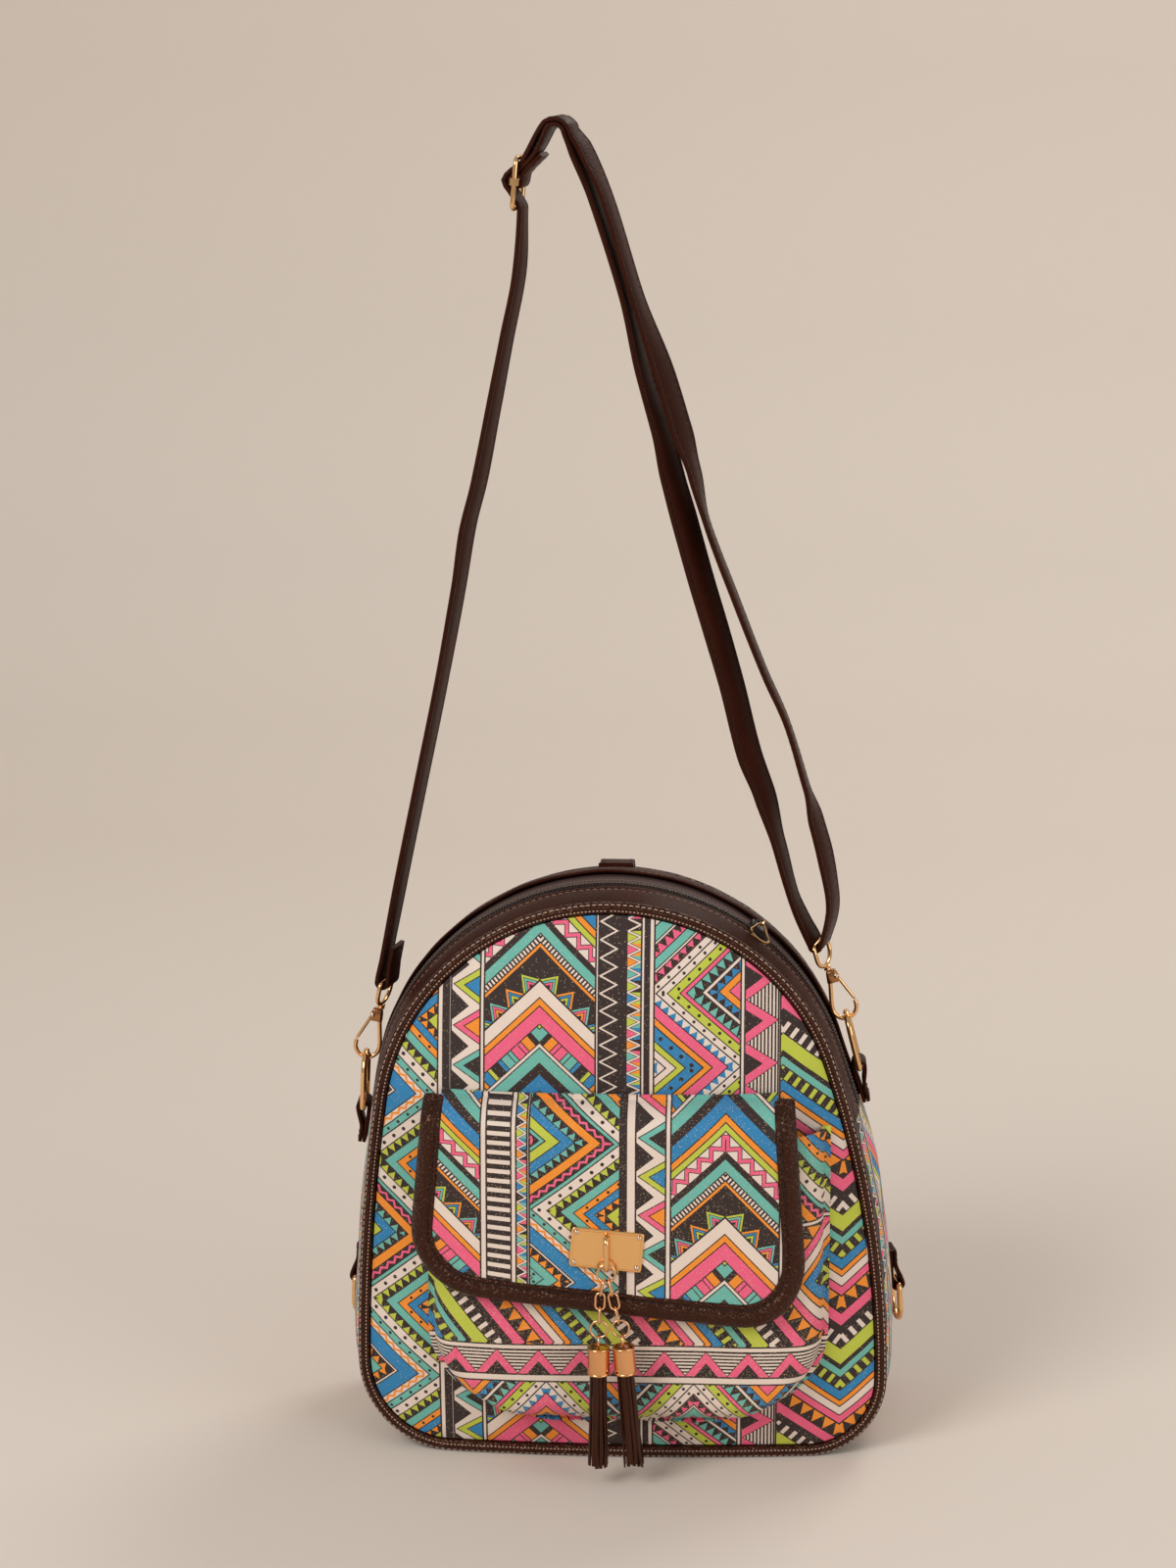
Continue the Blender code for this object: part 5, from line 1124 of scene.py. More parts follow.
def stitches(name, points, normals, look, length=2.3 * MM, space=1.0 * MM, radius=0.28 * MM):
    """A row of separate stitches that dip into the surface at their ends"""
    bm = bmesh.new()
    gone = [0.0]
    for a, b in zip(points, points[1:]):
        gone.append(gone[-1] + (b - a).length)

    def at(distance):
        place = min(max(bisect.bisect_right(gone, distance) - 1, 0), len(points) - 2)
        share = (distance - gone[place]) / max(gone[place + 1] - gone[place], TINY)
        return points[place].lerp(points[place + 1], share), normals[place].lerp(normals[place + 1], share)

    start = space / 2
    while start + length < gone[-1]:
        rings = []
        for share, high, thick in STITCH:
            centre, normal = at(start + share * length)
            ahead = at(start + share * length + 0.1 * MM)[0] - centre
            way = ahead.normalized() if ahead.length > TINY else Vector((1, 0, 0))
            across = normal.cross(way).normalized()
            rings.append(circle(centre + normal * high * radius, across, normal, radius * thick, 5))
        skin(bm, rings)
        start += length + space
    return piece(name, close_mesh(bm, name, 80), look)


def sew_edges(name, points, frames, width, inset, thickness, radius):
    """Rows of stitches near both edges of a band, on both its faces"""
    for side in (-1, 1):
        for face in (-1, 1):
            label = "%s_sewn_%d%d" % (name, side + 2, face + 2)
            outs = [frame[2] * face for frame in frames]
            row = [point + frame[1] * side * inset * width + out * 0.44 * thickness
                   for point, frame, out in zip(points, frames, outs)]
            stitches(label, row, outs, DARK_THREAD, 2.8 * MM, 1.2 * MM, radius)


# Body


# Rings of a panel from its edge to its middle, by their share of the way out
PANEL_SHARES = (1.0, 0.992, 0.98, 0.965, 0.945, 0.92, 0.89, 0.86, 0.82, 0.78, 0.73, 0.68, 0.62, 0.56, 0.5,
                0.44, 0.38, 0.32, 0.26, 0.2, 0.14, 0.08, 0.035)


def make_panel(name, face_y, way, seed):
    """Stuffed panel with puckers along its seam"""
    def spot(x, z, out):
        return sag(Vector((x, face_y(x, z) + way * out, z))), (-way * x / MM, z / MM)

    rows = []
    for share in PANEL_SHARES:
        near = smooth((share - 0.86) / 0.1) * smooth((1.0 - share) / 0.03)
        row = []
        for run, edge in zip(PANEL_RUNS, PANEL_EDGE):
            p = PANEL_CENTRE.lerp(edge, share)
            pucker = 0.35 * MM * near * math.sin(run / (4.2 * MM) + 2 * ruffle(edge, 0.03, seed))
            soft = 0.9 * MM * ruffle(Vector((p.x, 0, p.z)), 0.045, seed) * smooth((1.0 - share) / 0.12)
            row.append(spot(p.x, p.z, pucker + soft - 0.4 * MM * smooth((1 - share) / 0.1)))
        rows.append(row)
    pole = spot(PANEL_CENTRE.x, PANEL_CENTRE.z, -0.4 * MM)
    mesh = slab(name, rows, PANEL_T, backwards if way > 0 else forwards, pole)
    printed(name + "_cloth", mesh, FRONT_CLOTH, name)


# Sewn rows on the piping: angle round the bead, stitch and space
PIPING_ROWS = ((250, 1.1 * MM, 0.75 * MM), (316, 2.1 * MM, 0.9 * MM))


def make_piping(name, seam_y, way):
    """Rolled edge with two sewn grooves"""
    sections = []
    rows = [([], []) for row in PIPING_ROWS]
    count = 24
    for run in PANEL_RUNS:
        point, normal = outline_at(run)
        centre = sag(point - normal * BEAD_RADIUS + Vector((0, seam_y(point), 0)))
        back = Vector((0, -way, 0))
        ring = []
        for k in range(count):
            angle = 2 * math.pi * k / count
            reach = BEAD_RADIUS * (1 + 0.03 * ruffle(point + Vector((0, 0.01 * k, 0)), 0.006, 3.0))
            for degrees, length, space in PIPING_ROWS:
                reach *= 1 - 0.14 * math.exp(-((angle - math.radians(degrees)) / 0.17) ** 2)
            ring.append(centre + reach * (math.cos(angle) * normal + math.sin(angle) * back))
        sections.append(ring)
        for (degrees, length, space), (groove, outs) in zip(PIPING_ROWS, rows):
            angle = math.radians(degrees)
            out = (math.cos(angle) * normal + math.sin(angle) * back).normalized()
            groove.append(centre + 0.88 * BEAD_RADIUS * out)
            outs.append(out)
    mesh = loft(name, sections, around=True, sharp=70)
    piece(name + "_bead", mesh, PEBBLE, replaces=(name,))
    # Pale stitches in the grooves: real stitches, and partly painted glints along the bead
    for number, ((degrees, length, space), (groove, outs)) in enumerate(zip(PIPING_ROWS, rows)):
        label = "%s_stitches_%d" % (name, number + 1)
        stitches(label, groove + groove[:1], outs + outs[:1], PALE_THREAD_GLINT, length, space, 0.3 * MM)


def make_lower_gusset():
    """Printed sides and bottom, from one end of the zip round to the other"""
    runs = runs_between(RIGHT_ZIP_END + CURVE_GAP, side_length(1), FINE)
    other = runs_between(LEFT_ZIP_END - CURVE_GAP, -side_length(-1), FINE)
    length = side_length(1) + side_length(-1)
    rows = []
    for share in spread(0.0, 1.0, 33):
        inner = smooth(share / 0.15) * smooth((1 - share) / 0.15)
        near = smooth(share / 0.04) * smooth((0.14 - share) / 0.08)
        row = []
        for run in runs + other[-2::-1]:
            y = blend(*gusset_edges(run), share)
            clear = 1 - smooth((0.03 - outline_at(run)[0].z) / 0.02)
            pucker = 0.3 * MM * near * math.sin(run / (4.0 * MM))
            soft = inner * (0.8 * MM * ruffle(gusset_point(run, y), 0.04, 5.0) - 0.3 * MM)
            way = run if run >= 0 else length + run
            row.append((gusset_point(run, y, clear * (pucker + soft)), (y / MM + 40, 280 - way / MM)))
        rows.append(row)
    mesh = slab("lower_gusset", rows, GUSSET_T, from_middle)
    printed("lower_gusset_cloth", mesh, FRONT_CLOTH, "lower_gusset")


def strip(name, ys, lifts, thickness, look, node, ripple=0.0):
    """Band over the arch with its own lift across"""
    rows = []
    for y, lift in zip(ys, lifts):
        row = []
        for run in runs_between(LEFT_ZIP_END, RIGHT_ZIP_END, FINE):
            rough = ripple * ruffle(gusset_point(run, y), 0.02, 7.0)
            row.append((gusset_point(run, y, lift + rough), (y / MM, run / MM)))
        rows.append(row)
    piece(name, slab(name, rows, thickness, from_middle), look, replaces=(node,))


def seam_line(name, y, lift, look, **sizes):
    """Row of stitches over the arch"""
    runs = runs_between(LEFT_ZIP_END, RIGHT_ZIP_END, FINE)
    points = [gusset_point(run, y, lift) for run in runs]
    stitches(name, points, [outline_at(run)[1] for run in runs], look, **sizes)


def make_zip_gusset():
    """The two leather strips with their seams, the tapes under them and the coil between"""
    front, back = gusset_edges(0.0)
    half = TEETH_WIDTH / 2
    inner = ZIP_Y - half - TAPE_FRONT
    steps = ((-5, 0.1), (-4, -0.3), (-3, 0.1), (-1.4, 0.25), (-0.4, 0.1), (0, -0.3))
    ys = [front, front + 2 * MM, front + 5 * MM, blend(front, inner, 0.5)]
    ys += [inner + y * MM for y, lift in steps]
    lifts = [0.0, 0.1 * MM, 0.2 * MM, 0.2 * MM] + [lift * MM for y, lift in steps]
    strip("strip_front_leather", ys, lifts, GUSSET_T, LEATHER, "gusset_strip_front", 0.25 * MM)
    seam_line("strip_front_stitches", inner - 4 * MM, -0.2 * MM, SEAM_THREAD, length=2.4 * MM)
    outer = ZIP_Y + half + TAPE_REAR
    steps = ((0, -0.1), (0.4, 0.4), (1.4, 0.7), (3, 0.35), (4, -0.25), (5, 0.1))
    ys = [outer + y * MM for y, lift in steps] + spread(outer + 9 * MM, back, 9)
    lifts = [lift * MM for y, lift in steps] + [0.2 * MM] * 8 + [0.0]
    strip("strip_rear_leather", ys, lifts, GUSSET_T, LEATHER, "gusset_strip_rear", 0.3 * MM)
    seam_line("strip_rear_stitches", outer + 4 * MM, -0.2 * MM, SEAM_THREAD, length=2.4 * MM)
    for side, start, end in (("front", inner - TAPE_UNDER, ZIP_Y - GAP / 2),
                             ("rear", ZIP_Y + GAP / 2, outer + TAPE_UNDER)):
        strip("tape_%s_woven" % side, spread(start, end, 8), [TAPE_LIFT] * 8, TAPE_T, TAPE,
              "zip_tape_" + side)
    make_coil()


# A coil's loop from the tape to the middle: place across by the teeth's width, and half sizes in millimetres
COIL_PITCH = 1.5 * MM
COIL_LOOP = ((0.5, 0.2046, 0.4275), (0.4, 0.341, 0.8075), (0.175, 0.341, 0.95), (-0.075, 0.341, 0.9025),
             (-0.12, 0.2046, 0.475))


def make_coil():
    """Two rows of coil loops that mesh along the middle"""
    low = TAPE_LIFT + GAP
    middle = low + 0.45 * TEETH_HEIGHT
    bm = bmesh.new()
    for i in range(int((RIGHT_ZIP_END - LEFT_ZIP_END) / COIL_PITCH)):
        for side in (-1, 1):
            run = LEFT_ZIP_END + (i + (0.5 if side > 0 else 0.0) + 0.3) * COIL_PITCH
            normal = outline_at(run)[1]
            way = Vector((normal.z, 0, -normal.x))
            rings = []
            for share, wide, tall in COIL_LOOP:
                centre = gusset_point(run, ZIP_Y + side * share * TEETH_WIDTH, middle + 0.12 * MM)
                rings.append(circle(centre, way * wide, normal * tall, MM, 6))
            skin(bm, rings)
    piece("zip_coil", close_mesh(bm, "zip_coil", 60), COIL, replaces=("zip_teeth",))
    # Stitch rows over the coil, in pale thread that paints its glints
    for side in (-1, 1):
        seam_line("coil_stitches_%d" % (side + 2), ZIP_Y + side * 2.0 * MM, low + TEETH_HEIGHT * 0.93,
                  COIL_THREAD_GLINT, length=1.6 * MM, space=0.4 * MM, radius=0.2 * MM)


# Pocket and flap


# Rows of the pocket up from its bottom and in from its sides, in millimetres, close together at the hem
POCKET_ROWS = (0, 0.4, 1.0, 1.7, 2.4, 3.0, 3.3, 3.9, 4.8, 6.0, 7.5, 9.2, 11, 13, 15, 17.5, 20, 23, 26, 30, 34,
               38, 43, 48)
POCKET_STEPS = (0, 0.5, 1.2, 2.0, 3.0, 3.3, 3.9, 4.8, 6.0, 7.6, 9.5, 12, 15)


def make_pocket():
    """Raised patch pocket with a puckered hem"""
    heights = [POCKET_BOTTOM + step * MM for step in POCKET_ROWS]
    rows = []
    for z in heights + spread(POCKET_BOTTOM + 54 * MM, POCKET_TOP, 22):
        half = pocket_half(z)
        inner = half - POCKET_STEPS[-1] * MM
        xs = [half - step * MM for step in POCKET_STEPS] + [inner * share for share in spread(0.94, 0.06, 14)]
        row = []
        for x in [-x for x in xs] + [0.0] + xs[::-1]:
            edge = min(half - abs(x), z - POCKET_BOTTOM)
            along = x if z - POCKET_BOTTOM < half - abs(x) else z
            hem = smooth(edge / (0.6 * MM)) * smooth((7 * MM - edge) / (3 * MM))
            pucker = 0.45 * MM * hem * math.sin(2 * math.pi * along / (4.6 * MM) + edge / (1.2 * MM))
            body = smooth((edge - 5 * MM) / (10 * MM))
            soft = body * (1.1 * MM * ruffle(Vector((x, 0, z)), 0.035, 11.0) - 0.5 * MM)
            place = POCKET_X + x
            row.append((Vector((place, pocket_face_y(place, z) - pucker - soft, z)), (z / MM, place / MM)))
        rows.append(row)
    printed("pocket_cloth", slab("pocket", rows, POCKET_T, forwards), POCKET_CLOTH, "pocket")


def flap_ruffle(x, drop):
    middle = smooth((FLAP_HALF - abs(x)) / (16 * MM)) * smooth((drop - 4 * MM) / (14 * MM))
    middle *= smooth((FLAP_HEIGHT - drop) / (16 * MM))
    return 0.7 * MM * middle * ruffle(Vector((x, 0, drop)), 0.04, 17.0)


def make_flap():
    """Printed flap in rows from its top edge to its lower one, inside the binding"""
    inset = BINDING_WIDTH + GAP - 2.2 * MM
    rolled = (0.02, 0.06, 0.12, 0.2, 0.3, 0.42, 0.55, 0.7, 0.85, 1.0)
    drops = [0.0, FLAP_HEM] + [FLAP_HEM + FLAP_ROLL * share for share in rolled]
    drops += spread(FLAP_HEM + FLAP_ROLL + 3 * MM, FLAP_HEIGHT - FLAP_CORNER, 16)
    rows = [(FLAP_HALF - inset, drop) for drop in drops]
    radius = FLAP_CORNER - inset
    rows += arc(FLAP_HALF - FLAP_CORNER, FLAP_HEIGHT - FLAP_CORNER, radius, 6.0, 90.0, 14)
    sheet = []
    for half, drop in rows:
        roll = 1 - quarter((drop - FLAP_HEM) / FLAP_ROLL)
        row = []
        for share in spread(-1.0, 1.0, 61):
            x = half * share
            point = flap_point(x, drop, flap_ruffle(x, drop) - 0.1 * MM)
            row.append((point, (point.x / MM, (FLAP_TOP - drop + 0.02 * x) / MM + 4.5 * roll)))
        sheet.append(row)
    printed("flap_cloth", slab("flap", sheet, FLAP_T - 0.3 * MM, forwards), FLAP_CLOTH, "flap")


def flap_path(inset):
    """Path down the left side of the flap, along its lower edge and up its right side"""
    drops = [BINDING_START, 5 * MM] + spread(7 * MM, FLAP_HEIGHT - FLAP_CORNER, 26)
    side = [(FLAP_HALF - inset, drop) for drop in drops]
    radius = FLAP_CORNER - inset
    side += arc(FLAP_HALF - FLAP_CORNER, FLAP_HEIGHT - FLAP_CORNER, radius, 5.0, 90.0, 16)
    low = side[-1]
    bottom = [(low[0] * share, low[1]) for share in spread(-0.96, 0.96, 40)]
    return [(-x, drop) for x, drop in side] + bottom + side[::-1]


# Section of the binding in millimetres: in from the flap's edge, and out from its face
BINDING_PROFILE = ((0.0, -1.2), (0.15, 0.1), (0.9, 1.25), (2.2, 2.1), (4.0, 2.5), (5.8, 2.3), (7.2, 1.6),
                   (8.1, 0.55), (8.6, 0.5), (9.4, 0.95), (10.4, 0.85), (11.0, 0.2), (11.0, -2.2), (8.0, -2.7),
                   (5.0, -3.0), (2.0, -2.6), (0.5, -2.0))


def make_binding():
    """Padded edge that wraps the flap, with a sewn groove inside its roll"""
    paths = [flap_path(inset * MM) for inset, lift in BINDING_PROFILE]
    sections = []
    for i in range(len(paths[0])):
        section = []
        for path, (inset, lift) in zip(paths, BINDING_PROFILE):
            point = flap_point(*path[i], lift * MM)
            if lift > 0.3:
                crease = ruffle(point, 0.007, 23.0) * 0.35 + ruffle(point, 0.016, 29.0) * 0.35
                point.y -= crease * MM * min(lift / 2.0, 1.0)
            section.append(point)
        sections.append(section)
    for end in (0, -1):
        middle = sum(sections[end], Vector()) / len(sections[end])
        tips = []
        for shrink, rise in ((0.93, 0.8), (0.72, 1.6), (0.35, 2.0)):
            tips.append([middle.lerp(point, shrink) + Vector((0, 0, rise * MM)) for point in sections[end]])
        sections = sections + tips if end else tips[::-1] + sections
    made = piece("binding_roll", loft("binding_roll", sections, sharp=70), PEBBLE,
                 replaces=("flap_binding",))
    row = [flap_point(*p, 0.55 * MM) for p in flap_path(8.35 * MM)]
    outs = [forwards(point) for point in row]
    stitches("binding_stitches", row, outs, DARK_THREAD, 2.6 * MM, 1.0 * MM, 0.3 * MM)


# Ribbons: strap, tabs and loop


# Half of a ribbon's section: place across by its width, and out by its thickness
RIBBON_PROFILE = ((-0.5, 0.0), (-0.492, 0.36), (-0.465, 0.5), (-0.40, 0.5), (-0.385, 0.42), (-0.37, 0.5),
                  (0.0, 0.5), (0.37, 0.5), (0.385, 0.42), (0.40, 0.5), (0.465, 0.5), (0.492, 0.36))


def ribbon_sections(points, widths, width, thickness):
    """Sections of a turned-edge strap with a sewn groove near both its edges"""
    profile = [*RIBBON_PROFILE] + [(-x, -y) for x, y in RIBBON_PROFILE]
    sections = []
    for point, (way, across, top) in zip(points, along_frames(points, side=widths)):
        sections.append([point + across * x * width + top * y * thickness for x, y in profile])
    return sections


def curve_through(route, spacing):
    """Points and directions of a smooth curve through the route, even along each of its spans"""
    made = []
    last = len(route) - 1
    for i in range(last):
        before, start, end, after = (route[min(max(k, 0), last)] for k in (i - 1, i, i + 1, i + 2))
        span = (end[0] - start[0]).length
        count = max(2, round(span / spacing))
        tangents = []
        for a, c in ((before, end), (start, after)):
            way = c[0] - a[0]
            tangents.append(way.normalized() * span if way.length > TINY else way)
        for step in range(count):
            t = step / count
            h = (2 * t ** 3 - 3 * t ** 2 + 1, t ** 3 - 2 * t ** 2 + t,
                 -2 * t ** 3 + 3 * t ** 2, t ** 3 - t ** 2)
            point = start[0] * h[0] + tangents[0] * h[1] + end[0] * h[2] + tangents[1] * h[3]
            made.append((point, start[1].lerp(end[1], smooth(t))))
    made.append(route[-1])
    return [point for point, across in made], [across for point, across in made]


def tab_frame(side, z, y, way):
    """Middle of the ring's bar over the gusset, and the ways to its free end, out and across"""
    run = run_at_height(side, z)
    seat = gusset_point(run, y)
    up = (seat - gusset_point(run + way * side * TAB_LENGTH, y)).normalized()
    across = gusset_point(run, y + TAB_WIDTH / 2) - gusset_point(run, y - TAB_WIDTH / 2)
    across = (across - up * across.dot(up)).normalized()
    out = up.cross(across) * -side * way
    return seat + out * (CURVE_GAP + TAB_T + CURVE_GAP + RING_WIRE), up, out, across


def make_tab(name, frame):
    """Folded tab round the ring's bar, both its ends sewn down"""
    bar, up, out, across = frame
    bend = RING_WIRE + CURVE_GAP + TAB_T / 2
    sewn = -bend + TAB_T + GAP
    path = [(-TAB_LENGTH, sewn), (-0.55 * TAB_LENGTH, sewn + 0.3 * MM), (-0.22 * TAB_LENGTH, 0.6 * bend)]
    path += [(bend * math.sin(a), bend * math.cos(a)) for a in (0, 0.7, math.pi / 2, 2.4, math.pi)]
    path += [(-0.5 * TAB_LENGTH, -bend), (-TAB_LENGTH, -bend)]
    route = [(bar + up * along + out * height, across) for along, height in path]
    points, widths = curve_through(route, 1.2 * MM)
    mesh = loft(name, ribbon_sections(points, widths, TAB_WIDTH, TAB_T), sharp=40)
    piece(name + "_leather", mesh, LEATHER, replaces=(name,))
    high = sewn + TAB_T / 2
    corners = [(-0.93, -0.4), (-0.5, -0.4), (-0.5, 0.4), (-0.93, 0.4), (-0.93, -0.4), (-0.5, 0.4)]
    rows = [bar + up * along * TAB_LENGTH + across * wide * TAB_WIDTH + out * high for along, wide in corners]
    line = []
    for a, b in zip(rows, rows[1:]):
        line += [a.lerp(b, k / 8) for k in range(8)]
    stitches(name + "_box", line, [out] * len(line), DARK_THREAD, 1.9 * MM, 0.8 * MM, 0.26 * MM)


def ring_shape(frame, length, lean):
    """Points of a ring with a straight bar, its free end and its flat side's way"""
    bar, up, out, across = frame
    way = (up * math.cos(lean) + out * math.sin(lean)).normalized()
    half = RING_WIDTH / 2
    foot, top = half - RING_BEND, length - half
    shape = [(x, 0.0) for x in spread(-foot, foot, 9)[1:]]
    shape += arc(foot, RING_BEND, RING_BEND, -67.5, 0.0, 4)
    shape += [(half, z) for z in spread(RING_BEND, top, 8)[1:]]
    shape += arc(0.0, top, half, 7.5, 180.0, 24)
    shape += [(-half, z) for z in spread(top, RING_BEND, 8)[1:]]
    shape += arc(-foot, RING_BEND, RING_BEND, 202.5, 270.0, 4)
    return [bar + across * x + way * z for x, z in shape], bar + way * length, way.cross(across)


def make_tabs_and_rings():
    """The four tabs with their rings; returns the free ends of the side rings"""
    ends = {}
    for name, side in SIDES.items():
        drop = LEFT_TAB_DROP if side < 0 else 0.0
        high = tab_frame(side, ZIP_END_Z + TAB_RISE - drop, 0.0, 1)
        low = tab_frame(side, REAR_TAB_Z, REAR_TAB_Y, -1)
        for kind, frame, length, lean in (("side", high, RING_LENGTH, RING_LEANS[name]),
                                          ("rear", low, REAR_RING_LENGTH, 0.0)):
            label = "%s_%s" % (name, kind)
            make_tab(label + "_tab", frame)
            points, end, flat = ring_shape(frame, length, math.radians(lean))
            mesh = wire(label + "_ring", points, RING_WIRE, True, 16, flat)
            metal(label + "_ring_wire", mesh, GOLD, label + "_ring", label + "_ring")
            ends.setdefault(name, end)
    return ends


def hook_place(name, ring_end):
    side = SIDES[name]
    lean = Matrix.Rotation(-side * math.radians(HOOK_LEANS[name]), 4, "Y")
    hold = HOOK_BOW_Z - HOOK_BOW_RADIUS + HOOK_WIRE + GAP + RING_WIRE
    return Matrix.Translation(ring_end - lean @ Vector((side * HOOK_BOW_X, 0, hold))) @ lean


def make_hook_frame(name, place):
    """Bevelled block that narrows to its top, and the bow of wire below it"""
    side = SIDES[name]
    high = BLOCK_HEIGHT / 2
    half = BLOCK_WIDTH / 2
    sections = []
    for share, inset, narrow in ((0.0, 0.6, 0.0), (0.03, 0.2, 0.0), (0.1, 0.0, 0.0), (0.5, 0.0, 0.25),
                                 (0.86, 0.0, 0.6), (0.95, 0.25, 0.65), (1.0, 0.7, 0.7)):
        ring = rounded(half - narrow * MM, BLOCK_DEPTH / 2 - narrow * MM / 2, 1.2 * MM, inset * MM)
        sections.append([place @ Vector((side * x, y, blend(-high, high, share))) for x, y in ring])
    body = name + "_hook"
    # The block is in a darker copy of the gold: painted dark reflection
    metal(body + "_block", loft(body + "_block", sections, sharp=35), GOLD_PAINTED_DARK, body)
    outer = -half + HOOK_WIRE + 0.15 * MM
    low = (HOOK_BOW_X - HOOK_BOW_RADIUS, HOOK_BOW_Z + 2 * MM)
    route = [(outer, -high + 1.2 * MM), (outer, -high - 0.4 * MM)]
    route += [(blend(outer, low[0], s), blend(-high - 0.6 * MM, low[1], s)) for s in (0.12, 0.5, 0.88)]
    route += arc(HOOK_BOW_X, HOOK_BOW_Z, HOOK_BOW_RADIUS, 180, 360, 15)
    route += [(HOOK_BOW_X + HOOK_BOW_RADIUS - 0.1 * MM, HOOK_TIP_Z)]
    points = [place @ Vector((side * x, 0, z)) for x, z in route]
    radii = [HOOK_WIRE] * (len(points) - 1) + [0.85 * HOOK_WIRE]
    mesh = wire(body + "_bow", points, radii, sides=16, side=place.to_3x3() @ Vector((0, 1, 0)))
    metal(body + "_bow", mesh, GOLD, body, name + "_hook_frame")


def make_gate(name, place):
    """Straight sprung gate, closed against the bow's tip, on a pin with domed heads"""
    side = SIDES[name]
    reach = (PIN_Z - HOOK_TIP_Z - GAP - GATE_WIRE * math.sin(GATE_LEAN)) / math.cos(GATE_LEAN)
    way = Vector((side * math.sin(GATE_LEAN), 0, -math.cos(GATE_LEAN)))
    pin = Vector((side * PIN_X, 0, PIN_Z))
    points = [place @ (pin + way * reach * share) for share in (0.04, 0.3, 0.6, 0.9, 0.97, 1.0)]
    radii = [GATE_WIRE * share for share in (1.0, 1.0, 1.0, 1.0, 0.85, 0.45)]
    label = name + "_gate"
    mesh = wire(label, points, radii, sides=14, side=place.to_3x3() @ Vector((0, 1, 0)))
    metal(label + "_wire", mesh, GOLD, label, label)
    turned_y = place @ Matrix.Translation(pin) @ Matrix.Rotation(math.pi / 2, 4, "X")
    disc = [(GATE_EYE_RADIUS * wide, GATE_EYE_HALF * high)
            for wide, high in ((0.05, -1), (0.85, -1), (1, -0.8), (1, 0.8), (0.85, 1), (0.05, 1))]
    metal(label + "_barrel", turned(label + "_barrel", disc, turned_y, 24), GOLD, label)
    edge = BLOCK_DEPTH / 2 + GAP
    dome = [(0.05 * MM, edge + PIN_HEAD_HEIGHT)]
    dome += [(PIN_HEAD_RADIUS * math.sin(turn), edge + PIN_HEAD_HEIGHT * math.cos(turn))
             for turn in spread(0.3, 1.5, 6)]
    dome += [(PIN_HEAD_RADIUS, edge), (0.5 * PIN_HEAD_RADIUS, edge)]
    profile = dome + [(radius, -high) for radius, high in dome[::-1]]
    mesh = turned(name + "_gate_pin", profile, turned_y, 24)
    metal(name + "_gate_rivet", mesh, SILVER, name + "_hook", name + "_gate_pin")


def make_eye(name, place):
    """Loop with a straight top bar that the strap goes round, on a ringed boss; returns the bar"""
    side = SIDES[name]
    turn = math.radians(EYE_TURNS[name])
    base = BLOCK_HEIGHT / 2 + GAP
    low = base + BOSS_HEIGHT + EYE_WIRE / 2
    half = STRAP_WIDTH / 2 + EYE_PLAY + EYE_WIRE
    soft, waist = 2.4 * MM, 6.0 * MM
    shape = arc(0.0, waist, half, -78, 0, 9, waist) + arc(half - soft, EYE_HEIGHT - soft, soft, 0, 90, 6)
    shape = [(0.0, 0.0)] + shape + [(-y, z) for y, z in shape[::-1]]
    points = [place @ Vector((side * STEM_X + y * math.sin(turn), y * math.cos(turn), low + z))
              for y, z in shape]
    flat = place.to_3x3() @ Vector((math.cos(turn), -math.sin(turn), 0))
    label = name + "_eye"
    mesh = wire(label, points, EYE_WIRE, True, 16, flat)
    metal(label + "_loop", mesh, GOLD, label, name + "_hook_eye")
    profile = [(BOSS_RADIUS * wide, base + high * MM) for wide, high in (
        (0.05, 0), (0.7, 0), (0.93, 0.2), (1, 0.6), (0.93, 1.0), (0.72, 1.15), (0.72, 1.35), (0.93, 1.5),
        (1, 1.9), (0.85, 2.4), (0.5, 2.7), (0.05, 2.8))]
    stem = place @ Matrix.Translation((side * STEM_X, 0, 0))
    metal(label + "_boss", turned(label + "_boss", profile, stem, 28), GOLD, label)
    across = place.to_3x3() @ Vector((math.sin(turn), 0, 0))
    across.y = math.cos(turn)
    return place @ Vector((side * STEM_X, 0, low + EYE_HEIGHT)), across


def make_hooks(ends):
    """Both snap hooks; returns the bars that the strap goes round"""
    bars = {}
    for name in SIDES:
        place = hook_place(name, ends[name])
        make_hook_frame(name, place)
        make_gate(name, place)
        bars[name] = make_eye(name, place)
    return bars


# The strap's legs as (x, z, turn of its face in degrees), from the hooks up
LEFT_LEG = ((-118, 238, 12), (-110, 279, 14), (-100, 328, 14), (-90, 377, 14), (-81, 426, 16),
            (-76.5, 455, 19), (-71, 477, 19), (-64, 513, 17), (-57.5, 547, 15), (-51.5, 578, 14))
OUTER_LEG = ((-21, 637.5, 20), (-10.6, 614.7, 14), (3.4, 568.5, 16), (17.2, 529.3, 30), (25.5, 502, 30),
             (31, 484, 16), (37.5, 458, 3), (51, 422, 4), (65.6, 384.7, 3), (76.5, 360, 2), (86.6, 327, 4),
             (91.5, 310, 20), (96, 293, 22), (99.8, 272, 18), (99.5, 262, 18))
INNER_LEG = ((-24.5, 635.5, 18), (-16.4, 614.7, 13), (-1.7, 568.5, 14), (7.6, 529.2, 20), (15.4, 503.8, 28),
             (21, 480, 36), (26.5, 460, 40), (34.5, 431, 40), (41.6, 407, 40), (49.7, 378.7, 38),
             (58.3, 344.3, 38), (65.7, 324.6, 32), (73.3, 298.2, 16), (80.5, 272, 12), (86, 259, 16))
DRAWN_EYES = {"left": (-117.7, 226.6), "right": (93.5, 249.3)}
DRAWN_TOP = 651.3
DRAWN_APEX = -33


def level(turn):
    """Level direction across the strap, turned so many degrees from straight back"""
    return Vector((math.sin(math.radians(turn)), math.cos(math.radians(turn)), 0))


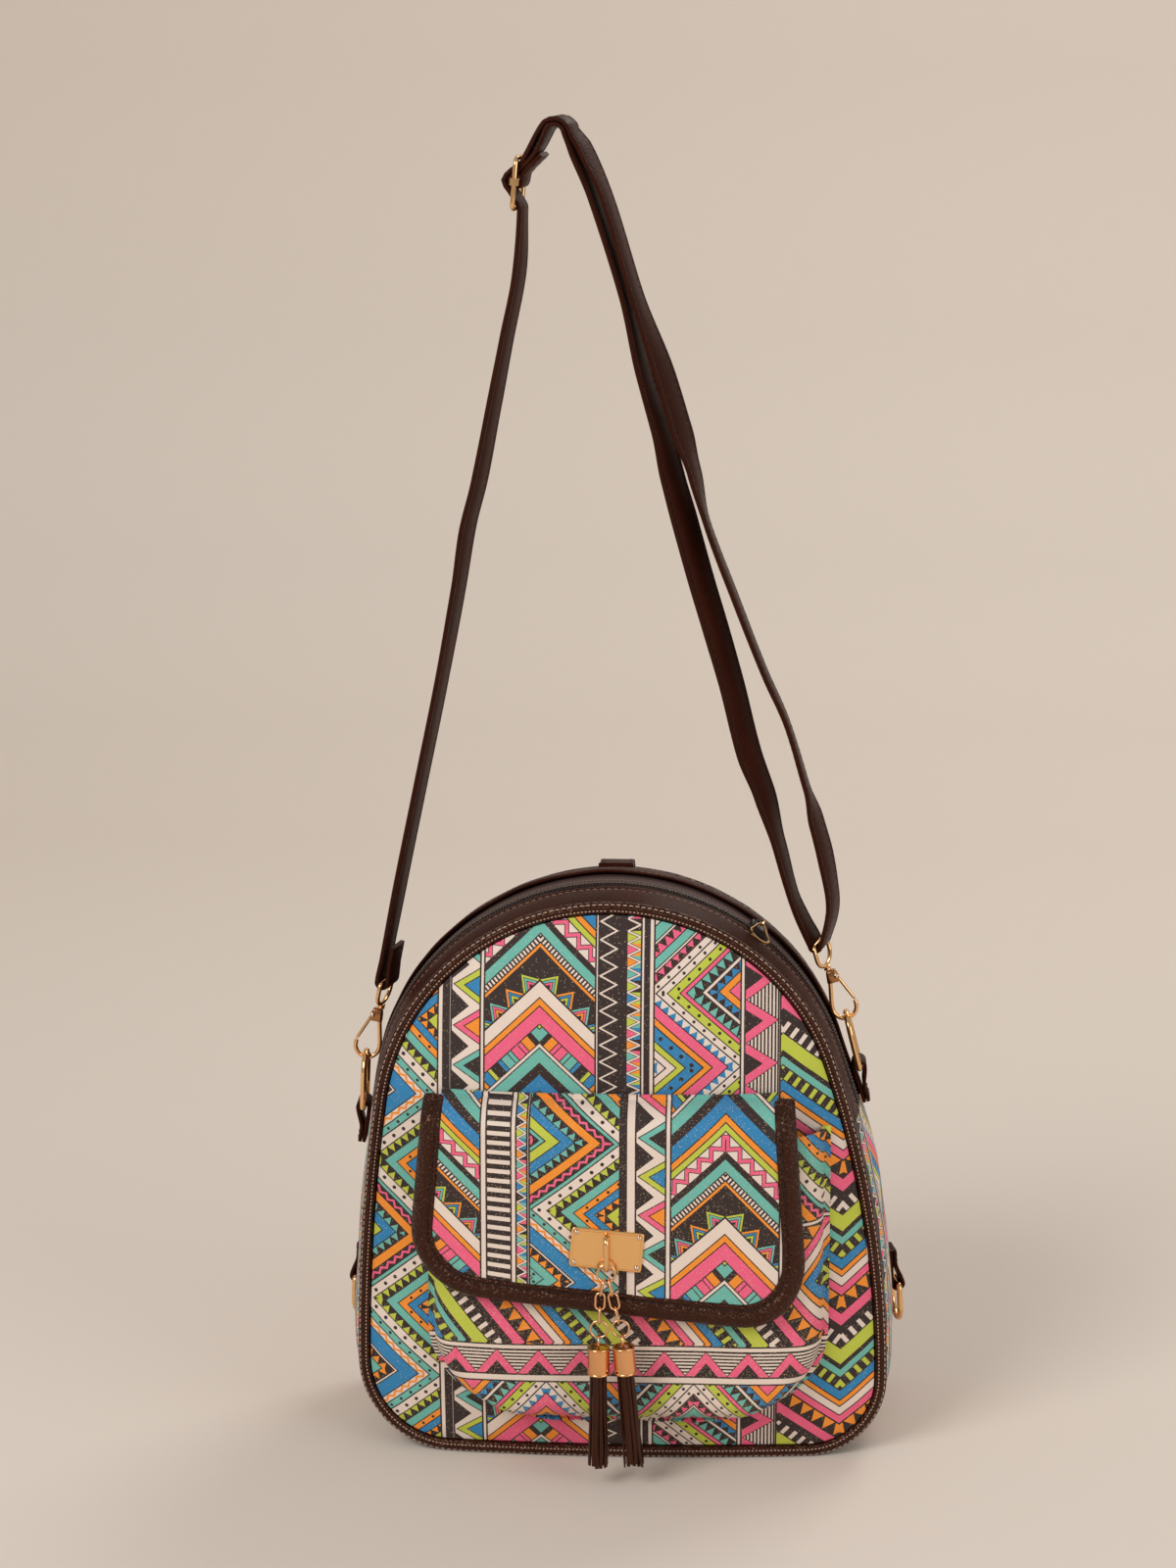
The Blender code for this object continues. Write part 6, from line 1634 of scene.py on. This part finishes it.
def leg_points(route, bars):
    made = []
    for x, z, turn in route:
        side = "left" if x < STRAP_APEX_X / MM - 12 else "right"
        foot_x, foot_z = DRAWN_EYES[side]
        share = (z - foot_z) / (DRAWN_TOP - foot_z)
        bar = bars[side][0]
        foot = Vector((bar.x - foot_x * MM, 0, bar.z - foot_z * MM))
        head = Vector((STRAP_APEX_X - DRAWN_APEX * MM, 0, STRAP_APEX_Z - DRAWN_TOP * MM))
        made.append((Vector((x * MM, 0, z * MM)) + foot.lerp(head, share), level(turn)))
    return made


def wrap(centre, radius, across, degrees):
    """Points round a bar, in the plane square to it"""
    flat = Vector((across.y, -across.x, 0)).normalized()
    high = across.cross(flat).normalized() * -1
    made = []
    for angle in degrees:
        a = math.radians(angle)
        made.append((centre + radius * (math.cos(a) * flat + math.sin(a) * high), across))
    return made


def adjuster_point(side, up):
    """Point of the adjuster's middle plane: side is to the right of its bars, up is along it"""
    turn = math.radians(ADJUSTER_TURN)
    flat = Vector((math.cos(turn), -math.sin(turn), 0))
    axis = (Vector((0, 0, 1)) + flat * math.tan(ADJUSTER_TILT)).normalized()
    out = (flat - axis * flat.dot(axis)).normalized()
    return Vector((ADJUSTER_X, 0, ADJUSTER_Z)) + out * side + axis * up


def strap_route(bars):
    """Sewn round the adjuster's bar, over the apex to the right hook and back, through the adjuster
    and down to the left hook, where it is sewn again"""
    round_eye = EYE_WIRE + CURVE_GAP + 0.1 * MM + STRAP_T / 2
    round_bar = ADJUSTER_WIRE + CURVE_GAP + 0.1 * MM + STRAP_T / 2
    layer = STRAP_T + 0.9 * MM
    high = ADJUSTER_HALF
    bar = ADJUSTER_BAR_RISE
    turn = level(ADJUSTER_TURN)
    apex = Vector((STRAP_APEX_X, 0, STRAP_APEX_Z - APEX_RADIUS))
    inner = APEX_RADIUS - STRAP_T - 0.4 * MM
    lap = [(adjuster_point(round_bar + 2 * layer + 2 * MM, high + 2.5 * MM), turn),
           (adjuster_point(round_bar + 2 * layer, high), turn),
           (adjuster_point(round_bar + 0.5 * MM, bar + 4 * MM), turn)]
    fold = []
    for angle in (10, -35, -80, -125, -170, -205):
        a = math.radians(angle)
        fold.append((adjuster_point(round_bar * math.cos(a), bar + round_bar * math.sin(a)), turn))
    rise = [(adjuster_point(round_bar + layer, high), turn),
            (adjuster_point(round_bar + layer + 3 * MM, high + 5 * MM), turn)]
    over_inner = wrap(apex, inner, level(APEX_TURN), (140, 105, 70, 35, 5))
    down = leg_points(INNER_LEG, bars)
    eye = wrap(bars["right"][0], round_eye, bars["right"][1], (180, 225, 270, 315, 360))
    up = leg_points(OUTER_LEG, bars)[::-1]
    over_outer = wrap(apex, APEX_RADIUS, level(APEX_TURN), (5, 35, 70, 105, 140))
    bend = math.radians(40)
    near, drop = round_bar * math.cos(bend), round_bar * math.sin(bend)
    course = ((round_bar, high), (near, high - drop), (-0.9 * round_bar, bar + 5 * MM),
              (-round_bar - layer, bar), (-0.9 * round_bar, bar - 5 * MM), (near, drop - high),
              (round_bar, -high))
    through = [(adjuster_point(out, along), turn) for out, along in course]
    left = leg_points(LEFT_LEG, bars)[::-1]
    foot, across = bars["left"]
    end = wrap(foot, round_eye, across, (180, 225, 270, 315, 360))
    tail = [(foot + Vector((3.6 * MM, 0, 0.45 * STRAP_LAP)), across),
            (foot + Vector((5.6 * MM, 0, STRAP_LAP)), level(EYE_TURNS["left"]))]
    return lap + fold + rise + over_inner + down + eye + up + over_outer + through + left + end + tail


def make_strap(bars):
    """One band with turned edges, a lining of its own tone and a row of stitches at each edge"""
    points, widths = curve_through(strap_route(bars), 3.5 * MM)
    frames = along_frames(points, side=widths)
    sections = ribbon_sections(points, widths, STRAP_WIDTH, STRAP_T)
    mesh = loft("strap", sections, sharp=40)
    piece("strap_leather", mesh, STRAP_LEATHER, replaces=("strap",))
    mesh.materials.append(LINING)
    count = len(RIBBON_PROFILE) * 2
    for face in mesh.polygons:
        places = sorted(i % count for i in face.vertices)
        if len(face.vertices) == 4 and 3 <= places[0] and places[-1] <= 9:
            face.material_index = 1
    sew_edges("strap", points, frames, STRAP_WIDTH, 0.392, STRAP_T, 0.22 * MM)


def make_adjuster():
    """Wire frame of the adjuster, with round corners"""
    turn = math.radians(ADJUSTER_TURN)
    across = Vector((math.sin(turn), math.cos(turn), 0))
    half = STRAP_WIDTH / 2 + ADJUSTER_PLAY + ADJUSTER_WIRE
    shape = rounded(half, ADJUSTER_HALF, 2 * EYE_BEND, 0.0)
    points = [adjuster_point(0.0, z) + across * x for x, z in shape]
    flat = (adjuster_point(MM, 0.0) - adjuster_point(0.0, 0.0)).normalized()
    mesh = wire("strap_adjuster", points, ADJUSTER_WIRE, True, 16, flat)
    metal("adjuster_frame", mesh, GOLD, "bag", "strap_adjuster")


def make_top_loop():
    """Band sewn on the rear strip, over the back edge and down to the back panel"""
    run = LOOP_X - ARCH_SHIFT
    seat = GAP + LOOP_T / 2
    seam = SEAM_DEPTH / 2
    near = seam - LOOP_T
    edge = sag(outline_at(run)[0] + Vector((0, seam, 0))).z
    low = edge - LOOP_DROP
    stand = BEAD_RADIUS + LOOP_STAND
    back = rear_face_y(LOOP_X, low) + seat
    path = [(LOOP_FRONT_Y, gusset_point(run, LOOP_FRONT_Y).z + seat)]
    for share in (0.3, 0.65):
        y = blend(LOOP_FRONT_Y, near, share)
        path.append((y, gusset_point(run, y).z + seat + share * LOOP_RISE))
    path += [(near, edge + seat + LOOP_RISE), (seam + 0.6 * stand, edge + LOOP_RISE / 2),
             (seam + stand, edge - 0.16 * LOOP_DROP), (seam + stand, edge - 0.42 * LOOP_DROP),
             (blend(seam + stand, back, 0.7), edge - 0.7 * LOOP_DROP), (back + GAP, low + 0.15 * LOOP_DROP),
             (back, low)]
    points, widths = curve_through([(Vector((LOOP_X, y, z)), Vector((1, 0, 0))) for y, z in path], 2.5 * MM)
    name = "top_loop_leather"
    mesh = loft(name, ribbon_sections(points, widths, LOOP_WIDTH, LOOP_T), sharp=40)
    piece(name, mesh, LEATHER, replaces=("top_loop",))
    sew_edges(name, points, along_frames(points, side=widths), LOOP_WIDTH, 0.385, LOOP_T, 0.24 * MM)


# Plate and tassels


def turned(name, profile, place, steps):
    """Solid turned about Z from (radius, height) pairs, brought to its place"""
    sections = []
    for radius, height in profile:
        ring = circle(Vector((0, 0, height)), Vector((1, 0, 0)), Vector((0, 1, 0)), radius, steps)
        sections.append([place @ point for point in ring])
    return loft(name, sections, sharp=40)


def rounded(half_x, half_z, radius, inset):
    """Rectangle with round corners, drawn in by the inset"""
    bend = max(radius - inset, 0.05 * MM)
    points = []
    wide, high = half_x - inset - bend, half_z - inset - bend
    for k, (x, z) in enumerate(((1, 1), (-1, 1), (-1, -1), (1, -1))):
        points += arc(x * wide, z * high, bend, 90 * k, 90 * (k + 1), 7)
    return points


def plate_place():
    back = flap_point(PLATE_X - FLAP_X, FLAP_TOP - PLATE_Z).y - PLATE_SEAT
    return Matrix.Translation((PLATE_X, back, PLATE_Z)) @ Matrix.Rotation(PLATE_TURN, 4, "Y")


def make_plate():
    """Flat plate with a thin line inside its rim, and a dome rivet in each corner"""
    place = plate_place()
    sections = []
    for inset, depth in ((0.5, 0.0), (0.1, 0.1), (0.0, 0.4), (0.0, 1.0), (0.12, 1.25), (0.4, 1.4),
                         (0.95, 1.4), (1.05, 1.12), (1.4, 1.12), (1.5, 1.4)):
        ring = rounded(PLATE_WIDTH / 2, PLATE_HEIGHT / 2, 1.6 * MM, inset * MM)
        sections.append([place @ Vector((x, -depth * MM, z)) for x, z in ring])
    metal("plate_metal", loft("plate_metal", sections, sharp=50), BRUSHED, "bag", "plate")
    number = 0
    for x in (-1, 1):
        for z in (-1, 1):
            number += 1
            centre = place @ Vector((x * (PLATE_WIDTH / 2 - RIVET_MARGIN), -PLATE_T - GAP,
                                     z * (PLATE_HEIGHT / 2 - RIVET_MARGIN)))
            dome = [(RIVET_RADIUS * 0.96, 0.0)]
            dome += [(RIVET_RADIUS * math.cos(a), RIVET_HEIGHT * (0.15 + 0.85 * math.sin(a)))
                     for a in spread(0.0, 1.5, 8)]
            seat = Matrix.Translation(centre) @ Matrix.Rotation(math.pi / 2, 4, "X")
            name = "plate_rivet_%d" % number
            metal(name + "_dome", turned(name, dome, seat, 24), SILVER, "bag", name)


def make_staple():
    """Upright bow in the middle of the plate, which the jump ring hangs in"""
    back = plate_place().translation.y - PLATE_T - GAP
    front = back + GAP - STAPLE_REACH
    soft = 2.4 * MM
    path = [(back, STAPLE_TOP, 90), (back - MM, STAPLE_TOP, 90)]
    for corner, start in ((STAPLE_TOP - soft, 90), (STAPLE_BOTTOM + soft, 180)):
        for degrees in spread(start, start + 90, 7):
            a = math.radians(degrees)
            path.append((front + soft + soft * math.cos(a), corner + soft * math.sin(a), degrees))
    path += [(back - MM, STAPLE_BOTTOM, 270), (back, STAPLE_BOTTOM, 270)]
    points, radii = [], []
    for y, z, degrees in path:
        more = STAPLE_SWELL * smooth((back - y) / (3 * MM))
        a = math.radians(degrees)
        points.append(Vector((PLATE_X, y + more * math.cos(a), z + more * math.sin(a))))
        radii.append(STAPLE_WIRE + more)
    mesh = wire("plate_staple", points, radii, side=Vector((1, 0, 0)), sides=16)
    metal("staple_wire", mesh, GOLD, "bag", "plate_staple")
    return front


def make_tassels():
    """Jump ring, and on it the chains with their rings, caps and fringes"""
    plane = make_staple() + STAPLE_WIRE + GAP + CHAIN_WIRE
    top = STAPLE_BOTTOM + STAPLE_WIRE + GAP + CHAIN_WIRE
    centre = Vector((PLATE_X, plane, top - JUMP_RING_RADIUS))
    across, high, deep = Vector((1, 0, 0)), Vector((0, 0, 1)), Vector((0, 1, 0))
    mesh = wire("jump_ring", circle(centre, across, high, JUMP_RING_RADIUS), SEEN_WIRE, True, 12, deep)
    metal("jump_ring_wire", mesh, ROSE, "jump_ring", "jump_ring")
    for name, side in SIDES.items():
        start = CHAIN_SPREAD * side
        pivot = centre + JUMP_RING_RADIUS * Vector((math.sin(start), 0, -math.cos(start)))
        leans = [math.radians(side * degrees) for degrees in CHAIN_LEANS[name]]
        above = 2 * CHAIN_WIRE + GAP
        for number in range(4):
            down = Vector((math.sin(leans[number]), 0, -math.cos(leans[number])))
            flat = Vector((-down.z, 0, down.x))
            reach = LINK_LENGTH if number < 3 else 2 * TASSEL_RING_RADIUS
            middle = pivot + down * (reach / 2 - above)
            if number < 3:
                wide = flat if number % 2 else deep
                points = [middle + down * x + wide * z for x, z in link_outline()]
                label = "%s_link_%d" % (name, number + 1)
                mesh = wire(label, points, SEEN_WIRE, True, 12, down.cross(wide))
            else:
                label = name + "_tassel_ring"
                points = circle(middle, flat, down, TASSEL_RING_RADIUS)
                mesh = wire(label, points, SEEN_WIRE, True, 12, deep)
            metal(label + "_wire", mesh, ROSE, label, label)
            pivot = pivot + down * (reach - above)
        make_tassel(name, pivot, leans[4])


def link_outline():
    """Straight-sided oval link, from its middle"""
    half, bend = LINK_LENGTH / 2, LINK_WIDTH / 2
    right = arc(half - bend, 0.0, bend, -90.0, 90.0, 13)
    return right + [(-x, -z) for x, z in right]


def make_tassel(name, pivot, lean):
    place = Matrix.Translation(pivot) @ Matrix.Rotation(-lean, 4, "Y")
    eye_top = 2 * CHAIN_WIRE + 1.2 * GAP
    floor = eye_top - 2 * CAP_EYE_RADIUS - 0.2 * MM
    rim = -CAP_RIM_DROP
    foot = rim - CAP_LENGTH
    body = CAP_RADIUS - CAP_LIP
    inside = body - CAP_WALL
    seat = foot + FRINGE_SEAT
    bead = 0.65 * MM
    profile = [(0.05 * MM, floor), (inside, floor), (inside, rim - 0.3 * MM)]
    profile += arc(CAP_RADIUS - bead, rim - bead, bead, 170.0, -60.0, 9)
    profile += [(body, rim - 1.9 * MM), (body + 0.02 * MM, foot + 2.1 * MM)]
    profile += arc(CAP_RADIUS - bead, foot + bead, bead, 60.0, -110.0, 8)
    profile += [(inside, foot + 0.3 * MM), (inside, seat), (0.05 * MM, seat)]
    mesh = turned(name + "_cap", profile, place, 48)
    body_name = name + "_tassel"
    metal(name + "_cap_shell", mesh, COPPER, body_name, name + "_tassel_cap")
    spot = place @ Vector((0, 0, eye_top - CAP_EYE_RADIUS))
    turn = place.to_3x3()
    points = circle(spot, turn @ Vector((0, 1, 0)), turn @ Vector((0, 0, 1)), CAP_EYE_RADIUS)
    mesh = wire(name + "_cap_eye", points, CHAIN_WIRE, True, 12, turn @ Vector((1, 0, 0)))
    metal(name + "_cap_eye_wire", mesh, ROSE, body_name)
    make_fringe(name, place, inside - 0.5 * MM, seat - GAP, foot)


def make_fringe(name, place, radius, top, foot):
    """Thin strips that hang from the cap, a full outer round and a looser inner one"""
    seed = 5.0 if name == "left" else 9.0
    bm = bmesh.new()
    for count, share, wide in ((13, 0.9, 1.75), (8, 0.5, 1.6)):
        for number in range(count):
            angle = 2 * math.pi * (number + 0.5 * share) / count
            length = FRINGE_LENGTH * (1 - 0.035 * (1 + ruffle(Vector((number * 0.37, share, seed)), 1.0)))
            out = radius * (share + (0.1 if number % 2 else -0.04))
            strip_of_fringe(bm, place, angle, out, top, foot, length, wide * MM, seed + number)
    mesh = close_mesh(bm, name + "_fringe", 50)
    piece(name + "_fringe_strips", mesh, SUEDE, name + "_tassel", (name + "_fringe",))


# Section of a strip of the fringe, by its width and thickness
STRIP_THICK = 0.55 * MM
STRIP_PROFILE = ((-0.5, -0.5), (0.5, -0.5), (0.5, 0.2), (0.3, 0.5), (-0.3, 0.5), (-0.5, 0.2))


def strip_of_fringe(bm, place, angle, radius, top, foot, length, wide, seed):
    rings = []
    for share in spread(0.0, 1.0, 15):
        z = blend(top, foot - length, share)
        gone = max(0.0, (foot - z) / length)
        wave = 0.05 * gone * ruffle(Vector((seed, gone * 2.2, 0)), 1.0)
        sway = 0.35 * MM * gone * ruffle(Vector((gone * 2.0, seed, 4)), 1.0)
        out = radius * (1 + (FRINGE_FLARE - 1) * gone) + sway
        turn = angle + 2.2 * wave
        twist = turn + 0.7 * gone * ruffle(Vector((seed, 2.0, gone * 1.5)), 1.0)
        centre = Vector((out * math.cos(turn), out * math.sin(turn), z))
        side = Vector((-math.sin(twist), math.cos(twist), 0)) * wide
        face = Vector((math.cos(twist), math.sin(twist), 0)) * STRIP_THICK
        rings.append([place @ (centre + side * x + face * y) for x, y in STRIP_PROFILE])
    skin(bm, rings)


# Stage


def make_stage():
    colour = linear(0.86, 0.81, 0.76)
    graph = Graph("backdrop", colour)
    graph.finish(colour, 0.9)
    bm = bmesh.new()
    profile = [(-3.0, 0.0), (1.2, 0.0), (1.5, 0.03), (1.75, 0.14), (1.92, 0.34), (2.0, 0.6), (2.0, 3.2)]
    rows = [[bm.verts.new((x, y, z)) for y, z in profile] for x in (-4.0, 4.0)]
    for i in range(len(profile) - 1):
        bm.faces.new((rows[0][i], rows[1][i], rows[1][i + 1], rows[0][i + 1]))
    mesh = bpy.data.meshes.new("backdrop")
    bm.to_mesh(mesh)
    bm.free()
    mesh.shade_smooth()
    floor = bpy.data.objects.new("backdrop", mesh)
    bpy.context.scene.collection.objects.link(floor)
    mesh.materials.append(graph.material)


def lamp(name, place, aim, width, power):
    light = bpy.data.lights.new(name, "AREA")
    light.shape = "SQUARE"
    light.size = width
    light.energy = power
    made = bpy.data.objects.new(name, light)
    bpy.context.scene.collection.objects.link(made)
    made.location = place
    made.rotation_mode = "QUATERNION"
    made.rotation_quaternion = (Vector(aim) - Vector(place)).to_track_quat("-Z", "Y")


# Light of the room, and the lamps with their places, aims, widths and powers
ROOM_TINT = (1.0, 0.985, 0.96, 1.0)
ROOM_STRENGTH = 0.42
LAMPS = (("key", (-1.5, -1.9, 1.9), (0, 0, 0.25), 1.3, 42),
         ("fill", (1.9, -1.5, 1.0), (0, 0, 0.25), 1.6, 16),
         ("rim", (0.9, 1.3, 1.8), (0, 0, 0.3), 0.9, 14))


def make_lights():
    world = bpy.data.worlds.new("studio")
    bpy.context.scene.world = world
    world.use_nodes = True
    background = world.node_tree.nodes["Background"]
    background.inputs["Color"].default_value = ROOM_TINT
    background.inputs["Strength"].default_value = ROOM_STRENGTH
    for name, place, aim, width, power in LAMPS:
        lamp(name, place, aim, width, power)


CAMERA_TARGET = Vector((-0.019, 0.0, 0.3285))
CAMERA_AZIMUTH = math.radians(2.5)
CAMERA_ELEVATION = math.radians(13.0)
CAMERA_DISTANCE = 1.82


def make_camera():
    level_part = math.cos(CAMERA_ELEVATION)
    back = Vector((math.sin(CAMERA_AZIMUTH) * level_part, -math.cos(CAMERA_AZIMUTH) * level_part,
                   math.sin(CAMERA_ELEVATION)))
    data = bpy.data.cameras.new("camera")
    data.lens = 85.0
    data.sensor_width = 36.0
    data.sensor_fit = "AUTO"
    camera = bpy.data.objects.new("camera", data)
    bpy.context.scene.collection.objects.link(camera)
    camera.location = CAMERA_TARGET + back * CAMERA_DISTANCE
    camera.rotation_mode = "QUATERNION"
    camera.rotation_quaternion = (-back).to_track_quat("-Z", "Y")
    bpy.context.scene.camera = camera


def dress_metal():
    """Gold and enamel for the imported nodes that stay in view"""
    for name, node in NODES.items():
        if not node.hide_render:
            node.data.materials.clear()
            node.data.materials.append(ENAMEL if name == "zip_slider" else GOLD)


def build():
    make_camera()
    make_stage()
    make_lights()
    make_panel("front_panel", front_face_y, -1, 2.0)
    make_panel("back_panel", back_face_y, 1, 9.0)
    make_piping("front_piping", front_seam_y, -1)
    make_piping("back_piping", lambda point: SEAM_DEPTH / 2, 1)
    make_lower_gusset()
    make_zip_gusset()
    make_pocket()
    make_flap()
    make_binding()
    make_plate()
    make_tassels()
    make_strap(make_hooks(make_tabs_and_rings()))
    make_adjuster()
    make_top_loop()
    dress_metal()


build()
bpy.context.scene.view_settings.view_transform = "Standard"
bpy.context.view_layer.update()
